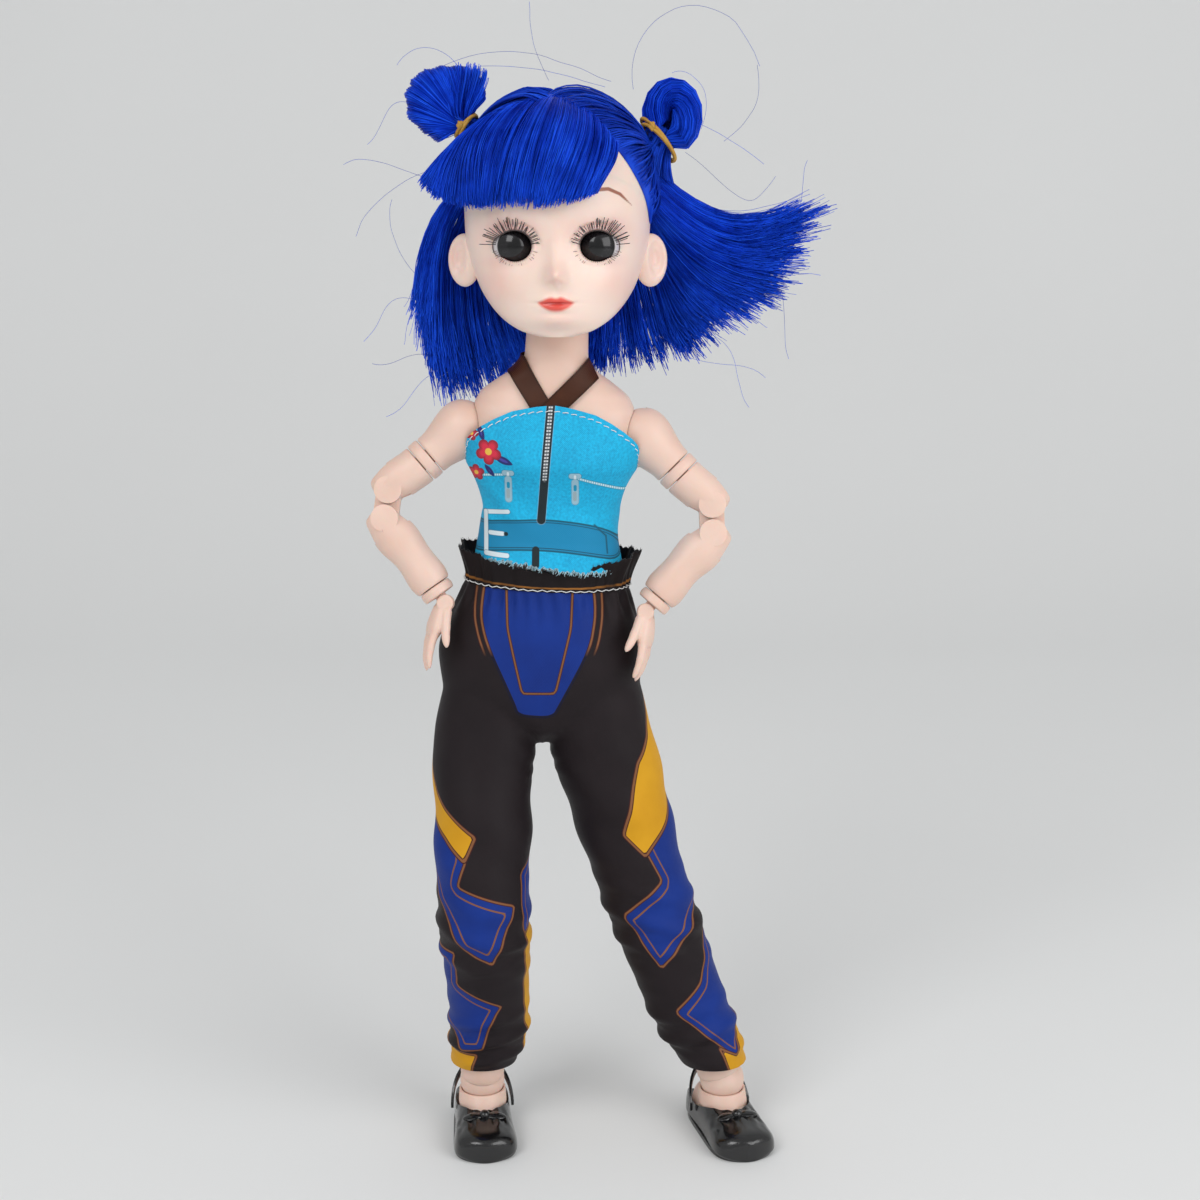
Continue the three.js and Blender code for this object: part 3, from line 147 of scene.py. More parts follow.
def ramp(add, value, gain, shift=0.0):
    """The value times a gain plus a shift, held between 0 and 1."""
    return maths(add, "MULTIPLY_ADD", value, gain, shift, clamp=True)


def times(add, first, second):
    return maths(add, "MULTIPLY", first, second)


def noise(add, scale, detail):
    """Clouds between 0 and 1 over the object, with their scale in clouds for each metre."""
    place = add("ShaderNodeTexCoord").outputs["Object"]
    texture = add("ShaderNodeTexNoise", {"Vector": place, "Scale": scale, "Detail": detail})
    return texture.outputs["Fac"]


def bump(add, height, strength, distance=0.0002):
    node = add("ShaderNodeBump", {"Strength": strength, "Distance": distance, "Height": height})
    return node.outputs["Normal"]


def wire(target, **values):
    """Links outputs to the named inputs of a shader or a group's end."""
    for name, value in values.items():
        socket = target[name.replace("_", " ")]
        socket.id_data.links.new(value, socket)


def attribute(add, name, output="Fac"):
    return add("ShaderNodeAttribute", attribute_name=name).outputs[output]

# %% Floor, backdrop and lamps
def backdrop():
    """A floor that rolls up into a wall in one sheet, well behind the doll."""
    bend, wall_y, wall_top, half_wide = 0.5, 1.1, 2.2, 6
    profile = [(-8.0, 0.0), (0.1, 0.0)]
    for i in range(13):
        turn = math.pi / 2 * i / 12
        profile.append((wall_y - bend + bend * math.sin(turn), bend - bend * math.cos(turn)))
    profile.append((wall_y, wall_top))
    mesh = bpy.data.meshes.new("backdrop")
    points = [(x, y, z) for y, z in profile for x in (-half_wide, half_wide)]
    faces = [(2 * i, 2 * i + 1, 2 * i + 3, 2 * i + 2) for i in range(len(profile) - 1)]
    mesh.from_pydata(points, [], faces)
    mesh.polygons.foreach_set("use_smooth", [True] * len(mesh.polygons))
    material, add, shader = new_material("pale_paper", Roughness=0.75)
    drift = noise(add, 2.0, 2.0)
    wire(shader, Base_Color=blend_colour(add, drift, rgb(230, 231, 231), rgb(238, 239, 239)))
    mesh.materials.append(material)
    new_object("backdrop", mesh)


def lamp(name, place, aim, size, watts):
    data = bpy.data.lights.new(name, "AREA")
    data.size, data.energy = size, watts
    obj = new_object(name, data)
    obj.location = place
    obj.rotation_euler = (Vector(aim) - Vector(place)).to_track_quat("-Z", "Y").to_euler()


backdrop()
lamp("key_lamp", (-0.55, -0.85, 0.95), (0, 0, 0.17), 0.6, 5.0)
lamp("fill_lamp", (0.8, -0.7, 0.6), (0, 0, 0.15), 0.8, 5.5)
world = bpy.data.worlds.new("studio")
world.use_nodes = True
sky = world.node_tree.nodes["Background"].inputs
sky["Color"].default_value, sky["Strength"].default_value = (1, 1, 1, 1), 0.55
scene.world = world
scene.view_settings.view_transform = "Standard"

# %% [markdown]
# ## Smooth forms
# Limbs, torso and head are moulded shapes with soft oval sections. Each is a short table of
# stations: height, half width, half depth, middle X, middle Y and roundness, in millimetres.
# Smooth curves run between the stations, so a few rows give a clean surface at any fineness.

# %% Form, and meshes from grids
def full_turn(count):
    """Even directions once round, in radians."""
    return np.linspace(0, 2 * np.pi, count, endpoint=False)


def unit(vector):
    return vector / np.linalg.norm(vector)


def units(rows):
    return rows / np.linalg.norm(rows, axis=-1, keepdims=True)


class Form:
    """Oval stations with smooth curves between them. Relief is how far the front stands out."""

    def __init__(self, rows, relief=None):
        self.rows = np.array([list(row) + [0, 0, 2][len(row) - 3:] for row in rows], float)
        self.relief = relief

    def sizes(self, height):
        height = np.asarray(height, float)
        z, values = self.rows[:, 0], self.rows[:, 1:]
        slope = np.diff(values, axis=0) / np.diff(z)[:, None]
        tangent = np.zeros_like(values)
        tangent[0], tangent[-1] = slope[0], slope[-1]
        p, q = slope[:-1], slope[1:]
        tangent[1:-1] = np.where(p * q > 0, 2 * p * q / np.where(p + q == 0, 1, p + q), 0)
        height = np.clip(height, z[0], z[-1])
        k = np.clip(np.searchsorted(z, height, "right") - 1, 0, len(z) - 2)
        span = (z[k + 1] - z[k])[..., None]
        t = ((height - z[k])[..., None]) / span
        return (values[k] * (1 - t * t * (3 - 2 * t)) + values[k + 1] * t * t * (3 - 2 * t)
                + span * ((t - 2 * t * t + t ** 3) * tangent[k]
                          + (t ** 3 - t * t) * tangent[k + 1]))

    def points(self, angle, height, grow=0.0):
        angle, height = np.broadcast_arrays(np.asarray(angle, float), np.asarray(height, float))
        w, d, x, y, n = np.moveaxis(self.sizes(height), -1, 0)
        oval = lambda v: np.sign(v) * np.abs(v) ** (2 / n)
        out = np.stack([x + (w + grow) * oval(np.cos(angle)), y + (d + grow) * oval(np.sin(angle)),
                        height], -1)
        if self.relief:
            out[..., 1] -= self.relief(out)
        return out


def hump(x, z, middle_x, middle_z, wide, tall):
    return np.exp(-((x - middle_x) / wide) ** 2 - ((z - middle_z) / tall) ** 2)


def grid_faces(rows, columns, wrap):
    across = columns if wrap else columns - 1
    return [(j * columns + i, j * columns + (i + 1) % columns,
             (j + 1) * columns + (i + 1) % columns, (j + 1) * columns + i)
            for j in range(rows - 1) for i in range(across)]


def build(name, points, faces, material, sharp=40):
    """A mesh object from points in millimetres, smooth but for edges sharper than the angle."""
    mesh = bpy.data.meshes.new(name)
    mesh.from_pydata((np.asarray(points, float).reshape(-1, 3) * MM).tolist(), [], faces)
    mesh.materials.append(material)
    obj = new_object(name, mesh)
    smooth(obj, sharp)
    return obj


def smooth(obj, sharp=40):
    mesh = obj.data
    mesh.polygons.foreach_set("use_smooth", [True] * len(mesh.polygons))
    mesh.set_sharp_from_angle(angle=math.radians(sharp))
    mesh.update()


def lofted(name, rings, material, sharp=40):
    """A closed body through an array of rings, each ring a row of points, with flat end caps."""
    rings = np.asarray(rings, float)
    rows, columns = rings.shape[:2]
    faces = grid_faces(rows, columns, True)
    faces += [tuple(reversed(range(columns))),
              tuple((rows - 1) * columns + i for i in range(columns))]
    return build(name, rings, faces, material, sharp)


def form_rings(form, columns=48, rows=40, grow=0.0, low=None, high=None):
    low = form.rows[0, 0] if low is None else low
    high = form.rows[-1, 0] if high is None else high
    return form.points(full_turn(columns)[None, :], np.linspace(low, high, rows)[:, None], grow)


def ball_rings(radius, centre=(0, 0, 0), columns=48, rows=32):
    almost_pole = 0.4985 * np.pi
    down = np.linspace(-almost_pole, almost_pole, rows)[:, None]
    turn = full_turn(columns)[None, :]
    radius = np.broadcast_to(np.asarray(radius, float), (3,))
    return np.stack([centre[0] + radius[0] * np.cos(down) * np.cos(turn),
                     centre[1] + radius[1] * np.cos(down) * np.sin(turn),
                     centre[2] + radius[2] * np.sin(down) + 0 * turn], -1)


def rod_rings(radius, length, centre=(0, 0, 0), along="x", columns=32):
    turn = full_turn(columns)
    a, b = radius * np.cos(turn), radius * np.sin(turn)
    rings = []
    for end in (-length / 2, length / 2):
        ring = {"x": [a * 0 + end, a, b], "z": [a, b, a * 0 + end]}[along]
        rings.append(np.stack(ring, -1) + centre)
    return np.array(rings)


def box_rings(size, centre):
    ring = ((-1, -1), (1, -1), (1, 1), (-1, 1))
    corners = np.array([[x, y, z] for z in (-1, 1) for x, y in ring], float)
    return (corners * (np.array(size) / 2) + centre).reshape(2, 4, 3)

# %% Cutting, joining and riding
def baked(obj):
    """The object's evaluated shape as its own plain mesh, with every modifier gone."""
    bpy.context.view_layer.update()
    graph = bpy.context.evaluated_depsgraph_get()
    mesh = bpy.data.meshes.new_from_object(obj.evaluated_get(graph), preserve_all_data_layers=True,
                                           depsgraph=graph)
    obj.modifiers.clear()
    obj.data = mesh
    return obj


def with_tools(obj, tools, operation):
    for tool in tools:
        modifier = obj.modifiers.new("tool", "BOOLEAN")
        modifier.operation, modifier.solver, modifier.object = operation, "EXACT", tool


def drop(objects):
    for obj in objects:
        bpy.data.objects.remove(obj)


def combine(obj, tools, operation="DIFFERENCE", sharp=40):
    """Joins or cuts with throw-away solids, then bakes the result."""
    with_tools(obj, tools, operation)
    baked(obj)
    drop(tools)
    smooth(obj, sharp)
    return obj


def softened(obj, width, angle=45, segments=2):
    """A small round on every edge sharper than the angle, as a mould leaves."""
    modifier = obj.modifiers.new("round", "BEVEL")
    modifier.width = width * MM
    modifier.segments = segments
    modifier.limit_method = "ANGLE"
    modifier.angle_limit = math.radians(angle)
    baked(obj)
    smooth(obj, 50)
    return obj


def edited(mesh, change):
    """Runs a change on the mesh while it is open for editing."""
    work = bmesh.new()
    work.from_mesh(mesh)
    change(work)
    work.to_mesh(mesh)
    work.free()


def melt(obj, voxel, rounds):
    """Fuses a body through voxels of a size in millimetres and then relaxes it."""
    fuse = obj.modifiers.new("fuse", "REMESH")
    fuse.mode, fuse.voxel_size = "VOXEL", voxel * MM
    soft = obj.modifiers.new("soft", "SMOOTH")
    soft.factor, soft.iterations = 0.5, rounds
    return baked(obj)


def thicken(obj, thickness, sharp):
    """Gives a sheet its thickness in millimetres, half to each side."""
    cloth = obj.modifiers.new("cloth", "SOLIDIFY")
    cloth.thickness, cloth.offset = thickness * MM, 0
    baked(obj)
    smooth(obj, sharp)


def repaint(obj, material):
    obj.data.materials.clear()
    obj.data.materials.append(material)


def mirrored(obj):
    """The same piece for the doll's right side."""
    obj.data.transform(Matrix.Scale(-1, 4, (1, 0, 0)))
    obj.data.flip_normals()


def keep(obj, body, slot, *replaced):
    """The piece moves with its body and hides the named nodes that it stands for; slot is not used.
    """
    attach(obj, body)
    if replaced:
        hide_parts(*replaced)
    return obj


def joint_axis(name):
    return np.array(joints[name]["axis"], float)


def placing(origin, x=None, y=None, z=None):
    """A matrix from a piece's own millimetres to the frame's, from two of its axes."""
    if x is None:
        x = np.cross(unit(y), unit(z))
    if z is None:
        z = np.cross(unit(x), unit(y))
    x, z = unit(x), unit(z)
    y = unit(np.cross(z, x))
    matrix = np.eye(4)
    matrix[:3] = np.column_stack([np.cross(y, z), y, z, origin])
    return matrix


def scaled(matrix):
    """The same placing for a mesh that is already in metres."""
    out = matrix.copy()
    out[:3, 3] *= MM
    return out


def place(obj, matrix):
    obj.data.transform(Matrix(scaled(matrix)))
    return obj
print("helpers ready")

# %% [markdown]
# ## Shared surface effects
# Three small shader groups serve every finish: a moulded skin with faint clouds of colour, a woven
# cloth whose thread tops carry a painted highlight, and a printed panel with a double outline.

# %% Shader groups
def shader_group(name, inputs, outputs):
    tree = bpy.data.node_groups.new(name, "ShaderNodeTree")
    for label, kind, value in inputs:
        socket = tree.interface.new_socket(label, in_out="INPUT", socket_type="NodeSocket" + kind)
        socket.default_value = value
    for label, kind in outputs:
        tree.interface.new_socket(label, in_out="OUTPUT", socket_type="NodeSocket" + kind)
    source = tree.nodes.new("NodeGroupInput").outputs
    return tree, nodes_of(tree), source, tree.nodes.new("NodeGroupOutput").inputs


def moulded_group():
    """Slightly uneven colour and shine, and a very fine grain."""
    tree, add, source, out = shader_group("moulded", [
        ("Colour", "Color", (0.8, 0.6, 0.5, 1)), ("Shade", "Color", (0.7, 0.5, 0.4, 1)),
        ("Roughness", "Float", 0.4), ("Grain", "Float", 0.1)],
        [("Colour", "Color"), ("Roughness", "Float"), ("Normal", "Vector")])
    cloud, fine = noise(add, 70.0, 4.0), noise(add, 2600.0, 2.0)
    mask = ramp(add, cloud, 3.0, -1.1)
    shine = maths(add, "SUBTRACT", source["Roughness"], 0.08)
    wire(out, Colour=blend_colour(add, mask, source["Colour"], source["Shade"]),
         Roughness=affine(add, cloud, 0.16, shine), Normal=bump(add, fine, source["Grain"]))
    return tree


def woven_group():
    """Threads both ways as a height, and a mask of the thread tops, for a painted highlight."""
    tree, add, source, out = shader_group("woven", [
        ("Flat", "Vector", (0, 0, 0)), ("Threads per mm", "Float", 4.0), ("Depth", "Float", 0.3)],
        [("Mask", "Float"), ("Normal", "Vector")])
    flat = add("ShaderNodeSeparateXYZ", {0: source["Flat"]}).outputs
    turn = times(add, source["Threads per mm"], 2 * math.pi)
    across, along = (maths(add, "SINE", times(add, flat[axis], turn)) for axis in "XY")
    mask = affine(add, times(add, across, along), 0.5, 0.5)
    wire(out, Mask=mask, Normal=bump(add, mask, source["Depth"]))
    return tree


def panel_group():
    """A filled panel with an inner line, from a distance in millimetres that is above 0 inside."""
    tree, add, source, out = shader_group("panel", [
        ("Under", "Color", (0, 0, 0, 1)), ("Fill", "Color", (0, 0, 1, 1)),
        ("Line", "Color", (1, 0.5, 0, 1)), ("Edge", "Color", (0.1, 0, 0, 1)),
        ("Distance", "Float", -9.0), ("Inner", "Float", 2.6), ("Width", "Float", 0.3)],
        [("Colour", "Color")])
    crisp, edge_share, inner_share = 8.0, 1.9, 0.85
    distance, width, line = source["Distance"], source["Width"], source["Line"]

    def within(gap, half):
        return ramp(add, maths(add, "SUBTRACT", half, maths(add, "ABSOLUTE", gap)), crisp, 0.5)

    inside = ramp(add, distance, crisp, 0.5)
    colour = blend_colour(add, inside, source["Under"], source["Fill"])
    edge = within(distance, times(add, width, edge_share))
    colour = blend_colour(add, edge, colour, source["Edge"])
    colour = blend_colour(add, within(distance, width), colour, line)
    inner = maths(add, "SUBTRACT", distance, source["Inner"])
    inner = within(inner, times(add, width, inner_share))
    wire(out, Colour=blend_colour(add, inner, colour, line))
    return tree


MOULDED, WOVEN, PANEL = moulded_group(), woven_group(), panel_group()


def moulded_look(add, colour, shade, roughness, grain):
    """The outputs of the moulded group with its values set."""
    return add("ShaderNodeGroup", {"Colour": colour, "Shade": shade, "Roughness": roughness,
                                   "Grain": grain}, node_tree=MOULDED).outputs


def moulded(name, *look, **values):
    material, add, shader = new_material(name, **values)
    group = moulded_look(add, *look)
    wire(shader, Base_Color=group["Colour"], Roughness=group["Roughness"], Normal=group["Normal"])
    return material


skin = moulded("body_skin", rgb(232, 202, 187), rgb(227, 193, 176), 0.44, 0.1,
               Subsurface_Weight=0.2, Subsurface_Scale=0.0015)
black_vinyl = moulded("shoe_vinyl", rgb(9, 9, 10), rgb(16, 16, 18), 0.16, 0.35,
                      Coat_Weight=0.5, Coat_Roughness=0.08)


def ball(*sizes):
    """A throw-away round solid, for a socket or a knob."""
    return lofted("t", ball_rings(*sizes), skin)


def rod(*sizes, **more):
    return lofted("t", rod_rings(*sizes, **more), skin)


def box(size, centre):
    return lofted("t", box_rings(size, centre), skin)


print("materials", len(bpy.data.materials))

# %% [markdown]
# ## The body
# The chest is one moulding from the waist to the neck, with round sockets for the arms.
# Arms are turned and forked pieces: a ball cap, a ring, an arm, a link with two pins, a forearm,
# a cuff and a hand. The hand grows from a palm and five fingers that are fused and smoothed.

# %% Chest
CHEST = placing(joint_place("waist_turn"), joint_axis("waist_bend"), z=joint_axis("waist_turn"))
SHOULDER_X, SHOULDER_Z = 24.5, 24


def bust(p):
    return np.where(p[..., 1] < 0, 2.4 * hump(np.abs(p[..., 0]), p[..., 2], 8.2, 18, 6.6, 6.4), 0)


torso = Form([
    [-12, 18.4, 12.6, 0, 0, 2.2], [3, 17.2, 11.2, 0, 0, 2.2], [10, 17.8, 12, 0, -0.4, 2.2],
    [17, 19.2, 13.4, 0, -0.9, 2.3], [24, 21.2, 12.4, 0, -0.6, 2.5], [30, 21.8, 10.6, 0, 0, 2.5],
    [34, 20.2, 9.4, 0, 0.3, 2.2], [38, 15.4, 8.6, 0, 0.3], [41.5, 10.4, 8.4, 0, 0.3],
              [44.5, 8.6, 8.3, 0, 0.2],
    [51.4, 8.3, 8.3]], bust)


def chest_piece():
    """The chest with its sockets for the arms and the waist, and the neck's socket and bore."""
    body = lofted("chest", form_rings(torso, 120, 90, low=3), skin)
    tools = [ball(8.0, (s * SHOULDER_X, 0, SHOULDER_Z), 64, 48) for s in (-1, 1)]
    tools += [rod(2.2, 2 * SHOULDER_X, (0, 0, SHOULDER_Z)), ball(10.7), ball(6.5, (0, 0, 54)),
              rod(3.3, 22, (0, 0, 43), "z")]
    body = place(softened(combine(body, tools), 0.3), CHEST)
    return keep(body, "chest", "body_plastic", "upper_torso")


chest_piece()
print("chest placed")

# %% Forks, links and arms
def fork_tools(half, end, height, down, pin):
    depth, way = 2 * end + 2.3, -1 if down else 1
    slot = box_rings((half * 0.8, 6 * end, depth), (0, 0, height + way * (depth / 2 - end - 0.3)))
    return [lofted("t", slot, skin), rod(pin + 0.3, 2 * (half - 0.7), (0, 0, height))]


def forked(name, stations, half, end, height, down, pin, peg=None, extra=()):
    """A limb whose end is a rounded fork, with a blind pin hole in each cheek."""
    body = lofted(name, form_rings(Form(stations), 56, 48), skin)
    joined = [rod(end, 2 * half, (0, 0, height), columns=48)]
    if peg:
        joined.append(rod(peg[0], peg[1], (0, 0, peg[2]), "z"))
    body = combine(body, joined, "UNION")
    return softened(combine(body, fork_tools(half, end, height, down, pin) + list(extra)), 0.35, 50)


def link_piece(name, half, end, length, pin):
    """A flat plate with round ends and a pin through each."""
    radius, thick = end - 0.3, half * 0.8 - 0.6
    turn = np.linspace(0, np.pi, 17)
    top = np.stack([radius * np.cos(turn), radius * np.sin(turn)], -1)
    outline = np.concatenate([top, -top - (0, length)])
    rings = [np.column_stack([np.full(len(outline), x), outline]) for x in (-thick / 2, thick / 2)]
    pins = [rod(pin, 2 * (half - 1), (0, 0, z)) for z in (0, -length)]
    return softened(combine(lofted(name, rings, skin), pins, "UNION"), 0.2, 50)


def turned(name, profile, columns=56):
    """A solid turned about Z from [radius, height] points that run upwards."""
    profile = np.array(profile, float)
    turn = full_turn(columns)[None, :]
    r, z = profile[:, :1], profile[:, 1:]
    return lofted(name, np.stack([r * np.cos(turn), r * np.sin(turn), z + 0 * turn], -1), skin,
                  sharp=60)


def cap_profile(ball, limb, end):
    """A straight limb that swells into a round cap."""
    z = np.concatenate([[-end, -end + 0.3], np.linspace(-end + 0.8, 0, 26)])
    t = np.clip(1 + z / (0.93 * end), 0, 1)
    r = limb + (ball - limb) * t * t * (3 - 2 * t)
    r[0] -= 0.35
    arc = np.linspace(0.06, 0.995, 24) * np.pi / 2
    return np.concatenate([np.column_stack([np.minimum(r, ball), z]),
                           np.column_stack([ball * np.cos(arc), ball * np.sin(arc)])])


def finger_rings(length, thick, curl, lean, nod, root, columns=20, rows=26):
    """A finger that hangs down, bends forward and has faint knuckles."""
    v = np.linspace(0, 1, rows)[:, None]
    turn = full_turn(columns)[None, :]
    size = thick * np.sqrt(np.maximum(0.02, 1 - (v * 1.005) ** 9)) * (1 - 0.24 * v)
    size = size * (1 + 0.07 * np.exp(-((v - 0.45) / 0.08) ** 2)
                   + 0.05 * np.exp(-((v - 0.75) / 0.07) ** 2))
    points = np.stack([size * np.cos(turn), size * np.sin(turn) - curl * v * v,
                       -length * v + 0 * turn], -1)
    spin = Matrix.Rotation(math.radians(nod), 3, "X") @ Matrix.Rotation(math.radians(lean), 3, "Y")
    return points @ np.array(spin).T + root


def hand_piece(name, side):
    """A palm, four fingers, a thumb and the wrist's round end, fused into one soft body."""
    twist = Matrix.Rotation(math.radians(-14), 4, "Z")
    palm = Form([[-9.6, 4.3, 1.7, 0, -0.4], [-7, 4.6, 2.3, 0, -0.2], [-2.5, 3.5, 2.5],
                 [0, 3.2, 2.3]])
    body = lofted(name, form_rings(palm, 40, 30), skin)
    fingers = [finger_rings(10.4 * share, 1.25, 2.6, -turn, 0, (x, -0.4, -8.4))
               for x, share, turn in ((3.1, 0.92, 4), (1.1, 1, 1.5), (-1, 0.95, -1),
                                      (-2.9, 0.8, -4))]
    fingers.append(finger_rings(10.4, 1.4, 1.2, -22, -14, (2.6, -0.8, -1.6)))
    parts = [lofted("t", rings, skin) for rings in fingers]
    for part in [body] + parts:
        part.data.transform(twist)
    parts.append(rod(2.3, 6.4))
    with_tools(body, parts, "UNION")
    melt(body, 0.28, 4)
    drop(parts)
    body = combine(body, [box((2.8, 8, 5), (0, 0, 0.5))], sharp=70)
    if side < 0:
        mirrored(body)
    return body


def arm(side, s, wrist_bend):
    named = lambda piece: f"{piece}_{side}"
    finish = lambda obj, matrix, body, node: keep(place(obj, matrix), named(body), "body_plastic",
                                                  named(node))
    hinge = joint_axis(named("elbow_upper"))
    shoulder, elbow, crook, twist, wrist = (joint_place(named(n)) for n in (
        "shoulder_raise", "elbow_upper", "elbow_lower", "wrist_turn", "wrist_bend"))
    upper = placing(shoulder, hinge, z=shoulder - elbow)
    link = placing(elbow, hinge, z=elbow - crook)
    fore = placing(crook, hinge, z=crook - twist)
    cuff = placing(twist, hinge, z=crook - twist)
    bend = Matrix.Rotation(math.radians(wrist_bend), 3, Vector(hinge))
    palm = placing(wrist, hinge, z=np.array(bend @ Vector(crook - twist)))
    half, end, pin, peg = 4.9, 3.7, 1.3, 2.2

    cap = combine(turned(named("arm_cap"), cap_profile(7.7, 5.6, 11.6)), [
        box((4.4, 15.4, 15.4), (0, -1.9, 4.0)), ball(4.4),
        rod(peg + 0.3, 11.6, (0, 0, -11.6), "z")])
    finish(softened(cap, 0.3, 50), upper, "arm_top", "upper_arm_top")
    ring = turned(named("arm_ring"), [
        [2.5, -14.9], [5.3, -14.9], [5.62, -14.75], [5.75, -14.4], [5.75, -12.4], [5.62, -12.05],
        [5.3, -11.9], [2.5, -11.9]])
    finish(ring, upper, "arm_top", "upper_arm_ring")
    lower = forked(named("arm_lower"), [
        [-29.4, 3.2, 2.4, 0, 1.0], [-28.8, 4.4, 3.8, 0, 1.0], [-27.6, 4.8, 4.5, 0, 1.0],
        [-26.2, 4.9, 4.8, 0, 1.0], [-21.2, 5.5, 5.6, 0, 0.5], [-15.5, 5.6, 5.6], [-15.2, 5.3, 5.3]],
        half, end, -26.2, True, pin, peg=(peg, 12, -13.4))
    finish(lower, upper, "arm", "upper_arm_lower")
    finish(link_piece(named("elbow"), half, end, 7.8, pin), link, "elbow", "elbow_link")
    hole = rod(peg + 0.3, 12, (0, 0, -22.4), "z")
    body = forked(named("fore"), [
        [-22.4, 4.7, 4.7], [-22.1, 5, 5], [-19.4, 5.3, 5.5], [-13.4, 5, 5.1],
                                  [-6, 5.3, 5.9, 0, 0.5],
        [0, 4.9, 4.8, 0, 1.0], [1.4, 4.8, 4.5, 0, 1.0], [2.6, 4.4, 3.8, 0, 1.0],
        [3.2, 3.2, 2.4, 0, 1.0]], half, end, 0, False, pin, extra=[hole])
    finish(body, fore, "forearm", "forearm")
    ring = turned(named("cuff"), [[4.2, -2.9], [4.5, -2.65], [4.7, -1.5], [4.5, -0.5], [4.2, -0.3]])
    parts = [rod(peg, 6, (0, 0, 2.5), "z"), rod(1.7, 2.2, (0, 0, -5.5)),
             box((2.2, 3, 3.0), (0, 0, -4.2))]
    finish(combine(ring, parts, "UNION"), cuff, "wrist", "wrist_ring")
    finish(hand_piece(named("palm"), s), palm, "hand", "hand")


arm("left", 1, 42)
arm("right", -1, 61)
print("arms placed")

# %% [markdown]
# ## Ankles, feet and shoes
# Foot and shoe come from one form along Y: rings that grow from the toe to the heel. The shoe is
# that form with a wall, an open mouth, a thin sole, a bow and a strap.

# %% Foot form
SOLE, ANKLE, WALL = 1.8, 14.3, 1.2
TOE, HEEL = -23.0, 13.0


def foot_ring(v, grow):
    y = TOE - grow + (HEEL - TOE + 2 * grow) * v
    t = np.clip((y - TOE) / (HEEL - TOE), 0, 1)
    round_ = np.sqrt(np.maximum(0.02, 1 - (2 * v - 1) ** 6))
    width = (8.6 - 1.6 * t + grow) * round_ * (1 - 0.12 * np.sin(np.pi * t))
    s = np.clip((t - 0.1) / 0.65, 0, 1)
    height = (4.6 + 4.6 * s * s * (3 - 2 * s)) * (0.35 + 0.65 * round_) + grow
    return y, width, height


def foot_rings(grow, columns=72, rows=70):
    v = (0.5 - 0.5 * np.cos(np.pi * np.linspace(0, 1, rows)))[:, None]
    angle = full_turn(columns)[None, :]
    y, width, height = foot_ring(v, grow)
    up = np.sin(angle)
    x = width * np.sign(np.cos(angle)) * np.abs(np.cos(angle)) ** 0.7
    z = SOLE - grow + np.where(up > 0, grow + height * np.abs(up) ** 0.8,
                               np.maximum(-grow, 2 * up) + grow)
    return np.stack([x, y + 0 * angle, z], -1)


def sole_rings():
    turn = full_turn(96)
    y, width, _ = foot_ring((1 - np.cos(turn)) / 2, WALL + 0.3)
    x = np.sign(np.sin(turn)) * (width * np.abs(np.sin(turn)) ** 0.35
                                 + 0.5 * np.abs(np.sin(turn)) ** 0.2)
    outline = np.column_stack([x, y])
    middle = outline.mean(axis=0)
    rings = []
    for z, share in ((0, 0.975), (0.18, 1), (1.0, 1), (1.2, 0.98)):
        rings.append(np.column_stack([middle + (outline - middle) * share,
                                      np.full(len(outline), z)]))
    return np.array(rings[::-1])


MOUTH = Form([[SOLE + 2.6, 6.7, 12, 0, 2.8], [SOLE + 8, 9, 15.5, 0, 4.6],
              [SOLE + 22, 13, 20, 0, 6]])


def bow_rings(side, centre):
    """One soft loop of a flat bow, pinched at the knot and creased along its middle."""
    t = np.linspace(0.0, 1, 26)[:, None]
    turn = full_turn(24)[None, :]
    swell = np.sin(np.pi * np.minimum(1, t * 0.9 + 0.08)) ** 0.7 * (0.6 + 0.7 * t)
    crease = 1 - 0.25 * np.exp(-((np.sin(turn) - 0.2) / 0.3) ** 2) * np.cos(turn * 3) ** 2
    x = side * 6.2 * t + 0 * turn
    y = swell * 1.7 * np.cos(turn) * crease
    z = swell * 1.0 * np.sin(turn) * crease - 0.7 * t * t
    return np.stack([x, y, z], -1) + centre


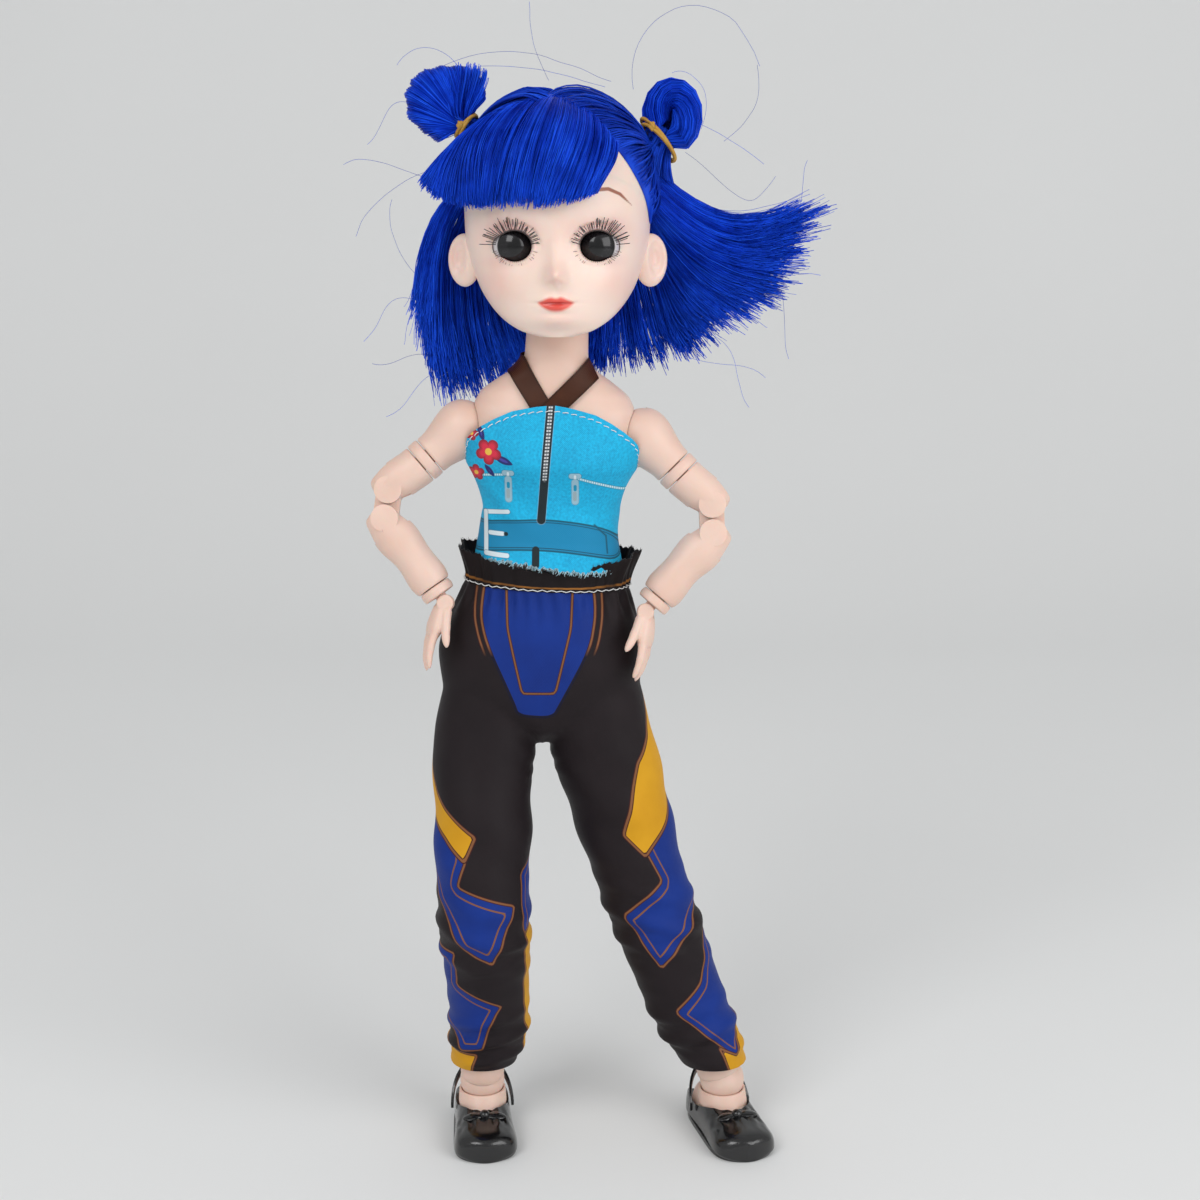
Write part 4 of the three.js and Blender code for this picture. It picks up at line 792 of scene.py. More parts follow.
def shoe(side):
    """An ankle ball, a foot, a slip-on shoe with its sole and bow, and the strap."""
    roll = f"ankle_roll_{side}"
    heel = placing(joint_place(roll), y=joint_axis(roll), z=np.array([0, 0, 1.0]))
    down = np.eye(4)
    down[2, 3] = -ANKLE
    matrix = heel @ down
    ankle = lofted(f"ankle_ball_{side}_round", ball_rings(6.4, (0, 0, ANKLE)), skin)
    keep(place(ankle, matrix), f"ankle_{side}", "body_plastic", f"ankle_ball_{side}")
    foot = lofted(f"bare_foot_{side}", foot_rings(0), skin)
    instep = Form([[SOLE + 3, 6, 9, 0, -1], [SOLE + 6.5, 6.9, 8.2, 0, -0.6],
                   [ANKLE - 2.6, 6.7, 6.7]])
    foot = combine(foot, [lofted("t", form_rings(instep, 56, 30), skin)], "UNION")
    foot = softened(combine(foot, [ball(6.7, (0, 0, ANKLE), 64, 48)]), 0.3, 50)
    keep(place(foot, matrix), f"foot_{side}", "body_plastic", f"foot_{side}")

    upper = lofted(f"slip_on_{side}", foot_rings(WALL + 0.3, 96, 90), black_vinyl)
    hollow = lofted("t", foot_rings(0.3, 72, 70), black_vinyl)
    mouth = lofted("t", form_rings(MOUTH, 72, 40), black_vinyl)
    ground = lofted("t", box_rings((60, 80, 10), (0, 0, -5)), black_vinyl)
    upper = combine(upper, [ground, hollow, mouth])
    crease_upper(upper)
    upper = softened(upper, 0.35, 45)
    knot = np.array((0, TOE + 10.5, SOLE + 7.3))
    extra = [sole_rings(), ball_rings((1.5, 1.5, 1.3), knot)]
    extra += [bow_rings(s, knot - (0, 0, 0.3)) for s in (-1, 1)]
    joined = fused([upper] + [lofted("t", rings, black_vinyl) for rings in extra],
                   f"slip_on_{side}")
    keep(place(joined, matrix), f"foot_{side}", "black_vinyl", f"shoe_{side}")
    strap(side, heel)


def crease_upper(obj):
    """Soft creases over the toes, where thin vinyl is drawn in under the bow."""
    for vertex in obj.data.vertices:
        x, y, z = vertex.co / MM
        near = math.exp(-((y - TOE - 10) / 4.5) ** 2) * min(1, max(0, (z - 3) / 3))
        vertex.co.z += MM * near * 0.28 * math.sin(2.1 * x + 0.6 * math.sin(1.3 * y))


def fused(parts, name):
    """Several solids as one object, each still closed in itself."""
    mesh = bmesh.new()
    for part in parts:
        mesh.from_mesh(part.data)
    materials = list(parts[0].data.materials)
    drop(parts)
    data = bpy.data.meshes.new(name)
    mesh.to_mesh(data)
    mesh.free()
    for material in materials:
        data.materials.append(material)
    obj = new_object(name, data)
    smooth(obj, 45)
    return obj


def strap(side, heel):
    """A thin strap from both sides of the shoe, up and round behind the ankle."""
    _, width, _ = foot_ring((1.5 - TOE) / (HEEL - TOE), WALL + 0.3)
    u = np.linspace(0, 1, 61)
    angle, rise = np.pi * u, np.sin(np.pi * u) ** 0.8
    rings = []
    for out, up in ((0.1, 0), (0.7, 0), (0.8, 0.3), (0.8, 1.7), (0.7, 2), (0.1, 2), (0, 1.7),
                    (0, 0.3)):
        x = (width + 0.3 + (7.9 - width - 0.3) * rise + out) * np.cos(angle)
        y = 1.5 + (8.2 + out) * np.sin(angle)
        rings.append(np.stack([x, y, 4.6 - ANKLE + 10 * rise + up], -1))
    obj = lofted(f"ankle_strap_{side}", np.stack(rings, 1), black_vinyl)
    keep(place(obj, heel), f"foot_{side}", "black_vinyl", f"shoe_strap_{side}")


def shin(side):
    axis = joint_axis(f"knee_lower_{side}")
    knee, foot = joint_place(f"knee_lower_{side}"), joint_place(f"ankle_pitch_{side}")
    stations = [[-53.3, 6.0, 6.0], [-53, 6.3, 6.3], [-43.5, 5.7, 5.9], [-21.5, 7.5, 7.9, 0, 0.8],
                [-10, 7.6, 7.2, 0, 0.5], [0, 6.8, 4.6]]
    socket = ball(6.7, (0, 0, -55.5), 64, 48)
    body = forked(f"shin_{side}", stations, 6.8, 4.6, 0, False, 1.7, extra=[socket])
    matrix = placing(knee, axis, z=knee - foot)
    keep(place(body, matrix), f"calf_{side}", "body_plastic", f"calf_{side}")


for side, _ in SIDES:
    shin(side)
    shoe(side)
print("feet and shoes placed")

# %% Carried-over pieces of the frame
pairs = [f"{name}_{side}" for name in ("shoulder_ball", "hip_ball", "thigh_lower", "knee_link")
         for side, _ in SIDES]
for name in ["waist_ball", "neck_knob"] + pairs:
    for slot in frame["nodes"][name].material_slots:
        slot.material = skin

# %% [markdown]
# ## Trousers
# The cloth starts as a hip form and two leg forms that are fused by a fine voxel remesh and then
# smoothed. Folds are moved in along the surface where the photograph shows them. The print is
# stored as distances from panel outlines, in millimetres on the unrolled leg, and drawn by the
# material. Cuts across the joints give short bands.

# %% Trouser shape
LEAN = math.radians(2.6)
PELVIS = placing(HIPS, np.array([math.cos(LEAN), 0, -math.sin(LEAN)]),
                 z=np.array([math.sin(LEAN), 0, math.cos(LEAN)]))
FIGURE = np.eye(4)
FIGURE[:3, 3] = OFFSET
BAND, HEM = 33.5, 20.8
hips = Form([[-12, 7, 7, 0, 0], [-7, 17, 12, -0.4, 0], [2, 27, 15.4, -0.8, 0, 2.2],
             [13, 28.4, 16.6, -0.9, 0, 2.2],
             [24, 25.6, 15.8, -0.4, 0, 2.2], [BAND, 22, 14.8, 0, 0, 2.2],
             [BAND + 9, 24.2, 16.6, 0, 0, 2.2]])
legs = {
    "left": Form([[HEM, 9.4, 9.6, 49, 0], [29.8, 11.2, 10.6, 44.4, 0.6], [40, 12, 11.6, 40.2, 1],
                  [70, 12.8, 12.2, 29.6, 0.4], [90, 13.8, 13, 23.4, 0.4],
                  [110, 14.9, 14, 18.2, 0.2],
                  [122, 14.4, 13.6, 15.4, 0], [136, 13, 12.4, 13.6, 0]]),
    "right": Form([[HEM, 9.4, 9.8, -17.6, 0.4], [29.8, 10.8, 11, -16.2, -1.6],
                   [40, 11.4, 12.4, -15.8, -4.6],
                   [54, 12, 13.6, -16, -8.8], [70, 12.6, 14.8, -16.4, -12.4],
                   [90, 13.3, 14.8, -16.6, -9.8],
                   [110, 14, 14.2, -16.6, -4.2], [122, 14.2, 13.6, -15.6, -1.6],
                   [136, 13, 12.4, -13.6, -0.4]])}


def closed_form(name, form, matrix, low, high):
    return place(lofted(name, form_rings(form, 96, 150, low=low, high=high), skin), matrix)


def fuse_trousers():
    """Hips and legs as one surface."""
    parts = [closed_form("trousers_shape", hips, PELVIS, hips.rows[0, 0], BAND + 1.5)]
    parts += [closed_form("t", form, FIGURE, HEM - 1.5, 136) for form in legs.values()]
    return melt(fused(parts, "trousers_shape"), 0.8, 12)


def plane_cut(obj, place_mm, normal):
    """Cuts the mesh with a plane and drops the side that the normal points to."""
    edited(obj.data, lambda work: bmesh.ops.bisect_plane(
        work, geom=work.verts[:] + work.edges[:] + work.faces[:], dist=1e-7,
        plane_co=Vector(place_mm) * MM, plane_no=Vector(normal), clear_outer=True))


def vertices_of(obj):
    points = np.empty(len(obj.data.vertices) * 3)
    obj.data.vertices.foreach_get("co", points)
    return points.reshape(-1, 3) / MM


def normals_of(obj):
    normals = np.empty(len(obj.data.vertices) * 3)
    obj.data.vertex_normals.foreach_get("vector", normals)
    return normals.reshape(-1, 3)


def move_vertices(obj, points):
    obj.data.vertices.foreach_set("co", (points * MM).ravel())
    obj.data.update()


def soft_noise(points, size, seed, waves=14):
    """A smooth pseudo-random height, from a few waves in fixed random directions."""
    random = np.random.default_rng(seed)
    total = np.zeros(len(points))
    for _ in range(waves):
        way = random.normal(size=3)
        way /= np.linalg.norm(way)
        stretch, shift = random.uniform(0.6, 1.5), random.uniform(0, 7)
        total += np.sin(points @ way * (2 * np.pi / size) * stretch + shift)
    return total / waves


def unrolled(points):
    """The nearer leg, 1 for left and -1 for right, and degrees from its front to the left."""
    middle = {side: form.sizes(points[:, 2])[:, 2:4] for side, form in legs.items()}
    far = {side: np.linalg.norm(points[:, :2] - middle[side], axis=1) for side in legs}
    side = np.where(far["left"] < far["right"], 1, -1)
    rel = points[:, :2] - np.where(side[:, None] > 0, middle["left"], middle["right"])
    return side, np.degrees(np.arctan2(rel[:, 0], -rel[:, 1]))


def fold_height(points, angle):
    """How far the cloth stands out in its folds, in millimetres."""
    z, turn = points[:, 2], np.radians(angle)
    wander = 1.6 * soft_noise(points, 22, 5)

    def bunch(middle, reach, pitch, deep, slant, sharp=1.6):
        """Slanted folds round the leg that fade with their distance from a middle height."""
        wave = 0.5 + 0.5 * np.cos(2 * np.pi * (z - middle + wander) / pitch + slant * np.sin(turn))
        return deep * np.exp(-((z - middle) / reach) ** 2) * wave ** sharp

    knee = bunch(66, 11, 9.0, 1.05, 2.2) + bunch(62, 9, 5.6, 0.28, -3.1)
    hem = bunch(31, 9, 7.6, 1.15, -2.0) + bunch(27, 6, 4.2, 0.25, 3.0)
    thigh = np.cos(2 * np.pi * z / 21 + 2.6 * np.sin(turn) + 1.1)
    thigh = 0.5 * np.exp(-((z - 96) / 16) ** 2) * thigh
    crotch = np.exp(-(points[:, 0] / 11) ** 2 - ((z - 117) / 9) ** 2)
    star = crotch * 0.3 * np.cos(9 * np.arctan2(np.abs(points[:, 0]) + 2, z - 108))
    down = PELVIS[:3, 2] @ (points + OFFSET - PELVIS[:3, 3]).T - BAND
    around = np.arctan2(points[:, 1], points[:, 0])
    gather = np.exp(-(down / 7) ** 2) * (1 - np.exp(-(down / 2) ** 2))
    gather = gather * np.cos(26 * around + 1.6 * np.sin(3 * around))
    return knee + hem + thigh + star + 0.85 * gather + 0.35 * soft_noise(points, 14, 9)


trouser = fuse_trousers()
plane_cut(trouser, OFFSET + (0, 0, HEM), (0, 0, -1))
top = PELVIS[:3, 3] + PELVIS[:3, 2] * BAND
plane_cut(trouser, top, PELVIS[:3, 2])
points = vertices_of(trouser) - OFFSET
_, angle = unrolled(points)
folds = normals_of(trouser) * fold_height(points, angle)[:, None]
move_vertices(trouser, points + OFFSET + folds)
smooth(trouser, 180)
print("trouser cloth", len(trouser.data.polygons), "faces")

# %% Trouser print
def smooth_outline(corners, rounds=1, cut=0.05):
    """The outline with its corners cut a little, so that they print slightly round."""
    points = np.array(corners, float)
    for _ in range(rounds):
        step = (np.roll(points, -1, axis=0) - points) * cut
        points = np.stack([points + step, np.roll(points, -1, axis=0) - step], 1).reshape(-1, 2)
    return points


def signed_distance(places, corners):
    """Millimetres from a closed outline to each place, positive inside it."""
    best = np.full(len(places), 1e9)
    inside = np.zeros(len(places), bool)
    for a, b in zip(corners, np.roll(corners, -1, axis=0)):
        way = b - a
        t = np.clip(((places - a) @ way) / (way @ way + 1e-12), 0, 1)
        best = np.minimum(best, np.linalg.norm(places - a - t[:, None] * way, axis=1))
        crosses = (a[1] > places[:, 1]) != (b[1] > places[:, 1])
        slope = np.where(crosses,
                         (b[0] - a[0]) * (places[:, 1] - a[1]) / (b[1] - a[1] + 1e-12) + a[0], 0)
        inside ^= crosses & (places[:, 0] < slope)
    return np.where(inside, best, -best)


def store(obj, name, values):
    """Keeps a number or a vector for each point of the mesh."""
    values = np.asarray(values, np.float32)
    kind, key = ("FLOAT_VECTOR", "vector") if values.ndim == 2 else ("FLOAT", "value")
    obj.data.attributes.new(name, kind, "POINT").data.foreach_set(key, values.ravel())


DEGREE_MM = 0.225
FAR = 9.0
leg_panels = {
    ("left", "mustard"): [[(150, 148), (84, 128), (66, 119.5), (38, 113), (14, 99.5), (-1, 92.5),
                           (19, 86), (60, 94.4), (90, 101),
                           (150, 116)],
                          [(150, 38), (82, 32.1), (50, 24.6), (26, 27.8), (24, 18), (150, 18)]],
    ("left", "blue"): [[(31, 78.5), (-35, 68.4), (-11, 52.6), (39, 61.8), (66, 67), (110, 72),
                        (150, 84), (150, 124),
                        (90, 112), (70, 104), (60, 100), (19, 90)],
                       [(75, 60), (38, 47.9), (-15, 39.4), (22, 30.1), (49, 23.4), (90, 31),
                        (150, 42), (150, 66)]],
    ("right", "mustard"): [[(-150, 136), (-82, 112), (-60, 105), (-43, 101.6), (-5, 95.4),
                            (-17, 88.7), (-45, 93.8), (-80, 98), (-150, 110)],
                           [(-150, 33), (-47, 26.8), (-13, 26.8), (-20, 18), (-150, 18)],
                           [(62, 66), (100, 68), (150, 66), (150, 24), (76, 24), (60, 42)]],
    ("right", "blue"): [[(-17, 92), (-16, 88.5), (-25, 81.9), (40, 75.9), (27, 68.4), (11, 59.1),
                         (-22, 64.4), (-38, 70.8),
                         (-70, 80), (-150, 92), (-150, 118), (-80, 106), (-45, 99)],
                        [(-35, 61.9), (-38, 51), (20, 44.2), (13, 41.6), (4, 37.4), (-5, 29.1),
                         (-36, 27.9), (-60, 34),
                         (-150, 36), (-150, 64), (-70, 62)],
                        [(54, 84), (150, 92), (150, 67), (100, 66), (68, 64), (54, 70)]]}
front_panel = [(-14.5, 168), (-16.4, 155.2), (-14.8, 148.0), (-7.6, 131.3), (-6.4, 127.2),
               (3.3, 126.6), (5.6, 131.2),
               (13.4, 146.1), (15.0, 155.9), (13.6, 168)]
front_inner = [(-9.3, 170), (-8.9, 151.9), (-5.1, 133.9), (3.9, 133.9), (8.2, 151.9), (9.0, 170)]
front_sides = [(-16.3, 170), (-18.2, 155.2), (-16.4, 147.4), (-8.4, 128.6), (-5.6, 122), (3.6, 122),
               (6.8, 129),
               (15.3, 145.4), (16.9, 155.9), (15.5, 170)]


def leg_distance(kind, flat, side):
    """How deep each point lies inside the panels of one colour, on the unrolled leg."""
    best = np.full(len(flat), -FAR)
    for (name, colour), outlines in leg_panels.items():
        if colour != kind:
            continue
        mine = side == dict(SIDES)[name]
        for corners in outlines:
            corners = smooth_outline(np.array(corners, float) * (DEGREE_MM, 1))
            best[mine] = np.maximum(best[mine], signed_distance(flat[mine], corners))
    return np.clip(best, -FAR, FAR)


def front_distance(points, corners, cut=0.2):
    best = signed_distance(points[:, [0, 2]], smooth_outline(corners, 2, cut))
    return np.where(points[:, 1] < 0, np.clip(best, -FAR, FAR), -FAR)


points = vertices_of(trouser) - OFFSET
side, angle = unrolled(points)
flat = np.column_stack([angle * DEGREE_MM, points[:, 2]])
store(trouser, "blue_mm", leg_distance("blue", flat, side))
store(trouser, "mustard_mm", leg_distance("mustard", flat, side))
store(trouser, "front_mm", front_distance(points, front_panel))
store(trouser, "inner_mm", front_distance(points, front_inner, 0.05))
store(trouser, "sides_mm", front_distance(points, front_sides))
store(trouser, "flat_mm", np.column_stack([flat, 0 * angle]))


def woven_look(add, flat, threads, depth):
    """The outputs of the woven group over flat coordinates in millimetres."""
    return add("ShaderNodeGroup", {"Flat": flat, "Threads per mm": threads, "Depth": depth},
               node_tree=WOVEN).outputs


def printed_jersey():
    """Near-black satin jersey with blue and mustard panels, each with tan outlines."""
    material, add, shader = new_material("printed_jersey", Specular_IOR_Level=0.12)
    cloud = noise(add, 90.0, 3.0)
    black = blend_colour(add, cloud, rgb(22, 17, 19), rgb(34, 27, 29))
    blue = blend_colour(add, cloud, rgb(8, 38, 112), rgb(14, 54, 144))
    gold = blend_colour(add, cloud, rgb(196, 138, 14), rgb(222, 166, 34))
    tan, brown, navy, no_inner = rgb(132, 86, 54), rgb(58, 22, 22), rgb(16, 18, 40), 60.0
    flat = attribute(add, "flat_mm", "Vector")
    height = add("ShaderNodeSeparateXYZ", {0: flat}).outputs["Y"]
    high = ramp(add, height, 0.3, -43.2)
    edge = blend_colour(add, high, black, brown)
    colour = black
    for fill, name, inner, width, line, edge in (
            (black, "sides_mm", no_inner, 0.24, blend_colour(add, high, black, tan), edge),
            (blue, "front_mm", no_inner, 0.26, blend_colour(add, high, navy, tan), edge),
            (None, "inner_mm", no_inner, 0.22, tan, brown),
            (blue, "blue_mm", 2.3, 0.24, tan, brown),
            (gold, "mustard_mm", no_inner, 0.3, tan, brown)):
        colour = add("ShaderNodeGroup", {
            "Under": colour, "Fill": colour if fill is None else fill, "Line": line, "Edge": edge,
            "Distance": attribute(add, name), "Inner": inner, "Width": width},
            node_tree=PANEL).outputs["Colour"]
    weave = woven_look(add, flat, 2.6, 0.18)
    # Painted sheen: a pale colour on the thread tops stands in for their highlight.
    painted_thread_sheen = times(add, weave["Mask"], 0.035)
    wire(shader, Base_Color=blend_colour(add, painted_thread_sheen, colour, rgb(150, 140, 150)),
         Roughness=affine(add, cloud, 0.2, 0.42), Normal=weave["Normal"])
    return material


repaint(trouser, printed_jersey())
print("print stored")

# %% Trouser bands
LEAST_SIZE = 0.011


def whole_normals(obj):
    """The normals of the uncut cloth, to be looked up by place."""
    points = vertices_of(obj)
    tree = KDTree(len(points))
    for i, p in enumerate(points):
        tree.insert(p, i)
    tree.balance()
    return tree, normals_of(obj)


def band(name, cuts, lookup):
    """A copy of the cloth between planes given as (place, normal that points out of the band)."""
    obj = new_object(name, trouser.data.copy())
    for where, normal in cuts:
        plane_cut(obj, where, normal)
    tree, normals = lookup
    picked = np.array([normals[tree.find(p)[1]] for p in vertices_of(obj)])
    obj.data.normals_split_custom_set_from_vertices(picked.tolist())
    return obj


def declare(obj):
    """Measures a band's height in metres, at least the least size; the measure is not used further.
    """
    long = max(LEAST_SIZE, float(np.ptp(vertices_of(obj)[:, 2])) * MM)


def groin_planes(s):
    """Parallel cuts from the crotch up to the outer hip, and their common direction."""
    way = np.array([s * 0.591, 0, -0.806])
    crotch = OFFSET + (0, 0, 116.0)
    return way, [crotch + way * d for d in (0, 7, 14, 28)]


def dress_legs():
    """Each leg as five bands cut across it, and the seat above them."""
    lookup = whole_normals(trouser)
    seat_cuts = []
    for side, s in SIDES:
        way, cuts = groin_planes(s)
        seat_cuts.append((cuts[0], way))
        upper, lower = joint_place(f"knee_upper_{side}"), joint_place(f"knee_lower_{side}")
        knee = (upper + lower) / 2
        down = unit(lower - upper) if side == "left" else np.array([0, 0, -1.0])
        # Each step: name, upper body, lower body, where the bend starts and ends, and the
        # plane that parts it from the step before.
        steps = (
            ("groin", "pelvis", f"hip_{side}", cuts[0], cuts[1], cuts[0], way),
            ("hip_cloth", f"hip_{side}", f"thigh_top_{side}", cuts[1], cuts[2], cuts[1], way),
            ("thigh_cloth", f"thigh_top_{side}", f"thigh_{side}", cuts[2], cuts[3], cuts[2], way),
            ("knee_cloth", f"thigh_{side}", f"knee_{side}", knee - down * 11, knee,
             knee - down * 16, down),
            ("shin_cloth", f"knee_{side}", f"calf_{side}", knee, knee + down * 11, knee, down))
        for i, (name, first, second, start, end, cut, normal) in enumerate(steps):
            planes = [(OFFSET, (-s, 0, 0)),
                      (cut, -normal)] + [step[5:] for step in steps[i + 1:i + 2]]
            obj = band(f"{name}_{side}", planes, lookup)
            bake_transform(obj)
            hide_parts("trousers")
            declare(obj)
    seat = band("seat_cloth", seat_cuts, lookup)
    keep(seat, "pelvis", "black_satin", "trousers")
    declare(seat)


dress_legs()
bpy.data.objects.remove(trouser)

# %% Body under the cloth
def drawn_in(node, name, body, origin, axis, share):
    """A hidden piece once more, drawn in towards its own axis to clear the cloth in a pose."""
    work = bmesh.new()
    work.from_mesh(frame["nodes"][node].data)
    bmesh.ops.remove_doubles(work, verts=work.verts, dist=1e-6)
    mesh = bpy.data.meshes.new(name)
    work.to_mesh(mesh)
    work.free()
    obj = new_object(name, mesh)
    repaint(obj, skin)
    rel = vertices_of(obj) - origin
    along = (rel @ axis)[:, None]
    across = rel - along * axis
    drawn = np.where(along < 0, along * share, along) * axis + across * share
    move_vertices(obj, origin + drawn)
    keep(obj, body, "body_plastic", node)


drawn_in("lower_torso", "hips_under_cloth", "pelvis", HIPS, PELVIS[:3, 2], 0.88)
for side, _ in SIDES:
    hip, knee = joint_place(f"hip_swing_{side}"), joint_place(f"knee_upper_{side}")
    drawn_in(f"thigh_upper_{side}", f"thigh_cap_{side}", f"thigh_top_{side}", hip,
             unit(knee - hip), 0.7)
print("trousers dressed")

# %% [markdown]
# ## Threads and frayed edges
# Two Geometry Nodes groups serve all sewing. One turns a line into a zigzag thread. The other
# plants short, bent fibres along a line, for hems that were cut and never bound.

# %% Thread and fibre groups
def geometry_group(name, inputs):
    tree = bpy.data.node_groups.new(name, "GeometryNodeTree")
    tree.interface.new_socket("Geometry", in_out="INPUT", socket_type="NodeSocketGeometry")
    for label, kind, value in inputs:
        socket = tree.interface.new_socket(label, in_out="INPUT", socket_type="NodeSocket" + kind)
        if value is not None:
            socket.default_value = value
    tree.interface.new_socket("Geometry", in_out="OUTPUT", socket_type="NodeSocketGeometry")
    source, out = (tree.nodes.new(kind) for kind in ("NodeGroupInput", "NodeGroupOutput"))
    return tree, nodes_of(tree), source.outputs, out.inputs


def run_nodes(obj, tree, **values):
    """Runs a node group on the object with inputs set by name, and keeps the result as mesh."""
    modifier = obj.modifiers.new("nodes", "NODES")
    modifier.node_group = tree
    for item in tree.interface.items_tree:
        key = item.name.replace(" ", "_")
        if item.in_out == "INPUT" and key in values:
            modifier[item.identifier] = values[key]
    return baked(obj)


def as_curve(add, source, spacing):
    """The object's edges as splines, resampled at an even spacing."""
    curve = add("GeometryNodeMeshToCurve", {0: source["Geometry"]}).outputs[0]
    return add("GeometryNodeResampleCurve", {"Curve": curve, "Length": spacing},
               mode="LENGTH").outputs[0]


def named_value(add, name, kind="FLOAT_VECTOR"):
    return add("GeometryNodeInputNamedAttribute", {"Name": name}, data_type=kind).outputs[0]


def vector_maths(add, operation, first, second, output=0):
    key = "Scale" if operation == "SCALE" else 1
    node = add("ShaderNodeVectorMath", {0: first, key: second}, operation=operation)
    return node.outputs[output]


def any_between(add, low, high, seed):
    """A random number or vector for each element."""
    if isinstance(low, tuple):
        return add("FunctionNodeRandomValue", {0: low, 1: high, "Seed": seed},
                   data_type="FLOAT_VECTOR").outputs[0]
    return add("FunctionNodeRandomValue", {2: low, 3: high, "Seed": seed}).outputs[1]


def shifted(add, geometry, offset):
    return add("GeometryNodeSetPosition", {"Geometry": geometry, "Offset": offset}).outputs[0]


def planted(add, curve, body, aim, tilt, size):
    """A copy of a short curve at each point of a line, aimed, tilted a little and sized."""
    points = add("GeometryNodeCurveToPoints", {"Curve": curve}, mode="EVALUATED").outputs[0]
    turn = add("FunctionNodeEulerToRotation", {0: tilt}).outputs[0]
    turned_ = add("FunctionNodeRotateRotation", {"Rotation": aim, "Rotate By": turn},
                  rotation_space="LOCAL").outputs[0]
    copies = add("GeometryNodeInstanceOnPoints", {
        "Points": points, "Instance": body, "Rotation": turned_, "Scale": size}).outputs[0]
    return add("GeometryNodeRealizeInstances", {0: copies}).outputs[0]


def short_curve(add, start, end, far, resolution):
    """A bent fibre of length about one, that stands up from the origin."""
    return add("GeometryNodeCurvePrimitiveBezierSegment", {
        "Start": (0, 0, 0), "Start Handle": start, "End Handle": end, "End": far,
        "Resolution": resolution}).outputs[0]


def as_tube(add, curve, radius, material, out, sides=5):
    circle = add("GeometryNodeCurvePrimitiveCircle", {"Resolution": sides, "Radius": radius})
    tube = add("GeometryNodeCurveToMesh", {
        "Curve": curve, "Profile Curve": circle.outputs[0], "Fill Caps": True}).outputs[0]
    real = add("GeometryNodeRealizeInstances", {0: tube}).outputs[0]
    painted = add("GeometryNodeSetMaterial", {"Geometry": real, "Material": material})
    wire(out, Geometry=painted.outputs[0])


def thread_group():
    """A thread that steps from side to side of its line, lying on the cloth between its holes."""
    tree, add, source, out = geometry_group("zigzag_thread", [
        ("Spacing", "Float", 0.0012), ("Swing", "Float", 0.0004), ("Radius", "Float", 0.00014),
        ("Lift", "Float", 0.0002), ("Dashes", "Float", 0.0), ("Seed", "Int", 1),
        ("Material", "Material", None)])
    curve = as_curve(add, source, source["Spacing"])
    index = add("GeometryNodeInputIndex").outputs[0]
    step = affine(add, maths(add, "MODULO", index, 2.0), 2.0, -1.0)
    sideways = times(add, times(add, step, source["Swing"]),
                     any_between(add, 0.6, 1.3, source["Seed"]))
    shift = vector_maths(add, "SCALE", named_value(add, "across"), sideways)
    dense = add("GeometryNodeSubdivideCurve", {"Curve": shifted(add, curve, shift), "Cuts": 2})
    wave = maths(add, "SINE", times(add, index, math.pi / 3))
    under = times(add, maths(add, "MINIMUM", wave, 0.0), source["Dashes"])
    wave = affine(add, under, 3.2, maths(add, "ABSOLUTE", wave))
    lift = vector_maths(add, "SCALE", named_value(add, "outward"), times(add, wave, source["Lift"]))
    as_tube(add, shifted(add, dense.outputs[0], lift), source["Radius"], source["Material"], out)
    return tree


def fibre_group():
    """Short fibres that stand off a line, each bent and turned its own way."""
    tree, add, source, out = geometry_group("frayed_edge", [
        ("Spacing", "Float", 0.0003), ("Length", "Float", 0.0012), ("Radius", "Float", 0.00006),
        ("Spread", "Float", 0.7), ("Seed", "Int", 1), ("Material", "Material", None)])
    curve = as_curve(add, source, source["Spacing"])
    fibre = short_curve(add, (0, 0.1, 0.4), (0.3, 0.2, 0.7), (0.1, 0.5, 1.0), 4)
    aim = add("FunctionNodeAlignRotationToVector", {"Vector": named_value(add, "across")}, axis="Z")
    tilt = any_between(add, (-1, -1, -3), (1, 1, 3), source["Seed"])
    tilt = vector_maths(add, "SCALE", tilt, source["Spread"])
    size = times(add, any_between(add, 0.3, 1.0, source["Seed"]), source["Length"])
    fibres = planted(add, curve, fibre, aim.outputs[0], tilt, size)
    as_tube(add, fibres, source["Radius"], source["Material"], out, sides=3)
    return tree


THREAD, FIBRE = thread_group(), fibre_group()


def guide_line(name, points, across, outward, closed=False):
    """A row of edges in millimetres, with a sideways and an outward direction at each point."""
    mesh = bpy.data.meshes.new(name)
    count = len(points)
    edges = [(i, (i + 1) % count) for i in range(count if closed else count - 1)]
    mesh.from_pydata((np.asarray(points) * MM).tolist(), edges, [])
    obj = new_object(name, mesh)
    store(obj, "across", np.broadcast_to(across, (count, 3)))
    store(obj, "outward", np.broadcast_to(outward, (count, 3)))
    return obj


def thread_material(name, light, dark):
    material, add, shader = new_material(name, Roughness=0.6, Sheen_Weight=0.3)
    place = add("ShaderNodeTexCoord").outputs["Object"]
    twist = add("ShaderNodeTexWave", {"Vector": place, "Scale": 2600.0, "Distortion": 1.5},
                bands_direction="DIAGONAL")
    wire(shader, Base_Color=blend_colour(add, twist.outputs["Fac"], dark, light))
    return material


white_thread = thread_material("white_thread", rgb(240, 240, 238), rgb(205, 208, 212))
pale_fibre = thread_material("pale_fibre", rgb(226, 240, 244), rgb(120, 200, 222))
black_fibre = thread_material("black_fibre", rgb(30, 26, 28), rgb(12, 10, 11))
print("sewing groups ready")

# %% [markdown]
# ## Halter top, waistband and ribbon
# The top is one sheet on the chest's form, from a ragged hem to a raised front edge. Zip, pocket
# zips, belt, buckle and small blossoms are printed on it, as on the real cloth: a group draws each
# bar in the material, from its distance on the sheet's flat coordinates.

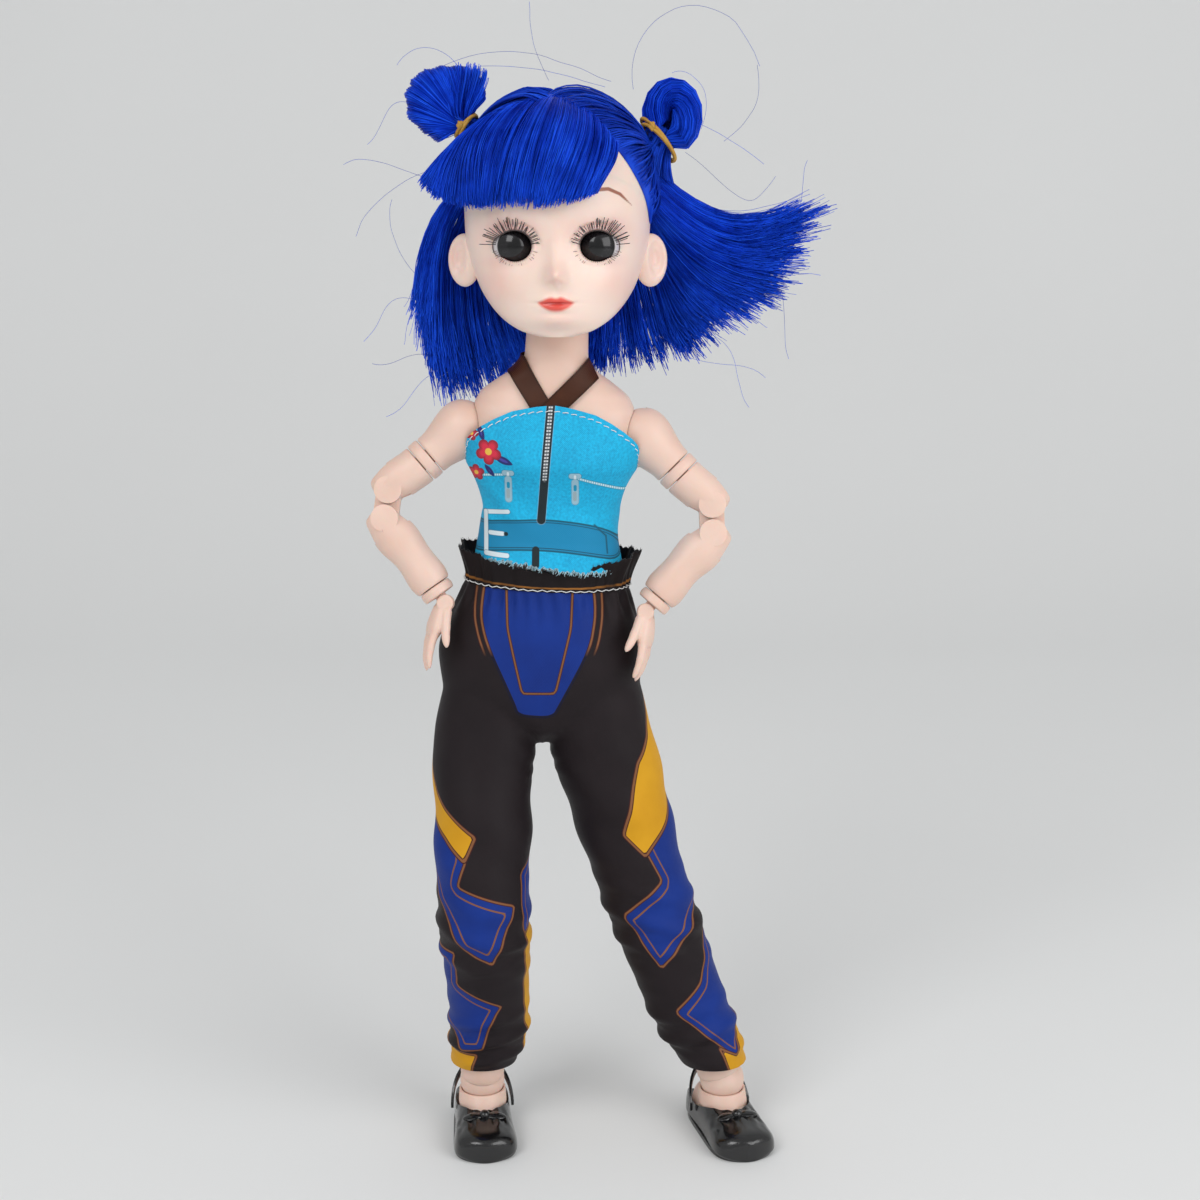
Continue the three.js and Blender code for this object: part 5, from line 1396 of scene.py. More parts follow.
# %% Printed bars
def bar_group():
    """A mask of a straight bar between two points, with soft ends and a given half width."""
    tree, add, source, out = shader_group("bar", [
        ("Place", "Vector", (0, 0, 0)), ("From", "Vector", (0, 0, 0)), ("To", "Vector", (1, 0, 0)),
        ("Half", "Float", 0.3)], [("Mask", "Float")])
    rel = vector_maths(add, "SUBTRACT", source["Place"], source["From"])
    way = vector_maths(add, "SUBTRACT", source["To"], source["From"])
    share = maths(add, "DIVIDE", vector_maths(add, "DOT_PRODUCT", rel, way, "Value"),
                  vector_maths(add, "DOT_PRODUCT", way, way, "Value"), clamp=True)
    gap = vector_maths(add, "SUBTRACT", rel, vector_maths(add, "SCALE", way, share))
    far = vector_maths(add, "LENGTH", gap, (0, 0, 0), "Value")
    wire(out, Mask=ramp(add, maths(add, "SUBTRACT", source["Half"], far), 8.0, 0.5))
    return tree


BAR = bar_group()
FRONT_EDGE, BACK_SHIFT = 2, 100
ZIP_TOP, ZIP_END, TAPE_END = (3.1, 212.5), (1.32, 192.2), (0.3, 181.0)
belt_outline = [(-26, 178.4), (-17.4, 179.5), (-8, 180.7), (1.3, 181.1), (9, 180.3), (16, 178.4),
                (20, 176.2),
                (22.2, 172.9), (21.4, 169.2), (14, 171.2), (6, 172.6), (-2, 173.1), (-10, 172.8),
                (-17.4, 171.8), (-26, 170.8)]


def blossom(points):
    """Millimetres inside plain five-petal flowers, inside their middles, and inside some leaves."""
    x, z = points[:, 0], points[:, 2]
    petals, hearts, leaves = (np.full(len(points), -FAR) for _ in range(3))
    for flower_x, flower_z, size, spin in (
            (-13.6, 199.4, 3.6, 0.3), (-17.2, 193.2, 2.4, 0.9), (-18.2, 204.0, 2.0, 0.0)):
        dx, dz = x - flower_x, z - flower_z
        far, turn = np.hypot(dx, dz), np.arctan2(dz, dx)
        edge = size * (0.62 + 0.38 * np.abs(np.cos(2.5 * (turn + spin))) ** 0.6)
        petals = np.maximum(petals, edge - far)
        hearts = np.maximum(hearts, size * 0.26 - far)
    for leaf_x, leaf_z, long, turn in (
            (-9.6, 197.4, 2.9, -0.35), (-15.6, 204.3, 2.4, 1.9), (-13.4, 194.2, 2.2, -0.9)):
        along = (x - leaf_x) * np.cos(turn) + (z - leaf_z) * np.sin(turn)
        across = (z - leaf_z) * np.cos(turn) - (x - leaf_x) * np.sin(turn)
        leaves = np.maximum(leaves, 0.34 * long * (1 - (along / long) ** 2) - np.abs(across))
    front = points[:, 1] < FRONT_EDGE
    return [np.where(front, values, -FAR) for values in (petals, hearts, leaves)]


def printed_cloth():
    """Turquoise cloth with the print of the halter top."""
    material, add, shader = new_material("printed_turquoise", Specular_IOR_Level=0.1)
    cloud, fine = noise(add, 120.0, 3.0), noise(add, 1500.0, 3.0)
    grain = ramp(add, fine, 2.2, affine(add, cloud, 0.8, -1.0))
    colour = blend_colour(add, grain, rgb(0, 150, 198), rgb(10, 184, 230))
    flat = attribute(add, "print_mm", "Vector")
    parts = add("ShaderNodeSeparateXYZ", {0: flat}).outputs

    def mask(a, b, half):
        return add("ShaderNodeGroup", {"Place": flat, "From": (*a, 0), "To": (*b, 0), "Half": half},
                   node_tree=BAR).outputs["Mask"]

    def teeth(axis, pitch, level):
        wave = maths(add, "SINE", times(add, parts[axis], 2 * math.pi / pitch))
        return maths(add, "GREATER_THAN", wave, level)

    def paint(value, paint_colour, strength=1.0):
        nonlocal colour
        if strength < 1:
            value = times(add, value, strength)
        colour = blend_colour(add, value, colour, paint_colour)

    def frame_bar(a, b, half, paint_colour, shade=rgb(0, 92, 120)):
        paint(mask(a, b, half + 0.16), shade, 0.6)
        paint(mask(a, b, half), paint_colour)

    silver, white, black = rgb(150, 186, 202), rgb(214, 226, 232), rgb(14, 14, 18)
    stitch = rgb(0, 72, 98)
    colour = add("ShaderNodeGroup", {
        "Under": colour, "Distance": attribute(add, "belt_mm"), "Fill": rgb(0, 128, 174),
        "Line": stitch, "Edge": rgb(2, 110, 140), "Inner": 0.62, "Width": 0.14},
        node_tree=PANEL).outputs["Colour"]
    for a, b in (((14.5, 179.2), (17.6, 176.0)), ((17.6, 176.0), (18.0, 171.4))):
        frame_bar(a, b, 0.12, stitch)

    paint(mask(ZIP_TOP, TAPE_END, 1.25), rgb(190, 200, 205), 0.35)
    paint(mask(ZIP_TOP, TAPE_END, 1.12), black)
    paint(mask(ZIP_TOP, ZIP_END, 0.62), rgb(60, 62, 66))
    paint(times(add, mask(ZIP_TOP, ZIP_END, 0.55), teeth("Y", 0.85, -0.1)), rgb(205, 206, 208))
    paint(mask(ZIP_TOP, ZIP_END, 0.1), rgb(70, 70, 74), 0.8)
    paint(mask((-1.2, 173.0), (-1.2, 169.4), 1.0), black)
    for head, end in (((-8.4, 193.6), (-18.6, 192.4)), ((9.4, 193.0), (23.6, 188.0))):
        frame_bar(head, end, 0.34, rgb(120, 190, 210))
        paint(times(add, mask(head, end, 0.26), teeth("X", 0.6, 0.0)), white)
        x, z = head
        frame_bar((x - 0.9, z + 0.4), (x + 0.9, z + 0.4), 0.75, silver)
        paint(mask((x, z + 0.4), (x, z - 0.6), 0.3), white)
        frame_bar((x, z - 1.4), (x, z - 7.0), 0.9, silver, rgb(120, 150, 160))
        paint(mask((x, z - 2.6), (x, z - 3.6), 0.42), rgb(0, 140, 178))
        paint(mask((x - 0.1, z - 4.6), (x - 0.1, z - 6.4), 0.5), rgb(150, 170, 178))
    for a, b in (((-14.9, 182.3), (-8.7, 183.0)), ((-14.9, 182.3), (-14.7, 171.6)),
                 ((-14.7, 171.6), (-8.9, 171.4)), ((-13.6, 176.9), (-10.2, 176.9))):
        frame_bar(a, b, 0.58, white)
    paint(mask((-9.3, 176.9), (-9.2, 176.9), 0.55), rgb(4, 20, 28))

    leaf, petal = attribute(add, "leaf_mm"), attribute(add, "petal_mm")
    paint(ramp(add, leaf, 7.0, 0.5), rgb(34, 30, 104))
    paint(ramp(add, leaf, 5.0, -2.6), rgb(70, 62, 160))
    rose = blend_colour(add, ramp(add, petal, 0.7), rgb(128, 12, 34), rgb(216, 36, 66))
    paint(ramp(add, petal, 7.0, 0.5), rose)
    paint(ramp(add, attribute(add, "heart_mm"), 7.0, 0.5), rgb(236, 190, 70))

    weave = woven_look(add, flat, 2.0, 0.22)
    # Painted sheen: a pale colour on the thread tops stands in for their highlight.
    paint(times(add, weave["Mask"], 0.06), rgb(200, 240, 250))
    wire(shader, Base_Color=colour, Roughness=affine(add, cloud, 0.15, 0.5),
         Normal=weave["Normal"])
    return material

# %% Halter top
def top_edge(angle):
    """Nearly straight slopes from the middle of the chest to the armpits, and a level back."""
    side = np.abs(np.cos(angle))
    front = np.interp(side, [0, 0.15, 0.4, 0.6, 0.75, 0.85, 0.92, 0.97, 1.0],
                      [32.4, 31.8, 30.3, 28.1, 26.0, 24.2, 22.4, 20.0, 16.6])
    return np.where(np.sin(angle) < 0, front, 16.6 + 1.2 * np.sin(angle))


def open_sheet(name, points, closed, material):
    rows, columns = points.shape[:2]
    return build(name, points, grid_faces(rows, columns, closed), material, 180)


def top_surface(angle, v, grow=0.0):
    """The cloth at a direction and a share of the way from the hem to the upper edge."""
    ragged = 0.45 * np.sin(17 * angle + 1) * np.sin(41 * angle) + 0.3 * np.sin(97 * angle)
    front = np.maximum(0, -np.sin(angle)) ** 1.5
    low = -10.6 + 1.6 * front * np.sin(0.9 * np.cos(angle) * -2.2) + ragged
    height = low + (top_edge(angle) - low) * v
    flare = np.clip((-4.5 - height) / 6.0, 0, 1)
    out = 1.5 + grow + front * 2.6 * flare ** 1.3 + (1 - front) * 0.4 * flare
    out = out + 2.9 * np.abs(np.cos(angle)) ** 4 * np.clip((height - 4) / 11, 0, 1) ** 1.5
    waist = 0.22 * np.exp(-((height - 3) / 5) ** 2) * np.sin(9 * angle + height * 0.5)
    drape = 0.16 * np.sin(3 * angle + height * 0.35) + waist
    return torso.points(angle, height, out + drape)


def halter_top():
    angle = full_turn(330)[None, :]
    points = top_surface(angle, np.linspace(0, 1, 110)[:, None])
    obj = place(open_sheet("halter_cloth", points, True, printed_cloth()), CHEST)
    world = vertices_of(obj) - OFFSET
    values = np.column_stack([world[:, 0], world[:, 2], 0 * world[:, 0]])
    values[world[:, 1] > 0, 0] += BACK_SHIFT
    store(obj, "print_mm", values)
    belt = signed_distance(world[:, [0, 2]], smooth_outline(belt_outline, 2, 0.25))
    store(obj, "belt_mm", np.where(world[:, 1] < FRONT_EDGE, belt, np.minimum(belt, 0.5)))
    for name, values in zip(("petal_mm", "heart_mm", "leaf_mm"), blossom(world)):
        store(obj, name, values)
    keep(obj, "chest", "turquoise_cloth", "halter_top")
    sewing(angle[0])


def chest_line(name, angle, v, grow):
    """A line on the top with its directions, in the frame's own coordinates."""
    points = top_surface(angle, v, grow)
    up = units(top_surface(angle, v + 0.01, grow) - points)
    along = np.roll(points, -1, axis=0) - points
    outward = units(np.cross(units(along), up))
    turn = CHEST[:3, :3].T
    return guide_line(name, points @ turn + CHEST[:3, 3], up @ turn, outward @ turn, True)


def sewing(angle):
    """White stitches along the upper edge, and fibres that hang from the hem."""
    seam = run_nodes(chest_line("top_stitches", angle, 0.967, 0.12), THREAD, Spacing=0.00115,
                     Swing=0.00014, Radius=0.00013, Lift=0.0002, Dashes=1.0, Seed=4,
                     Material=white_thread)
    keep(seam, "chest", "turquoise_cloth")
    hem = chest_line("frayed_hem", angle, 0.0, 0.0)
    across = hem.data.attributes["across"].data
    flip = np.empty(len(hem.data.vertices) * 3, np.float32)
    across.foreach_get("vector", flip)
    across.foreach_set("vector", -flip)
    hem = run_nodes(hem, FIBRE, Spacing=0.00022, Length=0.0014, Radius=0.00007, Spread=0.5, Seed=7,
                    Material=pale_fibre)
    keep(hem, "chest", "turquoise_cloth")


halter_top()
print("halter top placed")

# %% Waistband ruffle
def ruffle_point(angle, v):
    """The gathered band above the trousers, flared at the sides and flat behind the top's hem."""
    ragged = 0.35 * np.sin(23 * angle + 2) * np.sin(7 * angle) + 0.22 * np.sin(71 * angle)
    side = np.abs(np.cos(angle)) ** 1.5
    high = 4.6 + 4.2 * side + ragged * v
    wave = 0.95 * v ** 0.8 * np.cos(11 * angle + 0.8 * np.sin(3 * angle))
    wave = (wave + 0.35 * (1 - v) * np.cos(37 * angle)) * (0.45 + 0.55 * side)
    front = np.maximum(0, -np.sin(angle)) ** 2
    return hips.points(angle, BAND - 0.9 + (high + 0.9) * v, wave + 0.3 - 1.1 * front * v)


def waist_ruffle():
    rows, columns, height = 26, 420, 0.011
    angle, v = full_turn(columns)[None, :], np.linspace(0, 1, rows)
    obj = open_sheet("waist_ruffle", ruffle_point(angle, v[:, None]), True, plain_jersey())
    store(obj, "high_mm", np.repeat(v * 7, columns))
    thicken(place(obj, PELVIS), 0.35, 180)
    keep(obj, "pelvis", "black_satin", "trousers")
    turn = PELVIS[:3, :3].T
    for name, share, lift, group, values in (
            ("gather_stitches", 0.06, 0.32, THREAD, dict(
                Spacing=0.0013, Swing=0.0002, Radius=0.00013, Lift=0.0003, Seed=9,
                Material=white_thread)),
            ("frayed_ruffle", 1.0, 0, FIBRE, dict(
                Spacing=0.0005, Length=0.0007, Radius=0.00005, Spread=0.6, Seed=12,
                Material=black_fibre))):
        points = ruffle_point(angle[0], share)
        up = units(ruffle_point(angle[0], share + 0.02) - points)
        outward = units(np.cross(np.roll(points, -1, axis=0) - points, up))
        points = (points + lift * outward) @ turn + PELVIS[:3, 3]
        line = guide_line(name, points, up @ turn, outward @ turn, True)
        keep(run_nodes(line, group, **values), "pelvis", "black_satin")


def plain_jersey():
    """Near-black jersey with a worn, tan thread line along the gathers."""
    material, add, shader = new_material("plain_jersey", Specular_IOR_Level=0.12)
    cloud, fine = noise(add, 110.0, 4.0), noise(add, 2400.0, 2.0)
    line = maths(add, "ABSOLUTE", maths(add, "SUBTRACT", attribute(add, "high_mm"), 1.35))
    line = ramp(add, maths(add, "SUBTRACT", 0.3, line), 6.0, 0.3)
    worn = times(add, line, ramp(add, cloud, 3.0, -0.8))
    black = blend_colour(add, cloud, rgb(20, 16, 17), rgb(33, 27, 28))
    wire(shader, Base_Color=blend_colour(add, worn, black, rgb(150, 98, 44)),
         Roughness=affine(add, cloud, 0.2, 0.5), Normal=bump(add, fine, 0.2))
    return material


waist_ruffle()
print("ruffle placed")

# %% Neck ribbon
def satin_ribbon():
    """Dark brown satin with fine ribs across it, and painted shade along its rolled edges."""
    material, add, shader = new_material("ribbon_satin", Specular_IOR_Level=0.16, Anisotropic=0.5)
    cloud = noise(add, 160.0, 3.0)
    # Painted shade: darker along both edges, in stripes with the ribs, for the shade of a rolled
    # edge.
    inner = maths(add, "SUBTRACT", 2.7, maths(add, "ABSOLUTE", attribute(add, "width_mm")))
    edge = ramp(add, maths(add, "SUBTRACT", 0.42, inner), 5.0, 0.2)
    rib = maths(add, "SINE", times(add, attribute(add, "length_mm"), 14.0))
    colour = blend_colour(add, cloud, rgb(52, 26, 15), rgb(80, 44, 26))
    colour = blend_colour(add, times(add, edge, affine(add, rib, 0.3, 0.5)), colour,
                          rgb(36, 20, 12))
    wire(shader, Base_Color=colour, Roughness=affine(add, cloud, 0.18, 0.26),
         Normal=bump(add, rib, 0.25, 0.0001))
    return material


def front_depth(x, height, gap):
    """How far forward a place lies that is a given gap outside the chest."""
    w, d, middle, back, n = np.moveaxis(torso.sizes(height), -1, 0)
    side = np.minimum(1, np.abs(x - middle) / (w + gap))
    y = back - (d + gap) * (1 - side ** n) ** (1 / n)
    return y - torso.relief(np.stack([x, y, height], -1))


def front_strip(inner, outer, v, low):
    """One end of the band: straight edges from under the top up to the fold beside the neck."""
    t = np.linspace(0, 1, 46)[None, :, None]
    edges = [start * (1 - t) + end * t for start, end in (np.array(outer), np.array(inner))]
    spot = edges[0] * (1 - v[..., None]) + edges[1] * v[..., None]
    x, height = spot[..., 0], spot[..., 1] - CHEST[2, 3]
    y = front_depth(x, height, low + (1.0 - low) * t[..., 0] ** 0.7)
    return np.stack([x, y, height], -1)


def neck_ribbon():
    """A band that crosses in front of the throat and runs once round behind the neck."""
    rows, width = 13, 0.0112
    v = np.linspace(0, 1, rows)[:, None]
    left = front_strip([(1.2, 208.9), (-8.5, 223.6)], [(-3.6, 206.8), (-12.2, 218.6)], v, 0.5)
    right = front_strip([(-5.2, 209.2), (8.6, 223.6)], [(-0.2, 206.9), (11.6, 218.6)], v, 0.95)
    turn, height = [], []
    for end in (left, right):
        size = torso.sizes(end[:, -1, 2])
        turn.append(np.arccos(np.clip(end[:, -1, 0] / (size[:, 0] + 1.0), -1, 1))[:, None])
        height.append(end[:, -1, 2][:, None])
    t = np.linspace(0, 1, 72)[None, 1:-1]
    angle = -turn[0] * (1 - t) + (turn[1] - 2 * np.pi) * t
    rise = height[0] * (1 - t) + height[1] * t + (1.8 - 1.2 * v) * np.sin(np.pi * t)
    points = np.concatenate([left, torso.points(angle, rise, 1.0), right[:, ::-1]], 1)
    count = points.shape[1]
    obj = open_sheet("halter_ribbon", points, False, satin_ribbon())
    store(obj, "width_mm", np.repeat((v[:, 0] - 0.5) * 5.8, count))
    store(obj, "length_mm", np.tile(np.linspace(0, 1, count) * 66, rows))
    thicken(place(obj, CHEST), 0.3, 60)
    keep(obj, "chest", "brown_satin", "neck_ribbon")


neck_ribbon()
print("ribbon placed")

# %% [markdown]
# ## Head and face
# The head is soft vinyl. Its front carries a fine relief: nose, lips, chin, cheeks, and lids round
# two open eye holes. Lip, brow and shadow colours are distances and soft spots stored on the
# surface. Behind the holes sit dark glossy eyes, and Geometry Nodes plant the lashes on the lids.

# %% Head form
HEAD = placing(joint_place("neck_nod"), np.array([1.0, 0, 0]), z=np.array([0, 0, 1.0]))
EYE_X, EYE_Y, EYE_Z = 10.6, -14.3, 20.2
EYE_HALF, EYE_TALL = 4.45, 3.9


def lid_measure(p):
    """1 on the eye opening's edge, more outside it."""
    return np.hypot((np.abs(p[..., 0]) - EYE_X) / EYE_HALF, (p[..., 2] - EYE_Z) / EYE_TALL)


def face_relief(p):
    """How far the face stands out from the plain oval head, in millimetres."""
    x, z = p[..., 0], p[..., 2]
    ax = np.abs(x)
    nose = 3.6 * hump(x, z, 0, 13.1, 2.4, 2.4) + 1.3 * hump(x, z, 0, 17.5, 2.2, 5)
    nose += 0.45 * hump(ax, z, 2.0, 11.9, 1.0, 1.1) - 0.45 * hump(ax, z, 1.0, 11.0, 0.6, 0.45)
    lips = 0.75 * hump(x, z, 0, 6.8, 3.6, 1.1) + 0.95 * hump(x, z, 0, 4.8, 3.1, 1.1)
    lips -= 0.5 * hump(x, z, 0, 5.95, 4.7, 0.34) + 0.22 * hump(x, z, 0, 9.3, 0.8, 1.3)
    chin = 0.8 * hump(x, z, 0, 1.4, 4, 2.2) - 0.35 * hump(x, z, 0, 3.3, 3, 0.7)
    eyes = 1.9 * hump(ax, z, EYE_X, EYE_Z, 5.6, 4.6)
    ring = lambda middle, wide: np.exp(-((lid_measure(p) - middle) / wide) ** 2)
    upper = 1 / (1 + np.exp(-(z - EYE_Z - 0.5) / 0.8))
    rims = 0.5 * ring(1.1, 0.13) + upper * (0.3 * ring(1.32, 0.14) - 0.35 * ring(1.52, 0.06))
    cheeks = 0.8 * hump(ax, z, 13, 10.4, 5, 4)
    return np.where(p[..., 1] > 0, 0, nose + lips + chin + cheeks - eyes + rims)


skull = Form([
    [-3, 4.6, 3.2, 0, -16.4], [-1.6, 9.4, 5.4, 0, -15], [1.6, 14.6, 12.4, 0, -10.4],
              [5.2, 18, 17.6, 0, -6.2],
    [9.4, 20.6, 21, 0, -3.2], [15.5, 22.8, 23.2, 0, -0.9], [22, 24.4, 24, 0, 0.6],
              [31, 24.7, 25.2, 0, 0.8],
    [39, 23.6, 24.6, 0, 0.8], [47, 20.8, 21.6, 0, 0.6], [53.5, 15.4, 16, 0, 0.4],
              [57.6, 8.4, 8.8, 0, 0.2],
    [59, 2, 2.2]], face_relief)
scalp = Form(skull.rows)


def head_rings(columns=288, rows=190):
    u = np.linspace(0, 1, columns, endpoint=False)
    angle = 2 * np.pi * u - 0.5 * np.sin(2 * np.pi * u) - np.pi / 2
    t = np.linspace(0, 1, rows)
    height = -3 + 62 * (0.72 * t + 0.28 * (0.5 - 0.5 * np.cos(np.pi * t)))
    return skull.points(angle[None, :], height[:, None])


def ear_solid(s):
    """A thin cupped shell, with a rolled rim round a shallow bowl."""
    ear = lofted("t", ball_rings((4.9, 2.5, 7.0), columns=72, rows=56), skin)
    points = vertices_of(ear)
    far = np.hypot((points[:, 0] - 0.9) / 3.1, (points[:, 2] - 0.6) / 5.6)
    dent = 2.0 * np.exp(-(far / 0.72) ** 4) - 0.35 * np.exp(-((far - 0.45) / 0.12) ** 2)
    points[:, 1] += np.where(points[:, 1] < 0, dent, 0)
    move_vertices(ear, points)
    ear.data.transform(Matrix.Rotation(0.5, 4, "Z"))
    if s < 0:
        mirrored(ear)
    ear.data.transform(Matrix.Translation(Vector((s * 24.8, 0.5, 15.9)) * MM))
    return ear


def eye_hole(s):
    turn = full_turn(72)
    x, z = s * EYE_X + EYE_HALF * np.cos(turn), EYE_Z + EYE_TALL * np.sin(turn)
    return lofted("t", [np.column_stack([x, x * 0 + y, z]) for y in (-14.0, -34.0)], skin)


def face_colours(obj):
    """Where the paint lies on the face, from the places of the head's own points."""
    p = vertices_of(obj)
    x, y, z = p.T
    ax, flat = np.abs(x), np.column_stack([x, z])
    front = (y < 0).astype(float)
    lips = [(-4.8, 6.1), (-3.2, 6.8), (-1.4, 7.65), (0, 7.2), (1.4, 7.65), (3.2, 6.8), (4.8, 6.1),
            (3.3, 4.85), (1.6, 4.05), (0, 3.9), (-1.6, 4.05), (-3.3, 4.85)]
    lips = signed_distance(flat, smooth_outline(lips, 2, 0.2))
    store(obj, "lips_mm", np.where(front > 0, lips, -FAR))
    line = np.exp(-((z - 5.95 - 0.012 * x * x) / 0.28) ** 2) * np.clip(1.25 - ax / 4.6, 0, 1)
    store(obj, "mouth_line", front * line)
    brow = np.full(len(p), FAR)
    arc = np.array([(7.6, 33.3), (10.4, 34.4), (13.4, 34.6), (16.4, 33.3), (19.4, 30.5)])
    places = np.column_stack([ax, z])
    for i, (a, b) in enumerate(zip(arc, arc[1:])):
        way = b - a
        t = np.clip(((places - a) @ way) / (way @ way), 0, 1)
        half = np.interp(i + t, [0, 1, 3, 4], [0.34, 0.52, 0.42, 0.14])
        brow = np.minimum(brow, np.linalg.norm(places - a - t[:, None] * way, axis=1) - half)
    store(obj, "brow_mm", np.where(front > 0, -brow, -FAR))
    store(obj, "lid", np.where(front > 0, lid_measure(p), FAR))
    store(obj, "lid_up", front / (1 + np.exp(-(z - EYE_Z - 0.2) / 0.5)))
    shadow = 0.75 * hump(ax, z, 14.0, 23.6, 5.0, 4.0) + 0.5 * hump(ax, z, 8.2, 24.4, 4.2, 2.6)
    shadow += 0.35 * hump(ax, z, 15.0, 16.4, 3.4, 1.8)
    store(obj, "shadow", front * shadow)
    blush = 0.5 * hump(ax, z, 15.2, 11.0, 5.5, 4.5) + 0.35 * hump(x, z, 0, 1.4, 4.5, 2.4)
    blush += 0.25 * hump(x, z, 0, 12.9, 3, 2.5)
    # The sides of the head at the ears also get this pink tint.
    ear = np.clip((ax - 23.6) / 1.5, 0, 1) * np.clip(1 - np.abs(z - 16.6) / 9, 0, 1)
    store(obj, "blush", np.clip(front * blush + 0.4 * ear, 0, 1))


def painted_face():
    """Pale vinyl with blush, eye shadow, liner, brows and lips painted where they are stored."""
    material, add, shader = new_material("painted_vinyl", Subsurface_Weight=0.3,
                                         Subsurface_Scale=0.0018, Coat_Weight=0.08,
                                         Coat_Roughness=0.35)
    vinyl = moulded_look(add, rgb(244, 221, 208), rgb(240, 212, 198), 0.42, 0.08)
    near = ramp(add, maths(add, "SUBTRACT", 1.3, attribute(add, "lid")), 6.0, -0.55)
    liner = times(add, near, affine(add, attribute(add, "lid_up"), 0.75, 0.2))
    lip = ramp(add, attribute(add, "lips_mm"), 1.3, 0.5)
    deep = ramp(add, attribute(add, "lips_mm"), 0.55)
    colour = vinyl["Colour"]
    for mask, paint in (
            (ramp(add, attribute(add, "blush"), 0.55), rgb(240, 172, 160)),
            (ramp(add, attribute(add, "shadow"), 0.62, -0.02), rgb(206, 128, 132)),
            (liner, rgb(62, 34, 32)),
            (ramp(add, attribute(add, "brow_mm"), 4.0, 0.4), rgb(158, 96, 74)),
            (lip, blend_colour(add, deep, rgb(230, 102, 88), rgb(220, 66, 56))),
            (ramp(add, attribute(add, "mouth_line"), 0.7), rgb(150, 44, 44))):
        colour = blend_colour(add, mask, colour, paint)
    wire(shader, Base_Color=colour, Roughness=affine(add, lip, -0.12, vinyl["Roughness"]),
         Normal=vinyl["Normal"])
    return material


def hairline_tool(above):
    """Everything on one side of the slanted plane along which the head opens."""
    slope, side = math.atan2(28, 48.8), 160
    block = box((side, side, side), (0, 0, (1 if above else -1) * (side / 2 + 0.02)))
    spin = Matrix.Rotation(-slope, 4, "X")
    block.data.transform(Matrix.Translation((0, 0, 27 * MM)) @ spin)
    return block


def head_pieces():
    """The face shell and the scalp, cut from one hollowed head with its ears and eye holes."""
    face_paint = painted_face()
    whole = lofted("vinyl_head", head_rings(), face_paint)
    whole = combine(whole, [ear_solid(s) for s in (-1, 1)], "UNION")
    tools = [eye_hole(s) for s in (-1, 1)]
    tools += [ball(6.3, (s * EYE_X, EYE_Y, EYE_Z), 64, 48) for s in (-1, 1)]
    whole = combine(whole, tools + [ball(6.5), rod(3, 12, (0, 0, 8), "z")])
    rest = new_object("scalp", whole.data.copy())
    for obj, above, name, node in ((whole, True, "painted_face", "face_shell"),
                                   (rest, False, "head_scalp", "scalp_cap")):
        combine(obj, [hairline_tool(above)])
        obj.name = name
        repaint(obj, face_paint)
        obj.data.polygons.foreach_set("material_index", [0] * len(obj.data.polygons))
        face_colours(obj)
        smooth(obj, 50)
        keep(place(obj, HEAD), "head", "head_vinyl", node)


head_pieces()
print("head placed")

# %% Eyes
def eye_material():
    """A glossy eye: charcoal iris with fine rays, black pupil and rim, grey-white surround."""
    material, add, shader = new_material("glossy_eye", Roughness=0.2, Coat_Weight=0.5,
                                         Coat_Roughness=0.03, Specular_IOR_Level=0.25)
    rel = attribute(add, "eye_mm", "Vector")
    parts = add("ShaderNodeSeparateXYZ", {0: rel}).outputs
    radius = vector_maths(add, "LENGTH", rel, (0, 0, 0), "Value")
    turn = maths(add, "ARCTAN2", parts["Y"], parts["X"])
    spot = add("ShaderNodeCombineXYZ", {0: maths(add, "COSINE", turn), 1: maths(add, "SINE", turn),
                                        2: times(add, radius, 0.06)}).outputs[0]
    rays = add("ShaderNodeTexNoise", {"Vector": spot, "Scale": 14.0, "Detail": 4.0}).outputs["Fac"]
    iris = blend_colour(add, ramp(add, rays, 2.4, -0.7), rgb(10, 9, 11), rgb(34, 32, 36))
    colour = rgb(206, 200, 202)
    for edge, sharp, paint in ((4.62, 3.0, rgb(8, 8, 10)), (3.9, 2.0, iris),
                               (1.9, 2.5, rgb(6, 6, 8))):
        disc = ramp(add, maths(add, "SUBTRACT", edge, radius), sharp, 0.5)
        colour = blend_colour(add, disc, colour, paint)
    wire(shader, Base_Color=colour)
    return material


def eyes():
    material = eye_material()
    for side, s in SIDES:
        rings = ball_rings(6.0, columns=96, rows=72)
        rings = np.stack([rings[..., 0], -rings[..., 2], rings[..., 1]], -1)
        obj = lofted(f"glass_eye_{side}", rings, material, 180)
        points = vertices_of(obj)
        rel = np.column_stack([points[:, 0] + s * 0.08, points[:, 2], 0 * points[:, 0]])
        rel[points[:, 1] > 0] = (FAR, FAR, 0)
        store(obj, "eye_mm", rel)
        obj.data.transform(Matrix.Translation(Vector((s * EYE_X, EYE_Y, EYE_Z)) * MM))
        keep(place(obj, HEAD), "head", "eye", f"eye_{side}")


eyes()

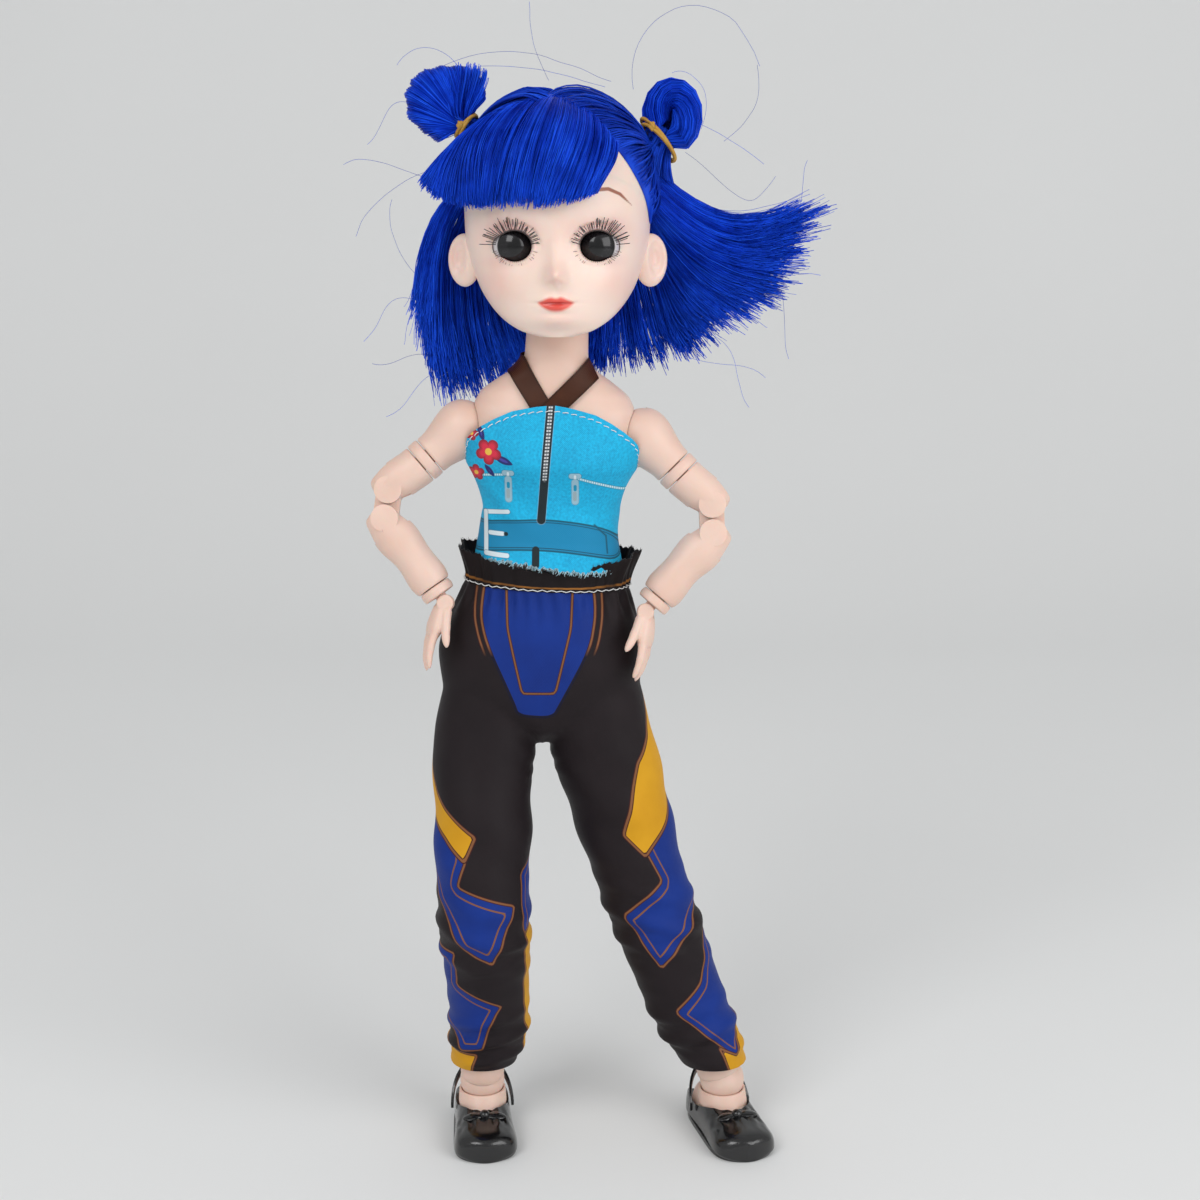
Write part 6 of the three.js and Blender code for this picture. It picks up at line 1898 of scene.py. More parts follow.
# %% Lashes
def lash_group():
    """Curved, tapered lashes that fan out from the lid's edge."""
    tree, add, source, out = geometry_group("eyelashes", [
        ("Spacing", "Float", 0.0005), ("Length", "Float", 0.004), ("Radius", "Float", 0.0001),
        ("Seed", "Int", 1), ("Material", "Material", None)])
    curve = as_curve(add, source, source["Spacing"])
    lash = short_curve(add, (0, 0.0, 0.35), (0, 0.06, 0.7), (0, 0.2, 1.0), 7)
    taper = affine(add, add("GeometryNodeSplineParameter").outputs["Factor"], -0.9, 1.0)
    lash = add("GeometryNodeSetCurveRadius", {"Curve": lash, "Radius": taper}).outputs[0]
    aim = add("FunctionNodeAlignRotationToVector", {"Vector": named_value(add, "across")}, axis="Z")
    aim = add("FunctionNodeAlignRotationToVector", {
        "Rotation": aim.outputs[0], "Vector": named_value(add, "outward")}, axis="Y",
              pivot_axis="Z")
    tilt = any_between(add, (-0.08, -0.2, -0.2), (0.10, 0.2, 0.2), source["Seed"])
    chance = any_between(add, 0.72, 1.1, source["Seed"])
    size = times(add, times(add, chance, named_value(add, "long", "FLOAT")), source["Length"])
    lashes = planted(add, curve, lash, aim.outputs[0], tilt, size)
    as_tube(add, lashes, source["Radius"], source["Material"], out, sides=4)
    return tree


def face_depth(x, z):
    """Where the face's surface is, at a place seen from the front."""
    size = skull.sizes(z)
    y = size[:, 3] - size[:, 1] * np.sqrt(np.maximum(0, 1 - ((x - size[:, 2]) / size[:, 0]) ** 2))
    return y - face_relief(np.column_stack([x, y, z]))


def lash_row(name, s, upper):
    """The line on the lid where lashes root, with their directions and relative lengths."""
    turn = np.radians(np.linspace(172, 6, 90) if upper else np.linspace(196, 344, 60))
    c, d = np.cos(turn), np.sin(turn)
    x, z = EYE_X + (EYE_HALF - 0.04) * c, EYE_Z + (EYE_TALL - 0.04) * d
    y = face_depth(x, z) - 0.12
    tip, fall = (4.4, 1.7) if upper else (1.9, 0.5)
    rise = face_depth(x + tip * c, z + tip * d) - fall - y
    across = units(np.column_stack([c * tip, np.minimum(-0.25 * tip, rise), d * tip]))
    outward = np.column_stack([c, 0 * c, d])
    long = 0.72 + 0.42 * np.clip((c + 0.7) / 1.6, 0, 1) if upper else 0.5 + 0.5 * np.abs(c)
    mirror = np.array([s, 1, 1])
    points = np.column_stack([x, y, z]) * mirror
    obj = guide_line(name, points + HEAD[:3, 3], across * mirror, outward * mirror)
    store(obj, "long", long)
    return obj


def lashes():
    tree = lash_group()
    dark = thread_material("lash_brown", rgb(38, 24, 22), rgb(18, 12, 12))
    reddish = thread_material("lower_lash", rgb(120, 66, 54), rgb(86, 44, 38))
    for side, s in SIDES:
        upper = run_nodes(lash_row(f"upper_lashes_{side}", s, True), tree, Spacing=0.00034,
                          Length=0.0038, Radius=0.0001, Seed=3 + s, Material=dark)
        keep(upper, "head", "lashes", f"lashes_{side}")
        lower = run_nodes(lash_row(f"lower_lashes_{side}", s, False), tree, Spacing=0.00055,
                          Length=0.0019, Radius=0.00006, Seed=13 + s, Material=reddish)
        keep(lower, "head", "lashes")


lashes()
print("eyes and lashes placed")

# %% [markdown]
# ## Hair
# Doll hair is thousands of straight, glossy fibres rooted in rows. The upper half is combed from a
# centre parting into two small buns, and the rest hangs. About 2,600 guide lines give the
# way of the hair. Geometry Nodes copy each guide, scatter and frizz the copies and cut them to
# uneven lengths. Under the strands lies a thin cap in darker hair, as painted shade in the roots.

# %% Strand group
def hair_group():
    """Copies each guide line into a lock of fine, uneven strands."""
    tree, add, source, out = geometry_group("hair_strands", [
        ("Copies", "Int", 8), ("Scatter", "Float", 0.0005), ("Frizz", "Float", 0.0006),
        ("Radius", "Float", 0.0001), ("Trim", "Float", 0.1), ("Seed", "Int", 1),
        ("Material", "Material", None)])
    curve = add("GeometryNodeMeshToCurve", {0: source["Geometry"]}).outputs[0]
    copies = add("GeometryNodeDuplicateElements", {"Geometry": curve, "Amount": source["Copies"]},
                 domain="SPLINE").outputs[0]
    share = add("GeometryNodeSplineParameter").outputs["Factor"]

    def for_strand(low, high, shift):
        """One random value for each whole strand."""
        seed = add("FunctionNodeIntegerMath", {0: source["Seed"], 1: shift}, operation="ADD")
        value = any_between(add, low, high, seed.outputs[0])
        kind = "FLOAT_VECTOR" if isinstance(low, tuple) else "FLOAT"
        return add("GeometryNodeFieldOnDomain", {0: value}, data_type=kind,
                   domain="CURVE").outputs[0]

    reach = times(add, source["Scatter"], affine(add, share, 0.75, 0.25))
    spread = vector_maths(add, "SCALE", for_strand((-1, -1, -1), (1, 1, 1), 1), reach)
    here = add("GeometryNodeInputPosition").outputs[0]
    wander = vector_maths(add, "ADD", here, for_strand((0, 0, 0), (0.06, 0.06, 0.06), 2))
    curls = add("ShaderNodeTexNoise", {"Vector": wander, "Scale": 85.0, "Detail": 1.0})
    curls = vector_maths(add, "SUBTRACT", curls.outputs["Color"], (0.5, 0.5, 0.5))
    frizz = times(add, source["Frizz"], maths(add, "POWER", share, 1.4))
    shift = vector_maths(add, "ADD", spread, vector_maths(add, "SCALE", curls, frizz))
    hair = shifted(add, copies, shift)
    cut = maths(add, "SUBTRACT", 1.0, times(add, source["Trim"], for_strand(0.0, 1.0, 3)))
    hair = add("GeometryNodeTrimCurve", {0: hair, 3: cut}, mode="FACTOR").outputs[0]
    for label, value, domain in (("shade", for_strand(0.0, 1.0, 4), "CURVE"),
                                 ("along", share, "POINT")):
        hair = add("GeometryNodeStoreNamedAttribute", {0: hair, 2: label, 3: value},
                   data_type="FLOAT", domain=domain).outputs[0]
    taper = affine(add, maths(add, "POWER", share, 4.0), -0.6, 1.0)
    hair = add("GeometryNodeSetCurveRadius", {"Curve": hair, "Radius": taper}).outputs[0]
    as_tube(add, hair, source["Radius"], source["Material"], out, sides=3)
    return tree


HAIR = hair_group()


def hair_material(name, bright, middle, dark, roughness=0.36):
    """Glossy nylon: every strand has its own shade, and a painted highlight lightens the ends
    against the roots.
    """
    material, add, shader = new_material(name, Specular_IOR_Level=0.3,
                                         Specular_Tint=(0.1, 0.22, 1.0, 1))
    locks = noise(add, 130.0, 2.0)
    shade = ramp(add, attribute(add, "shade"), 0.75, affine(add, locks, 1.1, -0.45))
    colour = blend_colour(add, shade, dark, middle)
    colour = blend_colour(add, maths(add, "POWER", shade, 2.5), colour, bright)
    # Painted highlight: the ends blend towards the bright colour.
    tip = maths(add, "POWER", attribute(add, "along"), 3.0)
    wire(shader, Base_Color=blend_colour(add, times(add, tip, 0.35), colour, bright),
         Roughness=affine(add, locks, 0.16, roughness - 0.08))
    return material


blue_hair = hair_material("blue_hair", rgb(40, 106, 255), rgb(11, 66, 236), rgb(6, 33, 152))
# Painted shade: a darker copy of the blue hair, for the crown, the roots, the core of the left bun
# and the stems, and also for single loose hairs.
navy_hair = hair_material("navy_hair", rgb(40, 95, 238), rgb(20, 66, 206), rgb(10, 36, 142))
print("strand group ready")

# %% Guides
chance = np.random.default_rng(39)
HEAD_CENTRE = np.array([0, 0.6, 27.0])
CROWN_TOP = 58.9


def hug(points, out):
    """Pushes points that would sink into the head out to its surface."""
    rel = points - HEAD_CENTRE
    far = np.linalg.norm(rel, axis=-1, keepdims=True)
    way = rel / far
    low, high = np.zeros(far.shape), np.full(far.shape, 60.0)
    for _ in range(16):
        middle = (low + high) / 2
        spot = HEAD_CENTRE + way * middle
        size = scalp.sizes(spot[..., 2])
        inside = np.hypot((spot[..., 0] - size[..., 2]) / size[..., 0],
                          (spot[..., 1] - size[..., 3]) / size[..., 1]) < 1
        inside = (inside & (spot[..., 2] < CROWN_TOP) & (spot[..., 2] > -3))[..., None]
        low, high = np.where(inside, middle, low), np.where(inside, high, middle)
    return HEAD_CENTRE + way * np.maximum(far, high + out)


def between(rows, u):
    """Control points at shares u of the way through a table of curves."""
    flat = np.array(rows, float).reshape(len(rows), -1)
    stops = np.linspace(0, 1, len(rows))
    controls = [np.interp(u, stops, flat[:, k]) for k in range(flat.shape[1])]
    return np.stack(controls, -1).reshape(len(u), 4, 3)


def bent(controls, v):
    """Cubic curves: controls (n, 4, 3) at shares v (m) give points (n, m, 3)."""
    v = v[None, :, None]
    p = controls[:, :, None, :]
    return ((1 - v) ** 3 * p[:, 0] + 3 * v * (1 - v) ** 2 * p[:, 1]
            + 3 * v ** 2 * (1 - v) * p[:, 2] + v ** 3 * p[:, 3])


def strands(name, paths, material, node=None, copies=9, scatter=0.5, frizz=1.2, radius=0.11,
            trim=0.0, seed=1):
    """Strands along guide paths (n, m, 3) in the head's millimetres."""
    paths = np.asarray(paths, float)
    n, m = paths.shape[:2]
    mesh = bpy.data.meshes.new(name)
    edges = [(i * m + k, i * m + k + 1) for i in range(n) for k in range(m - 1)]
    mesh.from_pydata(((paths.reshape(-1, 3) + HEAD[:3, 3]) * MM).tolist(), edges, [])
    obj = new_object(name, mesh)
    run_nodes(obj, HAIR, Copies=copies, Scatter=scatter * MM, Frizz=frizz * MM, Radius=radius * MM,
              Trim=trim, Seed=seed, Material=material)
    keep(obj, "head", "hair", *([node] if node else []))
    print(name, n * copies, "strands,", len(obj.data.polygons), "faces")


def gathered(u, count, pull):
    """Shares that lean towards the middles of a number of locks, by way of pull."""
    middle = (np.floor(u * count) + 0.5) / count
    return u + (middle - u) * pull


def face_outward(obj):
    edited(obj.data, lambda work: bmesh.ops.recalc_face_normals(work, faces=work.faces))


def solid_layer(name, outer, inner, material):
    """A closed body between two open grids of points, such as the dense hair under the strands."""
    rows, columns = outer.shape[:2]
    faces = grid_faces(rows, columns, False)
    count = rows * columns
    faces += [tuple(count + i for i in reversed(face)) for face in faces]
    left = [j * columns for j in range(rows)]
    rim = left + [(rows - 1) * columns + i for i in range(1, columns)]
    rim += [j + columns - 1 for j in left[-2::-1]] + list(range(columns - 2, 0, -1))
    faces += [(a, a + count, b + count, b) for a, b in zip(rim, rim[1:] + rim[:1])]
    points = np.concatenate([outer.reshape(-1, 3), inner.reshape(-1, 3)]) + HEAD[:3, 3]
    obj = build(name, points, faces, material, 60)
    face_outward(obj)
    return keep(obj, "head", "hair")

# %% [markdown]
# ## Combed crown and buns
# From the parting, the hairline and the back, the crown's hair runs over the head to two elastics.
# A straight line between root and elastic would cut through the head, so each point of it is
# pushed out to the surface. That gives the shortest way over the head, as combed hair lies.

# %% Crown
TIES = {"right": (np.array([-23.8, 3, 50.6]), np.array([-0.78, 0, 0.62])),
        "left": (np.array([26.6, 3, 46.8]), np.array([0.5, 0, 0.87]))}


def across_tie(axis):
    """The sideways direction in the plane of an elastic."""
    return np.array([axis[2], 0, -axis[0]])


def crown_roots(s, u):
    """Root places for one half of the crown, round its edge: parting, hairline, ear, back."""
    if s < 0:
        around = [(-92, 57.5), (-100, 55), (-125, 53), (-150, 50), (-172, 42), (-183, 33),
                  (-200, 29), (-230, 28), (-262, 28.5),
                  (-268, 38), (-268, 50), (-268, 57), (-180, 58.95), (-92, 58.6), (-92, 57.5)]
    else:
        around = [(-90, 57.5), (-84, 54), (-70, 51), (-58, 48.5), (-47, 46.5), (-38, 42.5),
                  (-27, 36.5), (-12, 30), (4, 27),
                  (20, 27.5), (50, 28), (82, 28.5), (88, 38), (88, 50), (88, 57), (0, 58.95),
                  (-90, 58.6), (-90, 57.5)]
    around = np.array(around, float)
    angle, height = (np.interp(u * (len(around) - 1), np.arange(len(around)), around[:, k])
                     for k in (0, 1))
    wave = 0.8 * np.sin(37 * u) + 0.5 * np.sin(91 * u)
    roots = scalp.points(np.radians(angle), height, 0.3)
    roots[:, 0] += np.where(height > 52, wave - 1.2, 0)
    return roots


def top_roots(s, u):
    """Roots along the parting where it crosses the top of the head."""
    _, depth, x, y, _ = scalp.sizes(CROWN_TOP)
    along = 2 * u - 1
    return np.stack([x + s * 0.3 + 0.5 * np.sin(9 * along), y + depth * along, 59.2 + 0 * along],
                    -1)


def combed(s, count, low, high, places=crown_roots):
    """Guides from their roots to the elastic, spread through the hair's thickness."""
    tie, axis = TIES["left" if s > 0 else "right"]
    u = (np.arange(count) + chance.random(count)) / count
    roots = places(s, u)
    toward = roots - tie
    toward -= (toward @ axis)[:, None] * axis
    toward = units(toward)
    layer = chance.uniform(low, high, count)
    end = tie - 1.5 * axis + toward * (0.6 + 0.9 * layer)[:, None]
    v = np.linspace(0, 1, 12)[None, :, None]
    straight = roots[:, None] * (1 - v) + end[:, None] * v
    straight += (-axis * 3.2)[None, None] * (4 * v * (1 - v)) * 0.5
    lock = 0.45 * np.abs(np.sin(np.pi * u * 26))
    rise = np.minimum(1, 4 * v[0, :, 0]) ** 0.7
    out = 0.35 + (layer + lock)[:, None] * rise[None, :]
    return hug(straight, out[..., None])


def close_crown(layer, out):
    """Draws the last ring of a layer in to one spot on top of the head, in a few smaller rings."""
    middle = layer[-1].mean(axis=0)
    middle[2] = 59 + out
    rings = [(middle + (layer[-1] - middle) * share)[None] for share in (0.66, 0.33, 0.02)]
    return np.concatenate([layer] + rings)


def crown_cap():
    """The dense roots as one closed layer, dark as painted shade, down to the crown's edge on every
    side.
    """
    angle = np.linspace(-180, 180, 97)
    turn = np.abs((angle + 90 + 180) % 360 - 180)
    side = np.where((angle > -90) & (angle < 90), np.clip((turn - 34) / 46, 0, 1),
                    np.clip((turn - 78) / 24, 0, 1))
    edge = 49.5 - 24.0 * side ** 1.1
    v = np.linspace(0, 1, 26)[:, None]
    height = edge[None, :] + (CROWN_TOP - edge)[None, :] * np.sin(v * np.pi / 2)
    skin_line = scalp.points(np.radians(angle)[None, :], height, 0.0)
    parting = np.clip(np.abs(skin_line[..., 0]) / 9 - 0.15, 0, 1)
    thick = 0.3 + 0.75 * np.minimum(1, v * 8) * np.clip((58.6 - height) / 3, 0, 1) * parting
    outer = close_crown(hug(skin_line, thick[..., None]), 0.35)
    inner = close_crown(hug(skin_line, 0.12), 0.12)
    obj = solid_layer("hair_roots", outer, inner, navy_hair)
    streak = 0.15 + 0.5 * np.abs(np.sin(np.radians(angle) * 61))
    store(obj, "shade", np.tile(streak[None, :], (2 * len(outer), 1)).ravel())


crown_cap()
crown = np.concatenate([combed(s, 150, 0.4, 2.1) for s in (-1, 1)])
strands("crown_hair", crown, navy_hair, "hair_crown", scatter=0.42, frizz=0.5, seed=5)

# %% Buns
def fan_bun(count):
    """Right bun: hair fans out of its elastic and folds back."""
    tie, axis = TIES["right"]
    spots = np.array([(-1, -7.2, -4.6), (0, -14.5, 1.5), (1, -15.0, 8.4), (2, -11.8, 13.0),
                      (3, -5.6, 14.6), (4, 0.5, 14.6), (5, 4.6, 11.5), (6, 5.6, 7.0)])
    k = 7 * (np.arange(count) + chance.random(count)) / count - 1
    reach = np.stack([np.interp(k, spots[:, 0], spots[:, 1]), 0 * k,
                      np.interp(k, spots[:, 0], spots[:, 2])], -1)
    layer = chance.random(count) ** 0.5
    reach *= (0.93 + 0.07 * layer + 0.015 * np.sin(9 * k))[:, None]
    v = np.linspace(0, 1, 13)[None, :]
    swing = (np.sin(np.pi * v) ** 0.62)[..., None]
    side = across_tie(axis) * (k - 2.5)[:, None] * 0.5
    points = tie + 1.2 * axis + side[:, None] * (1 - swing) + reach[:, None] * swing
    depth = -np.cos(np.pi * v) * (1.6 + 4.6 * np.sin(np.pi * v) ** 0.8)
    points[..., 0] += np.sin(2 * np.pi * v) * 0.8
    points[..., 1] += depth * (0.35 + 0.7 * layer)[:, None]
    return points


def tuft(count):
    """Cut ends that stand up from the right bun."""
    tie, axis = TIES["right"]
    k = chance.uniform(-1, 1, count)
    tip = np.stack([-24.6 + 5.2 * k + 1.2, 2 + chance.uniform(-2.5, 2.5, count),
                    66.4 - 1.6 * k ** 2 + chance.uniform(-1, 0.6, count)], -1)
    root = tie + 1.4 * axis + np.stack([k * 1.6, chance.uniform(-2, 1, count), 0 * k], -1)
    way = np.stack([-1.2 + 1.5 * k, -3 + 0 * k, 4.5 + 0 * k], -1)
    before = tip - (0.4 * k[:, None] + 0.3) * (1, 0, 0) - (0, 1.6, 6)
    return bent(np.stack([root, root + way, before, tip], 1), np.linspace(0, 1, 10))


def ring_bun(count):
    """Left bun: hair wound once round into an oval loop with a small dark hole."""
    tie, axis = TIES["left"]
    middle, wide, high, thick = np.array([30.2, 3.0, 53.2]), 4.2, 6.0, 3.9
    start = chance.uniform(0, 2 * np.pi, count)
    size = chance.random(count) ** 0.5
    turn = np.linspace(0, 1, 15)[None, :]
    theta = np.radians(-118) - turn * 2 * np.pi * 0.97
    around = start[:, None] + 1.6 * np.pi * turn * 0.5
    tube = thick * size[:, None] * (0.75 + 0.25 * np.sin(np.pi * turn) ** 0.5)
    ring = np.stack([(wide + tube * np.cos(around)) * np.cos(theta),
                     tube * 1.15 * np.sin(around) + 1.2 * np.sin(2 * np.pi * turn),
                     (high + tube * np.cos(around)) * np.sin(theta)], -1)
    grip = np.clip(1 - turn / 0.12, 0, 1) + np.clip(1 - (1 - turn) / 0.12, 0, 1)
    grip = grip[..., None]
    hold = tie + 0.8 * axis + (4.2 * size * np.cos(start))[:, None] * across_tie(axis)
    hold = hold + (2.2 * size * np.sin(start))[:, None] * (0, 1, 0)
    return (middle + ring) * (1 - grip * 0.85) + hold[:, None] * grip * 0.85


def loop_core(count):
    """Hair behind the loop's hole, from the elastic straight up."""
    tie, axis = TIES["left"]
    turn, size = chance.uniform(0, 2 * np.pi, count), chance.random(count) ** 0.5
    start = tie + 0.8 * axis + (2.6 * size * np.cos(turn))[:, None] * across_tie(axis) + (0, 2.0, 0)
    reach = [3.4 * size * np.cos(turn), chance.uniform(-1, 1, count), 4.6 * size * np.sin(turn)]
    end = np.array([30.4, 6.0, 55.5]) + np.stack(reach, -1)
    v = np.linspace(0, 1, 8)[None, :, None]
    return start[:, None] * (1 - v) + end[:, None] * v + (0, 1.2, 0) * np.sin(np.pi * v)


def stems(side, count):
    """Hair just before and inside an elastic."""
    tie, axis = TIES[side]
    turn = chance.uniform(0, 2 * np.pi, count)
    size = 2.7 * chance.random(count) ** 0.5
    across = np.cos(turn)[:, None] * across_tie(axis) * (1.75 if side == "left" else 1.0)
    across = across + np.sin(turn)[:, None] * np.array([0, 1.0, 0])
    v = np.linspace(-7.5, 3.5, 8)[None, :, None]
    wide = size[:, None, None] * (0.95 + 1.1 * np.clip(-v / 7.5, 0, 1) ** 1.6)
    return hug(tie + axis * v + across[:, None] * wide, 0.4)


def elastic(side):
    """A thin rubber band wound twice round the stem, with a small knot in front."""
    tie, axis = TIES[side]
    wide, tilt, knot_x = (1.7, 1.7, -3.4) if side == "left" else (1.0, 0.7, -0.8)
    across, deep = across_tie(axis), np.array([0, 1.0, 0])
    if side == "left":
        across = across - 0.324 * axis
    steps, sides = 160, 12
    turn = np.linspace(0, 4 * np.pi, steps, endpoint=False)
    far = 3.6 + 0.25 * np.sin(2.5 * turn)
    path = tie + (far * wide * np.cos(turn))[:, None] * across
    path = path + (far * np.sin(turn))[:, None] * deep
    path += axis * (0.75 * np.sin(turn / 2 + 0.4) - tilt * np.sin(turn))[:, None]
    along = units(np.roll(path, -1, axis=0) - np.roll(path, 1, axis=0))
    out = np.cos(turn)[:, None] * across + np.sin(turn)[:, None] * deep
    ring = full_turn(sides)[None, :, None]
    round_it = np.cos(ring) * out[:, None] + np.sin(ring) * np.cross(along, out)[:, None]
    last = (steps - 1) * sides
    faces = grid_faces(steps, sides, True)
    faces += [(last + i, last + (i + 1) % sides, (i + 1) % sides, i) for i in range(sides)]
    points = path[:, None] + 0.5 * round_it + HEAD[:3, 3]
    band = build(f"elastic_{side}", points, faces, rubber, 180)
    knot = ball_rings((0.95, 0.8, 1.25), columns=24, rows=16)
    knot = knot * (1 + 0.14 * np.sin(knot[..., :1] * 5 + knot[..., 2:] * 4))
    spot = knot_x * across - 3.6 * deep + 1.4 * axis
    band = fused([band, lofted("t", knot + tie + HEAD[:3, 3] + spot, rubber)], f"elastic_{side}")
    face_outward(band)
    keep(band, "head", "hair_elastic", f"hair_tie_{side}")


def rubber_band():
    material, add, shader = new_material("mustard_rubber", Subsurface_Weight=0.15,
                                         Subsurface_Scale=0.001)
    cloud = noise(add, 420.0, 4.0)
    wire(shader, Base_Color=blend_colour(add, cloud, rgb(168, 118, 34), rgb(206, 164, 62)),
         Roughness=affine(add, cloud, 0.3, 0.32), Normal=bump(add, cloud, 0.3, 0.0001))
    return material


rubber = rubber_band()
strands("bun_fan", fan_bun(260), blue_hair, "bun_right", copies=6, scatter=0.6, frizz=0.6, seed=21)
strands("bun_tuft", tuft(50), blue_hair, copies=7, scatter=0.6, frizz=0.9, radius=0.1, trim=0.12,
        seed=22)
strands("bun_loop", ring_bun(220), blue_hair, "bun_left", copies=7, scatter=0.45, frizz=0.5,
        seed=23)
# Painted shade: the core behind the loop's hole takes the darker hair.
strands("bun_core", loop_core(90), navy_hair, copies=6, scatter=0.4, frizz=0.4, seed=27)
for side, s in SIDES:
    strands(f"stem_{side}", stems(side, 60), navy_hair, copies=6, scatter=0.5, frizz=0.3,
            seed=24 + s)
    elastic(side)

# %% [markdown]
# ## Fringe and hanging hair
# The fringe sweeps down over the forehead to a blunt edge, and flares past the temple. The lower
# half hangs from the back of the head: short and ragged on the doll's right, and on its left a
# long lock that swings out and up at its ends, as hair does after it was combed to one side.

# %% Fringe
FRINGE = [
    [(-178, 52.5, 2.2), (-174, 49, 4.5), (-171, 43, 8), (-168, 36, 13)],
    [(-168, 53.5, 2.4), (-163, 50, 4), (-159, 40, 6.5), (-156, 31.5, 8)],
    [(-150, 56, 2.4), (-148, 52, 3.6), (-144, 40, 4.4), (-141, 29.8, 4.4)],
    [(-112, 58.2, 2.0), (-114, 54.5, 3.8), (-117, 41, 3.8), (-119, 29.9, 3.2)],
    [(-74, 58.5, 1.8), (-84, 54.5, 3.6), (-94, 41, 3.8), (-99, 30.2, 3.0)],
    [(-58, 54.0, 2.0), (-63, 51, 3.2), (-74, 41, 3.4), (-82, 31.2, 2.8)],
    [(-46, 45.8, 1.4), (-50, 43.0, 2.2), (-58, 39, 2.6), (-67, 33.8, 2.2)]]


def fringe_paths(count, low, high):
    """Guides over the forehead, gathered into locks at their tips."""
    u = (np.arange(count) + chance.random(count)) / count
    lean = gathered(u + 0.02 * np.sin(23 * u), 19, 0.12)
    v = np.linspace(0, 1, 11)
    root, tip = bent(between(FRINGE, u), v), bent(between(FRINGE, lean), v)
    share = v[None, :, None]
    path = root * (1 - share ** 2) + tip * share ** 2
    layer = chance.uniform(low, high, count)[:, None]
    v = v[None, :]
    out = path[..., 2] + layer * (0.25 + np.sin(np.pi * np.minimum(0.85, v)) ** 0.8 - 0.25 * v)
    return scalp.points(np.radians(path[..., 0]), path[..., 1], out)


strands("fringe_hair", fringe_paths(330, -1.6, 0.7), blue_hair, "hair_fringe", scatter=0.75,
        frizz=1.7, radius=0.095, trim=0.1, seed=31)

# %% Hanging hair
RIGHT_SIDE = [
    [(-24.5, -1, 36), (-36, 3, 28), (-36, 8, 10), (-39.5, 7, 4)],
    [(-25, 1, 33), (-36.5, 6, 24), (-36, 8, 0), (-34, 7, -13)],
    [(-24, 7, 30), (-35, 12, 20), (-33, 11, -4), (-29.5, 9, -19.8)],
    [(-21, 13, 28), (-31, 20, 16), (-27, 16, -6), (-22, 12, -20.5)],
    [(-15, 20, 28), (-22, 28, 14), (-18, 20, -4), (-13, 13, -15)],
    [(-10, 22, 28), (-14, 29, 12), (-12, 21, -4), (-8.2, 13, -13)]]
LEFT_WING = [
    [(25, 3, 41), (36, 9, 29), (50, 9, 22), (69, 4, 32)],
    [(26, 4, 36), (38, 9, 25), (50, 9, 18), (65, 4, 24.5)],
    [(26, 4, 31), (37, 9, 20), (50, 9, 14), (63, 3, 15)],
    [(25, 7, 29), (35, 12, 17), (47, 10, 9), (58.5, 5, 6)],
    [(24, 10, 28), (32, 16, 14), (40, 13, 6), (49.5, 8, 0.5)],
    [(22, 13, 27), (30, 20, 12), (33, 15, 2), (40, 10, -3)]]
LEFT_LOW = [
    [(23, 12, 27), (31, 19, 12), (35, 15, 1), (43, 10, -4.5)],
    [(20, 15, 27), (29, 23, 11), (31, 19, -3), (36, 12, -9.5)],
    [(15, 19, 27), (22, 27, 9), (22, 20, -6), (25, 13, -12)],
    [(10, 22, 27), (14, 29, 8), (13, 20, -7), (13, 14, -13)],
    [(6, 23, 27), (9, 30, 8), (9, 21, -6), (8.6, 14, -11)]]
BACK = [
    [(14, 20, 27), (18, 30, 8), (13, 23, -6), (11, 17, -13)],
    [(0, 25.5, 27), (0, 35, 8), (0, 26, -6), (0, 19, -13)],
    [(-14, 20, 27), (-20, 30, 8), (-14, 23, -6), (-9, 16, -13)]]


def hanging(rows, count, locks, pull, depth):
    """Guides through a table of curves, gathered into locks at their ends."""
    u = (np.arange(count) + chance.random(count)) / count
    v = np.linspace(0, 1, 11)
    root, tip = bent(between(rows, u), v), bent(between(rows, gathered(u, locks, pull)), v)
    share = v[None, :, None]
    path = root * (1 - share ** 1.5) + tip * share ** 1.5
    ragged = 1 + 0.05 * np.sin(locks * 9.7 * u) + 0.05 * chance.standard_normal(count)
    path = path[:, :1] + (path - path[:, :1]) * (1 + (ragged - 1)[:, None, None] * share ** 2)
    layer = chance.uniform(-1, 1, count)[:, None, None] * depth
    layer = layer * np.sin(np.pi * np.minimum(0.72, share * 0.72 + 0.06))
    middle = np.array([0, 0, 1]) * (path[..., 2:] - 10)
    outward = units(path - middle - np.array([0, -6.0, 10]))
    return hug(path + outward * layer, 0.5)


for name, rows, node, count, locks, seed in (
        ("side_hair_right", RIGHT_SIDE, "hair_side_right", 310, 15, 41),
        ("side_hair_left", LEFT_WING, "hair_side_left", 300, 15, 42),
        ("low_hair_left", LEFT_LOW, None, 190, 11, 43),
        ("back_hair", BACK, "hair_back", 250, 11, 44)):
    strands(name, hanging(rows, count, locks, 0.42, 2.2), blue_hair, node, scatter=0.8, frizz=3.0,
            radius=0.1, trim=0.16, seed=seed)

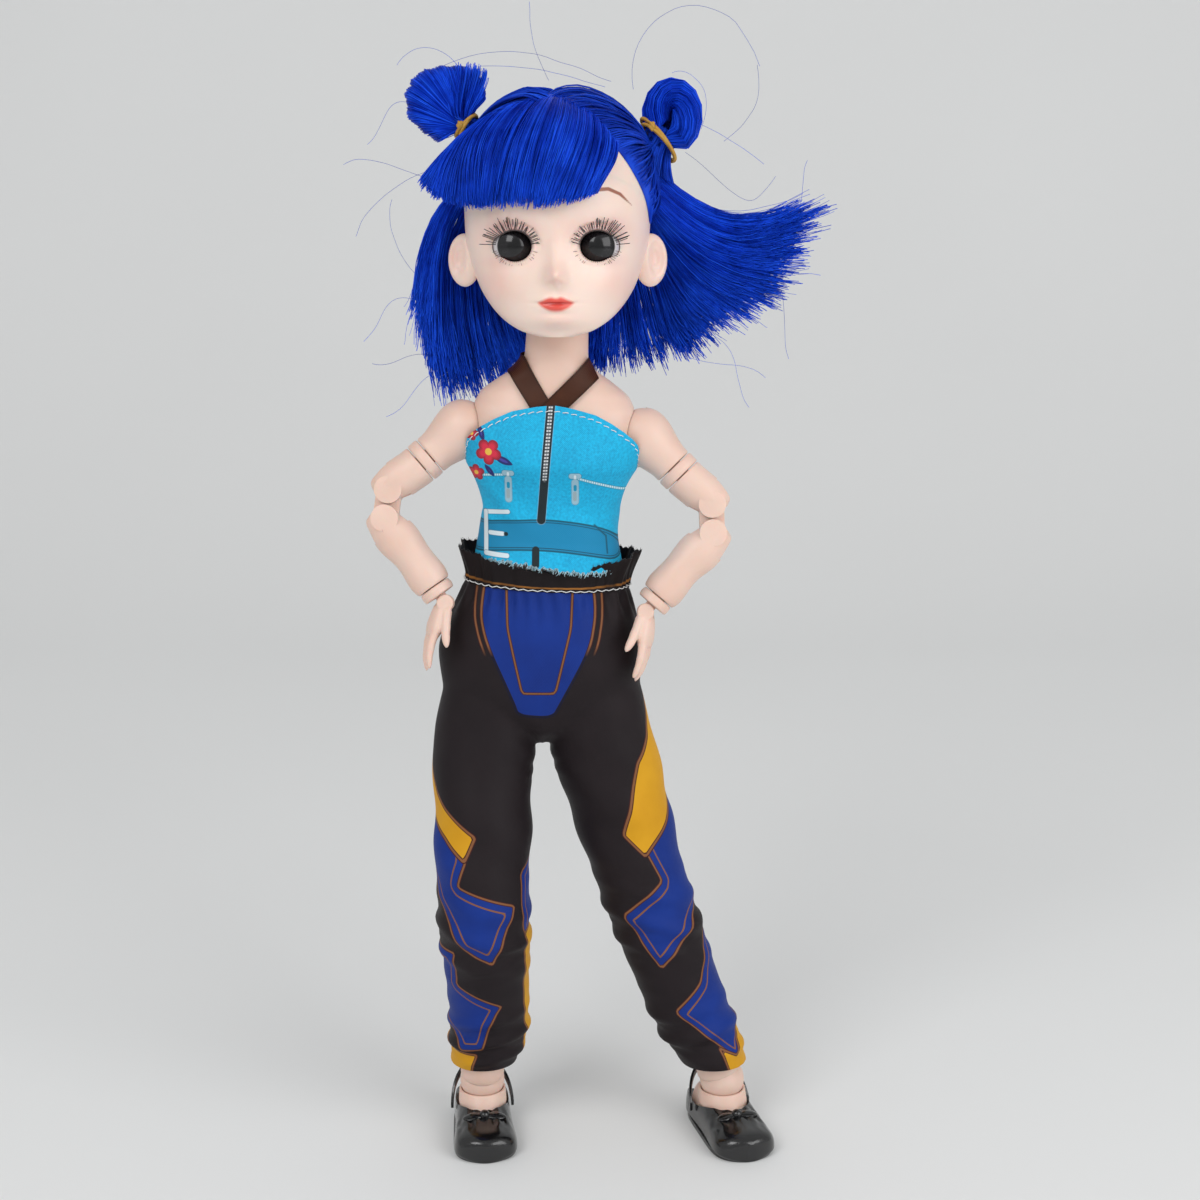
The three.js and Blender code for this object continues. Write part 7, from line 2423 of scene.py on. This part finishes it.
# %% Loose hairs
def loose_hairs():
    """Single hairs that escaped the comb, each a bent curve of its own."""
    hand = [
        [(20, 0, 60), (16, -4, 80), (44, -6, 92), (52, -4, 66)],
            [(52, -4, 66), (54, -3, 56), (50, 0, 50), (44, 2, 47)],
        [(-2, -4, 62), (-6, -6, 70), (-8, -6, 76), (-7, -4, 82)],
            [(-30, 2, 66), (-10, -6, 74), (2, -6, 66), (14, -3, 62)],
        [(-20, 2, 66), (-4, -5, 66), (4, -4, 63), (12, 0, 60)],
            [(36, 4, 52), (46, 2, 48), (50, 0, 44), (54, 0, 41)],
        [(34, 5, 44), (46, 4, 36), (50, 2, 24), (58, 0, 38)],
            [(38, 4, 50), (42, 2, 60), (36, 0, 66), (30, 0, 64)],
        [(-30, 0, 40), (-42, -2, 38), (-50, 0, 30), (-54, 2, 22)],
            [(-30, 0, 36), (-44, 0, 40), (-50, 2, 44), (-57, 2, 41)],
        [(-36, 6, 10), (-44, 4, 16), (-46, 2, 26), (-44, 0, 32)],
            [(-36, 6, 4), (-48, 4, 10), (-46, 2, 0), (-52, 0, -6)],
        [(-34, 7, -10), (-42, 6, -8), (-46, 4, -14), (-50, 2, -12)],
            [(-32, 7, -14), (-40, 6, -16), (-40, 4, -24), (-46, 2, -26)],
        [(40, 8, -4), (50, 6, -6), (48, 4, -18), (52, 4, -24)],
            [(34, 8, -10), (44, 6, -14), (50, 4, -10), (56, 4, -16)],
        [(60, 4, 8), (62, 4, 2), (60, 2, -4), (62, 0, -10)],
            [(64, 4, 28), (66, 2, 34), (64, 0, 38), (66, 0, 42)],
        [(-37, 3, 56), (-46, 0, 60), (-44, -2, 50), (-50, 0, 46)],
            [(-26, 2, 66), (-30, 0, 72), (-38, -2, 72), (-42, 0, 66)]]
    one = bent(np.array(hand, float), np.linspace(0, 1, 24))
    strands("loose_hair", one, navy_hair, copies=1, scatter=0.0, frizz=3.0, radius=0.055, seed=51)
    v = np.linspace(0.2, 1.08, 14)
    near = [bent(between(rows, chance.random(70)), v) for rows in (RIGHT_SIDE, LEFT_WING)]
    near = np.concatenate(near)
    stray = chance.standard_normal((len(near), 1, 3)) * (3.2, 1.6, 3.2)
    stray = stray * np.linspace(0, 1, 14)[None, :, None] ** 1.5
    strands("stray_hair", near + stray, blue_hair, copies=2, scatter=1.6, frizz=5.0, radius=0.06,
            trim=0.3, seed=52)


loose_hairs()
top = np.concatenate([combed(s, 26, 0.3, 1.5, top_roots) for s in (-1, 1)])
strands("parting_hair", top, navy_hair, "hair_crown", scatter=0.42, frizz=0.5, seed=53)
print("hair placed")
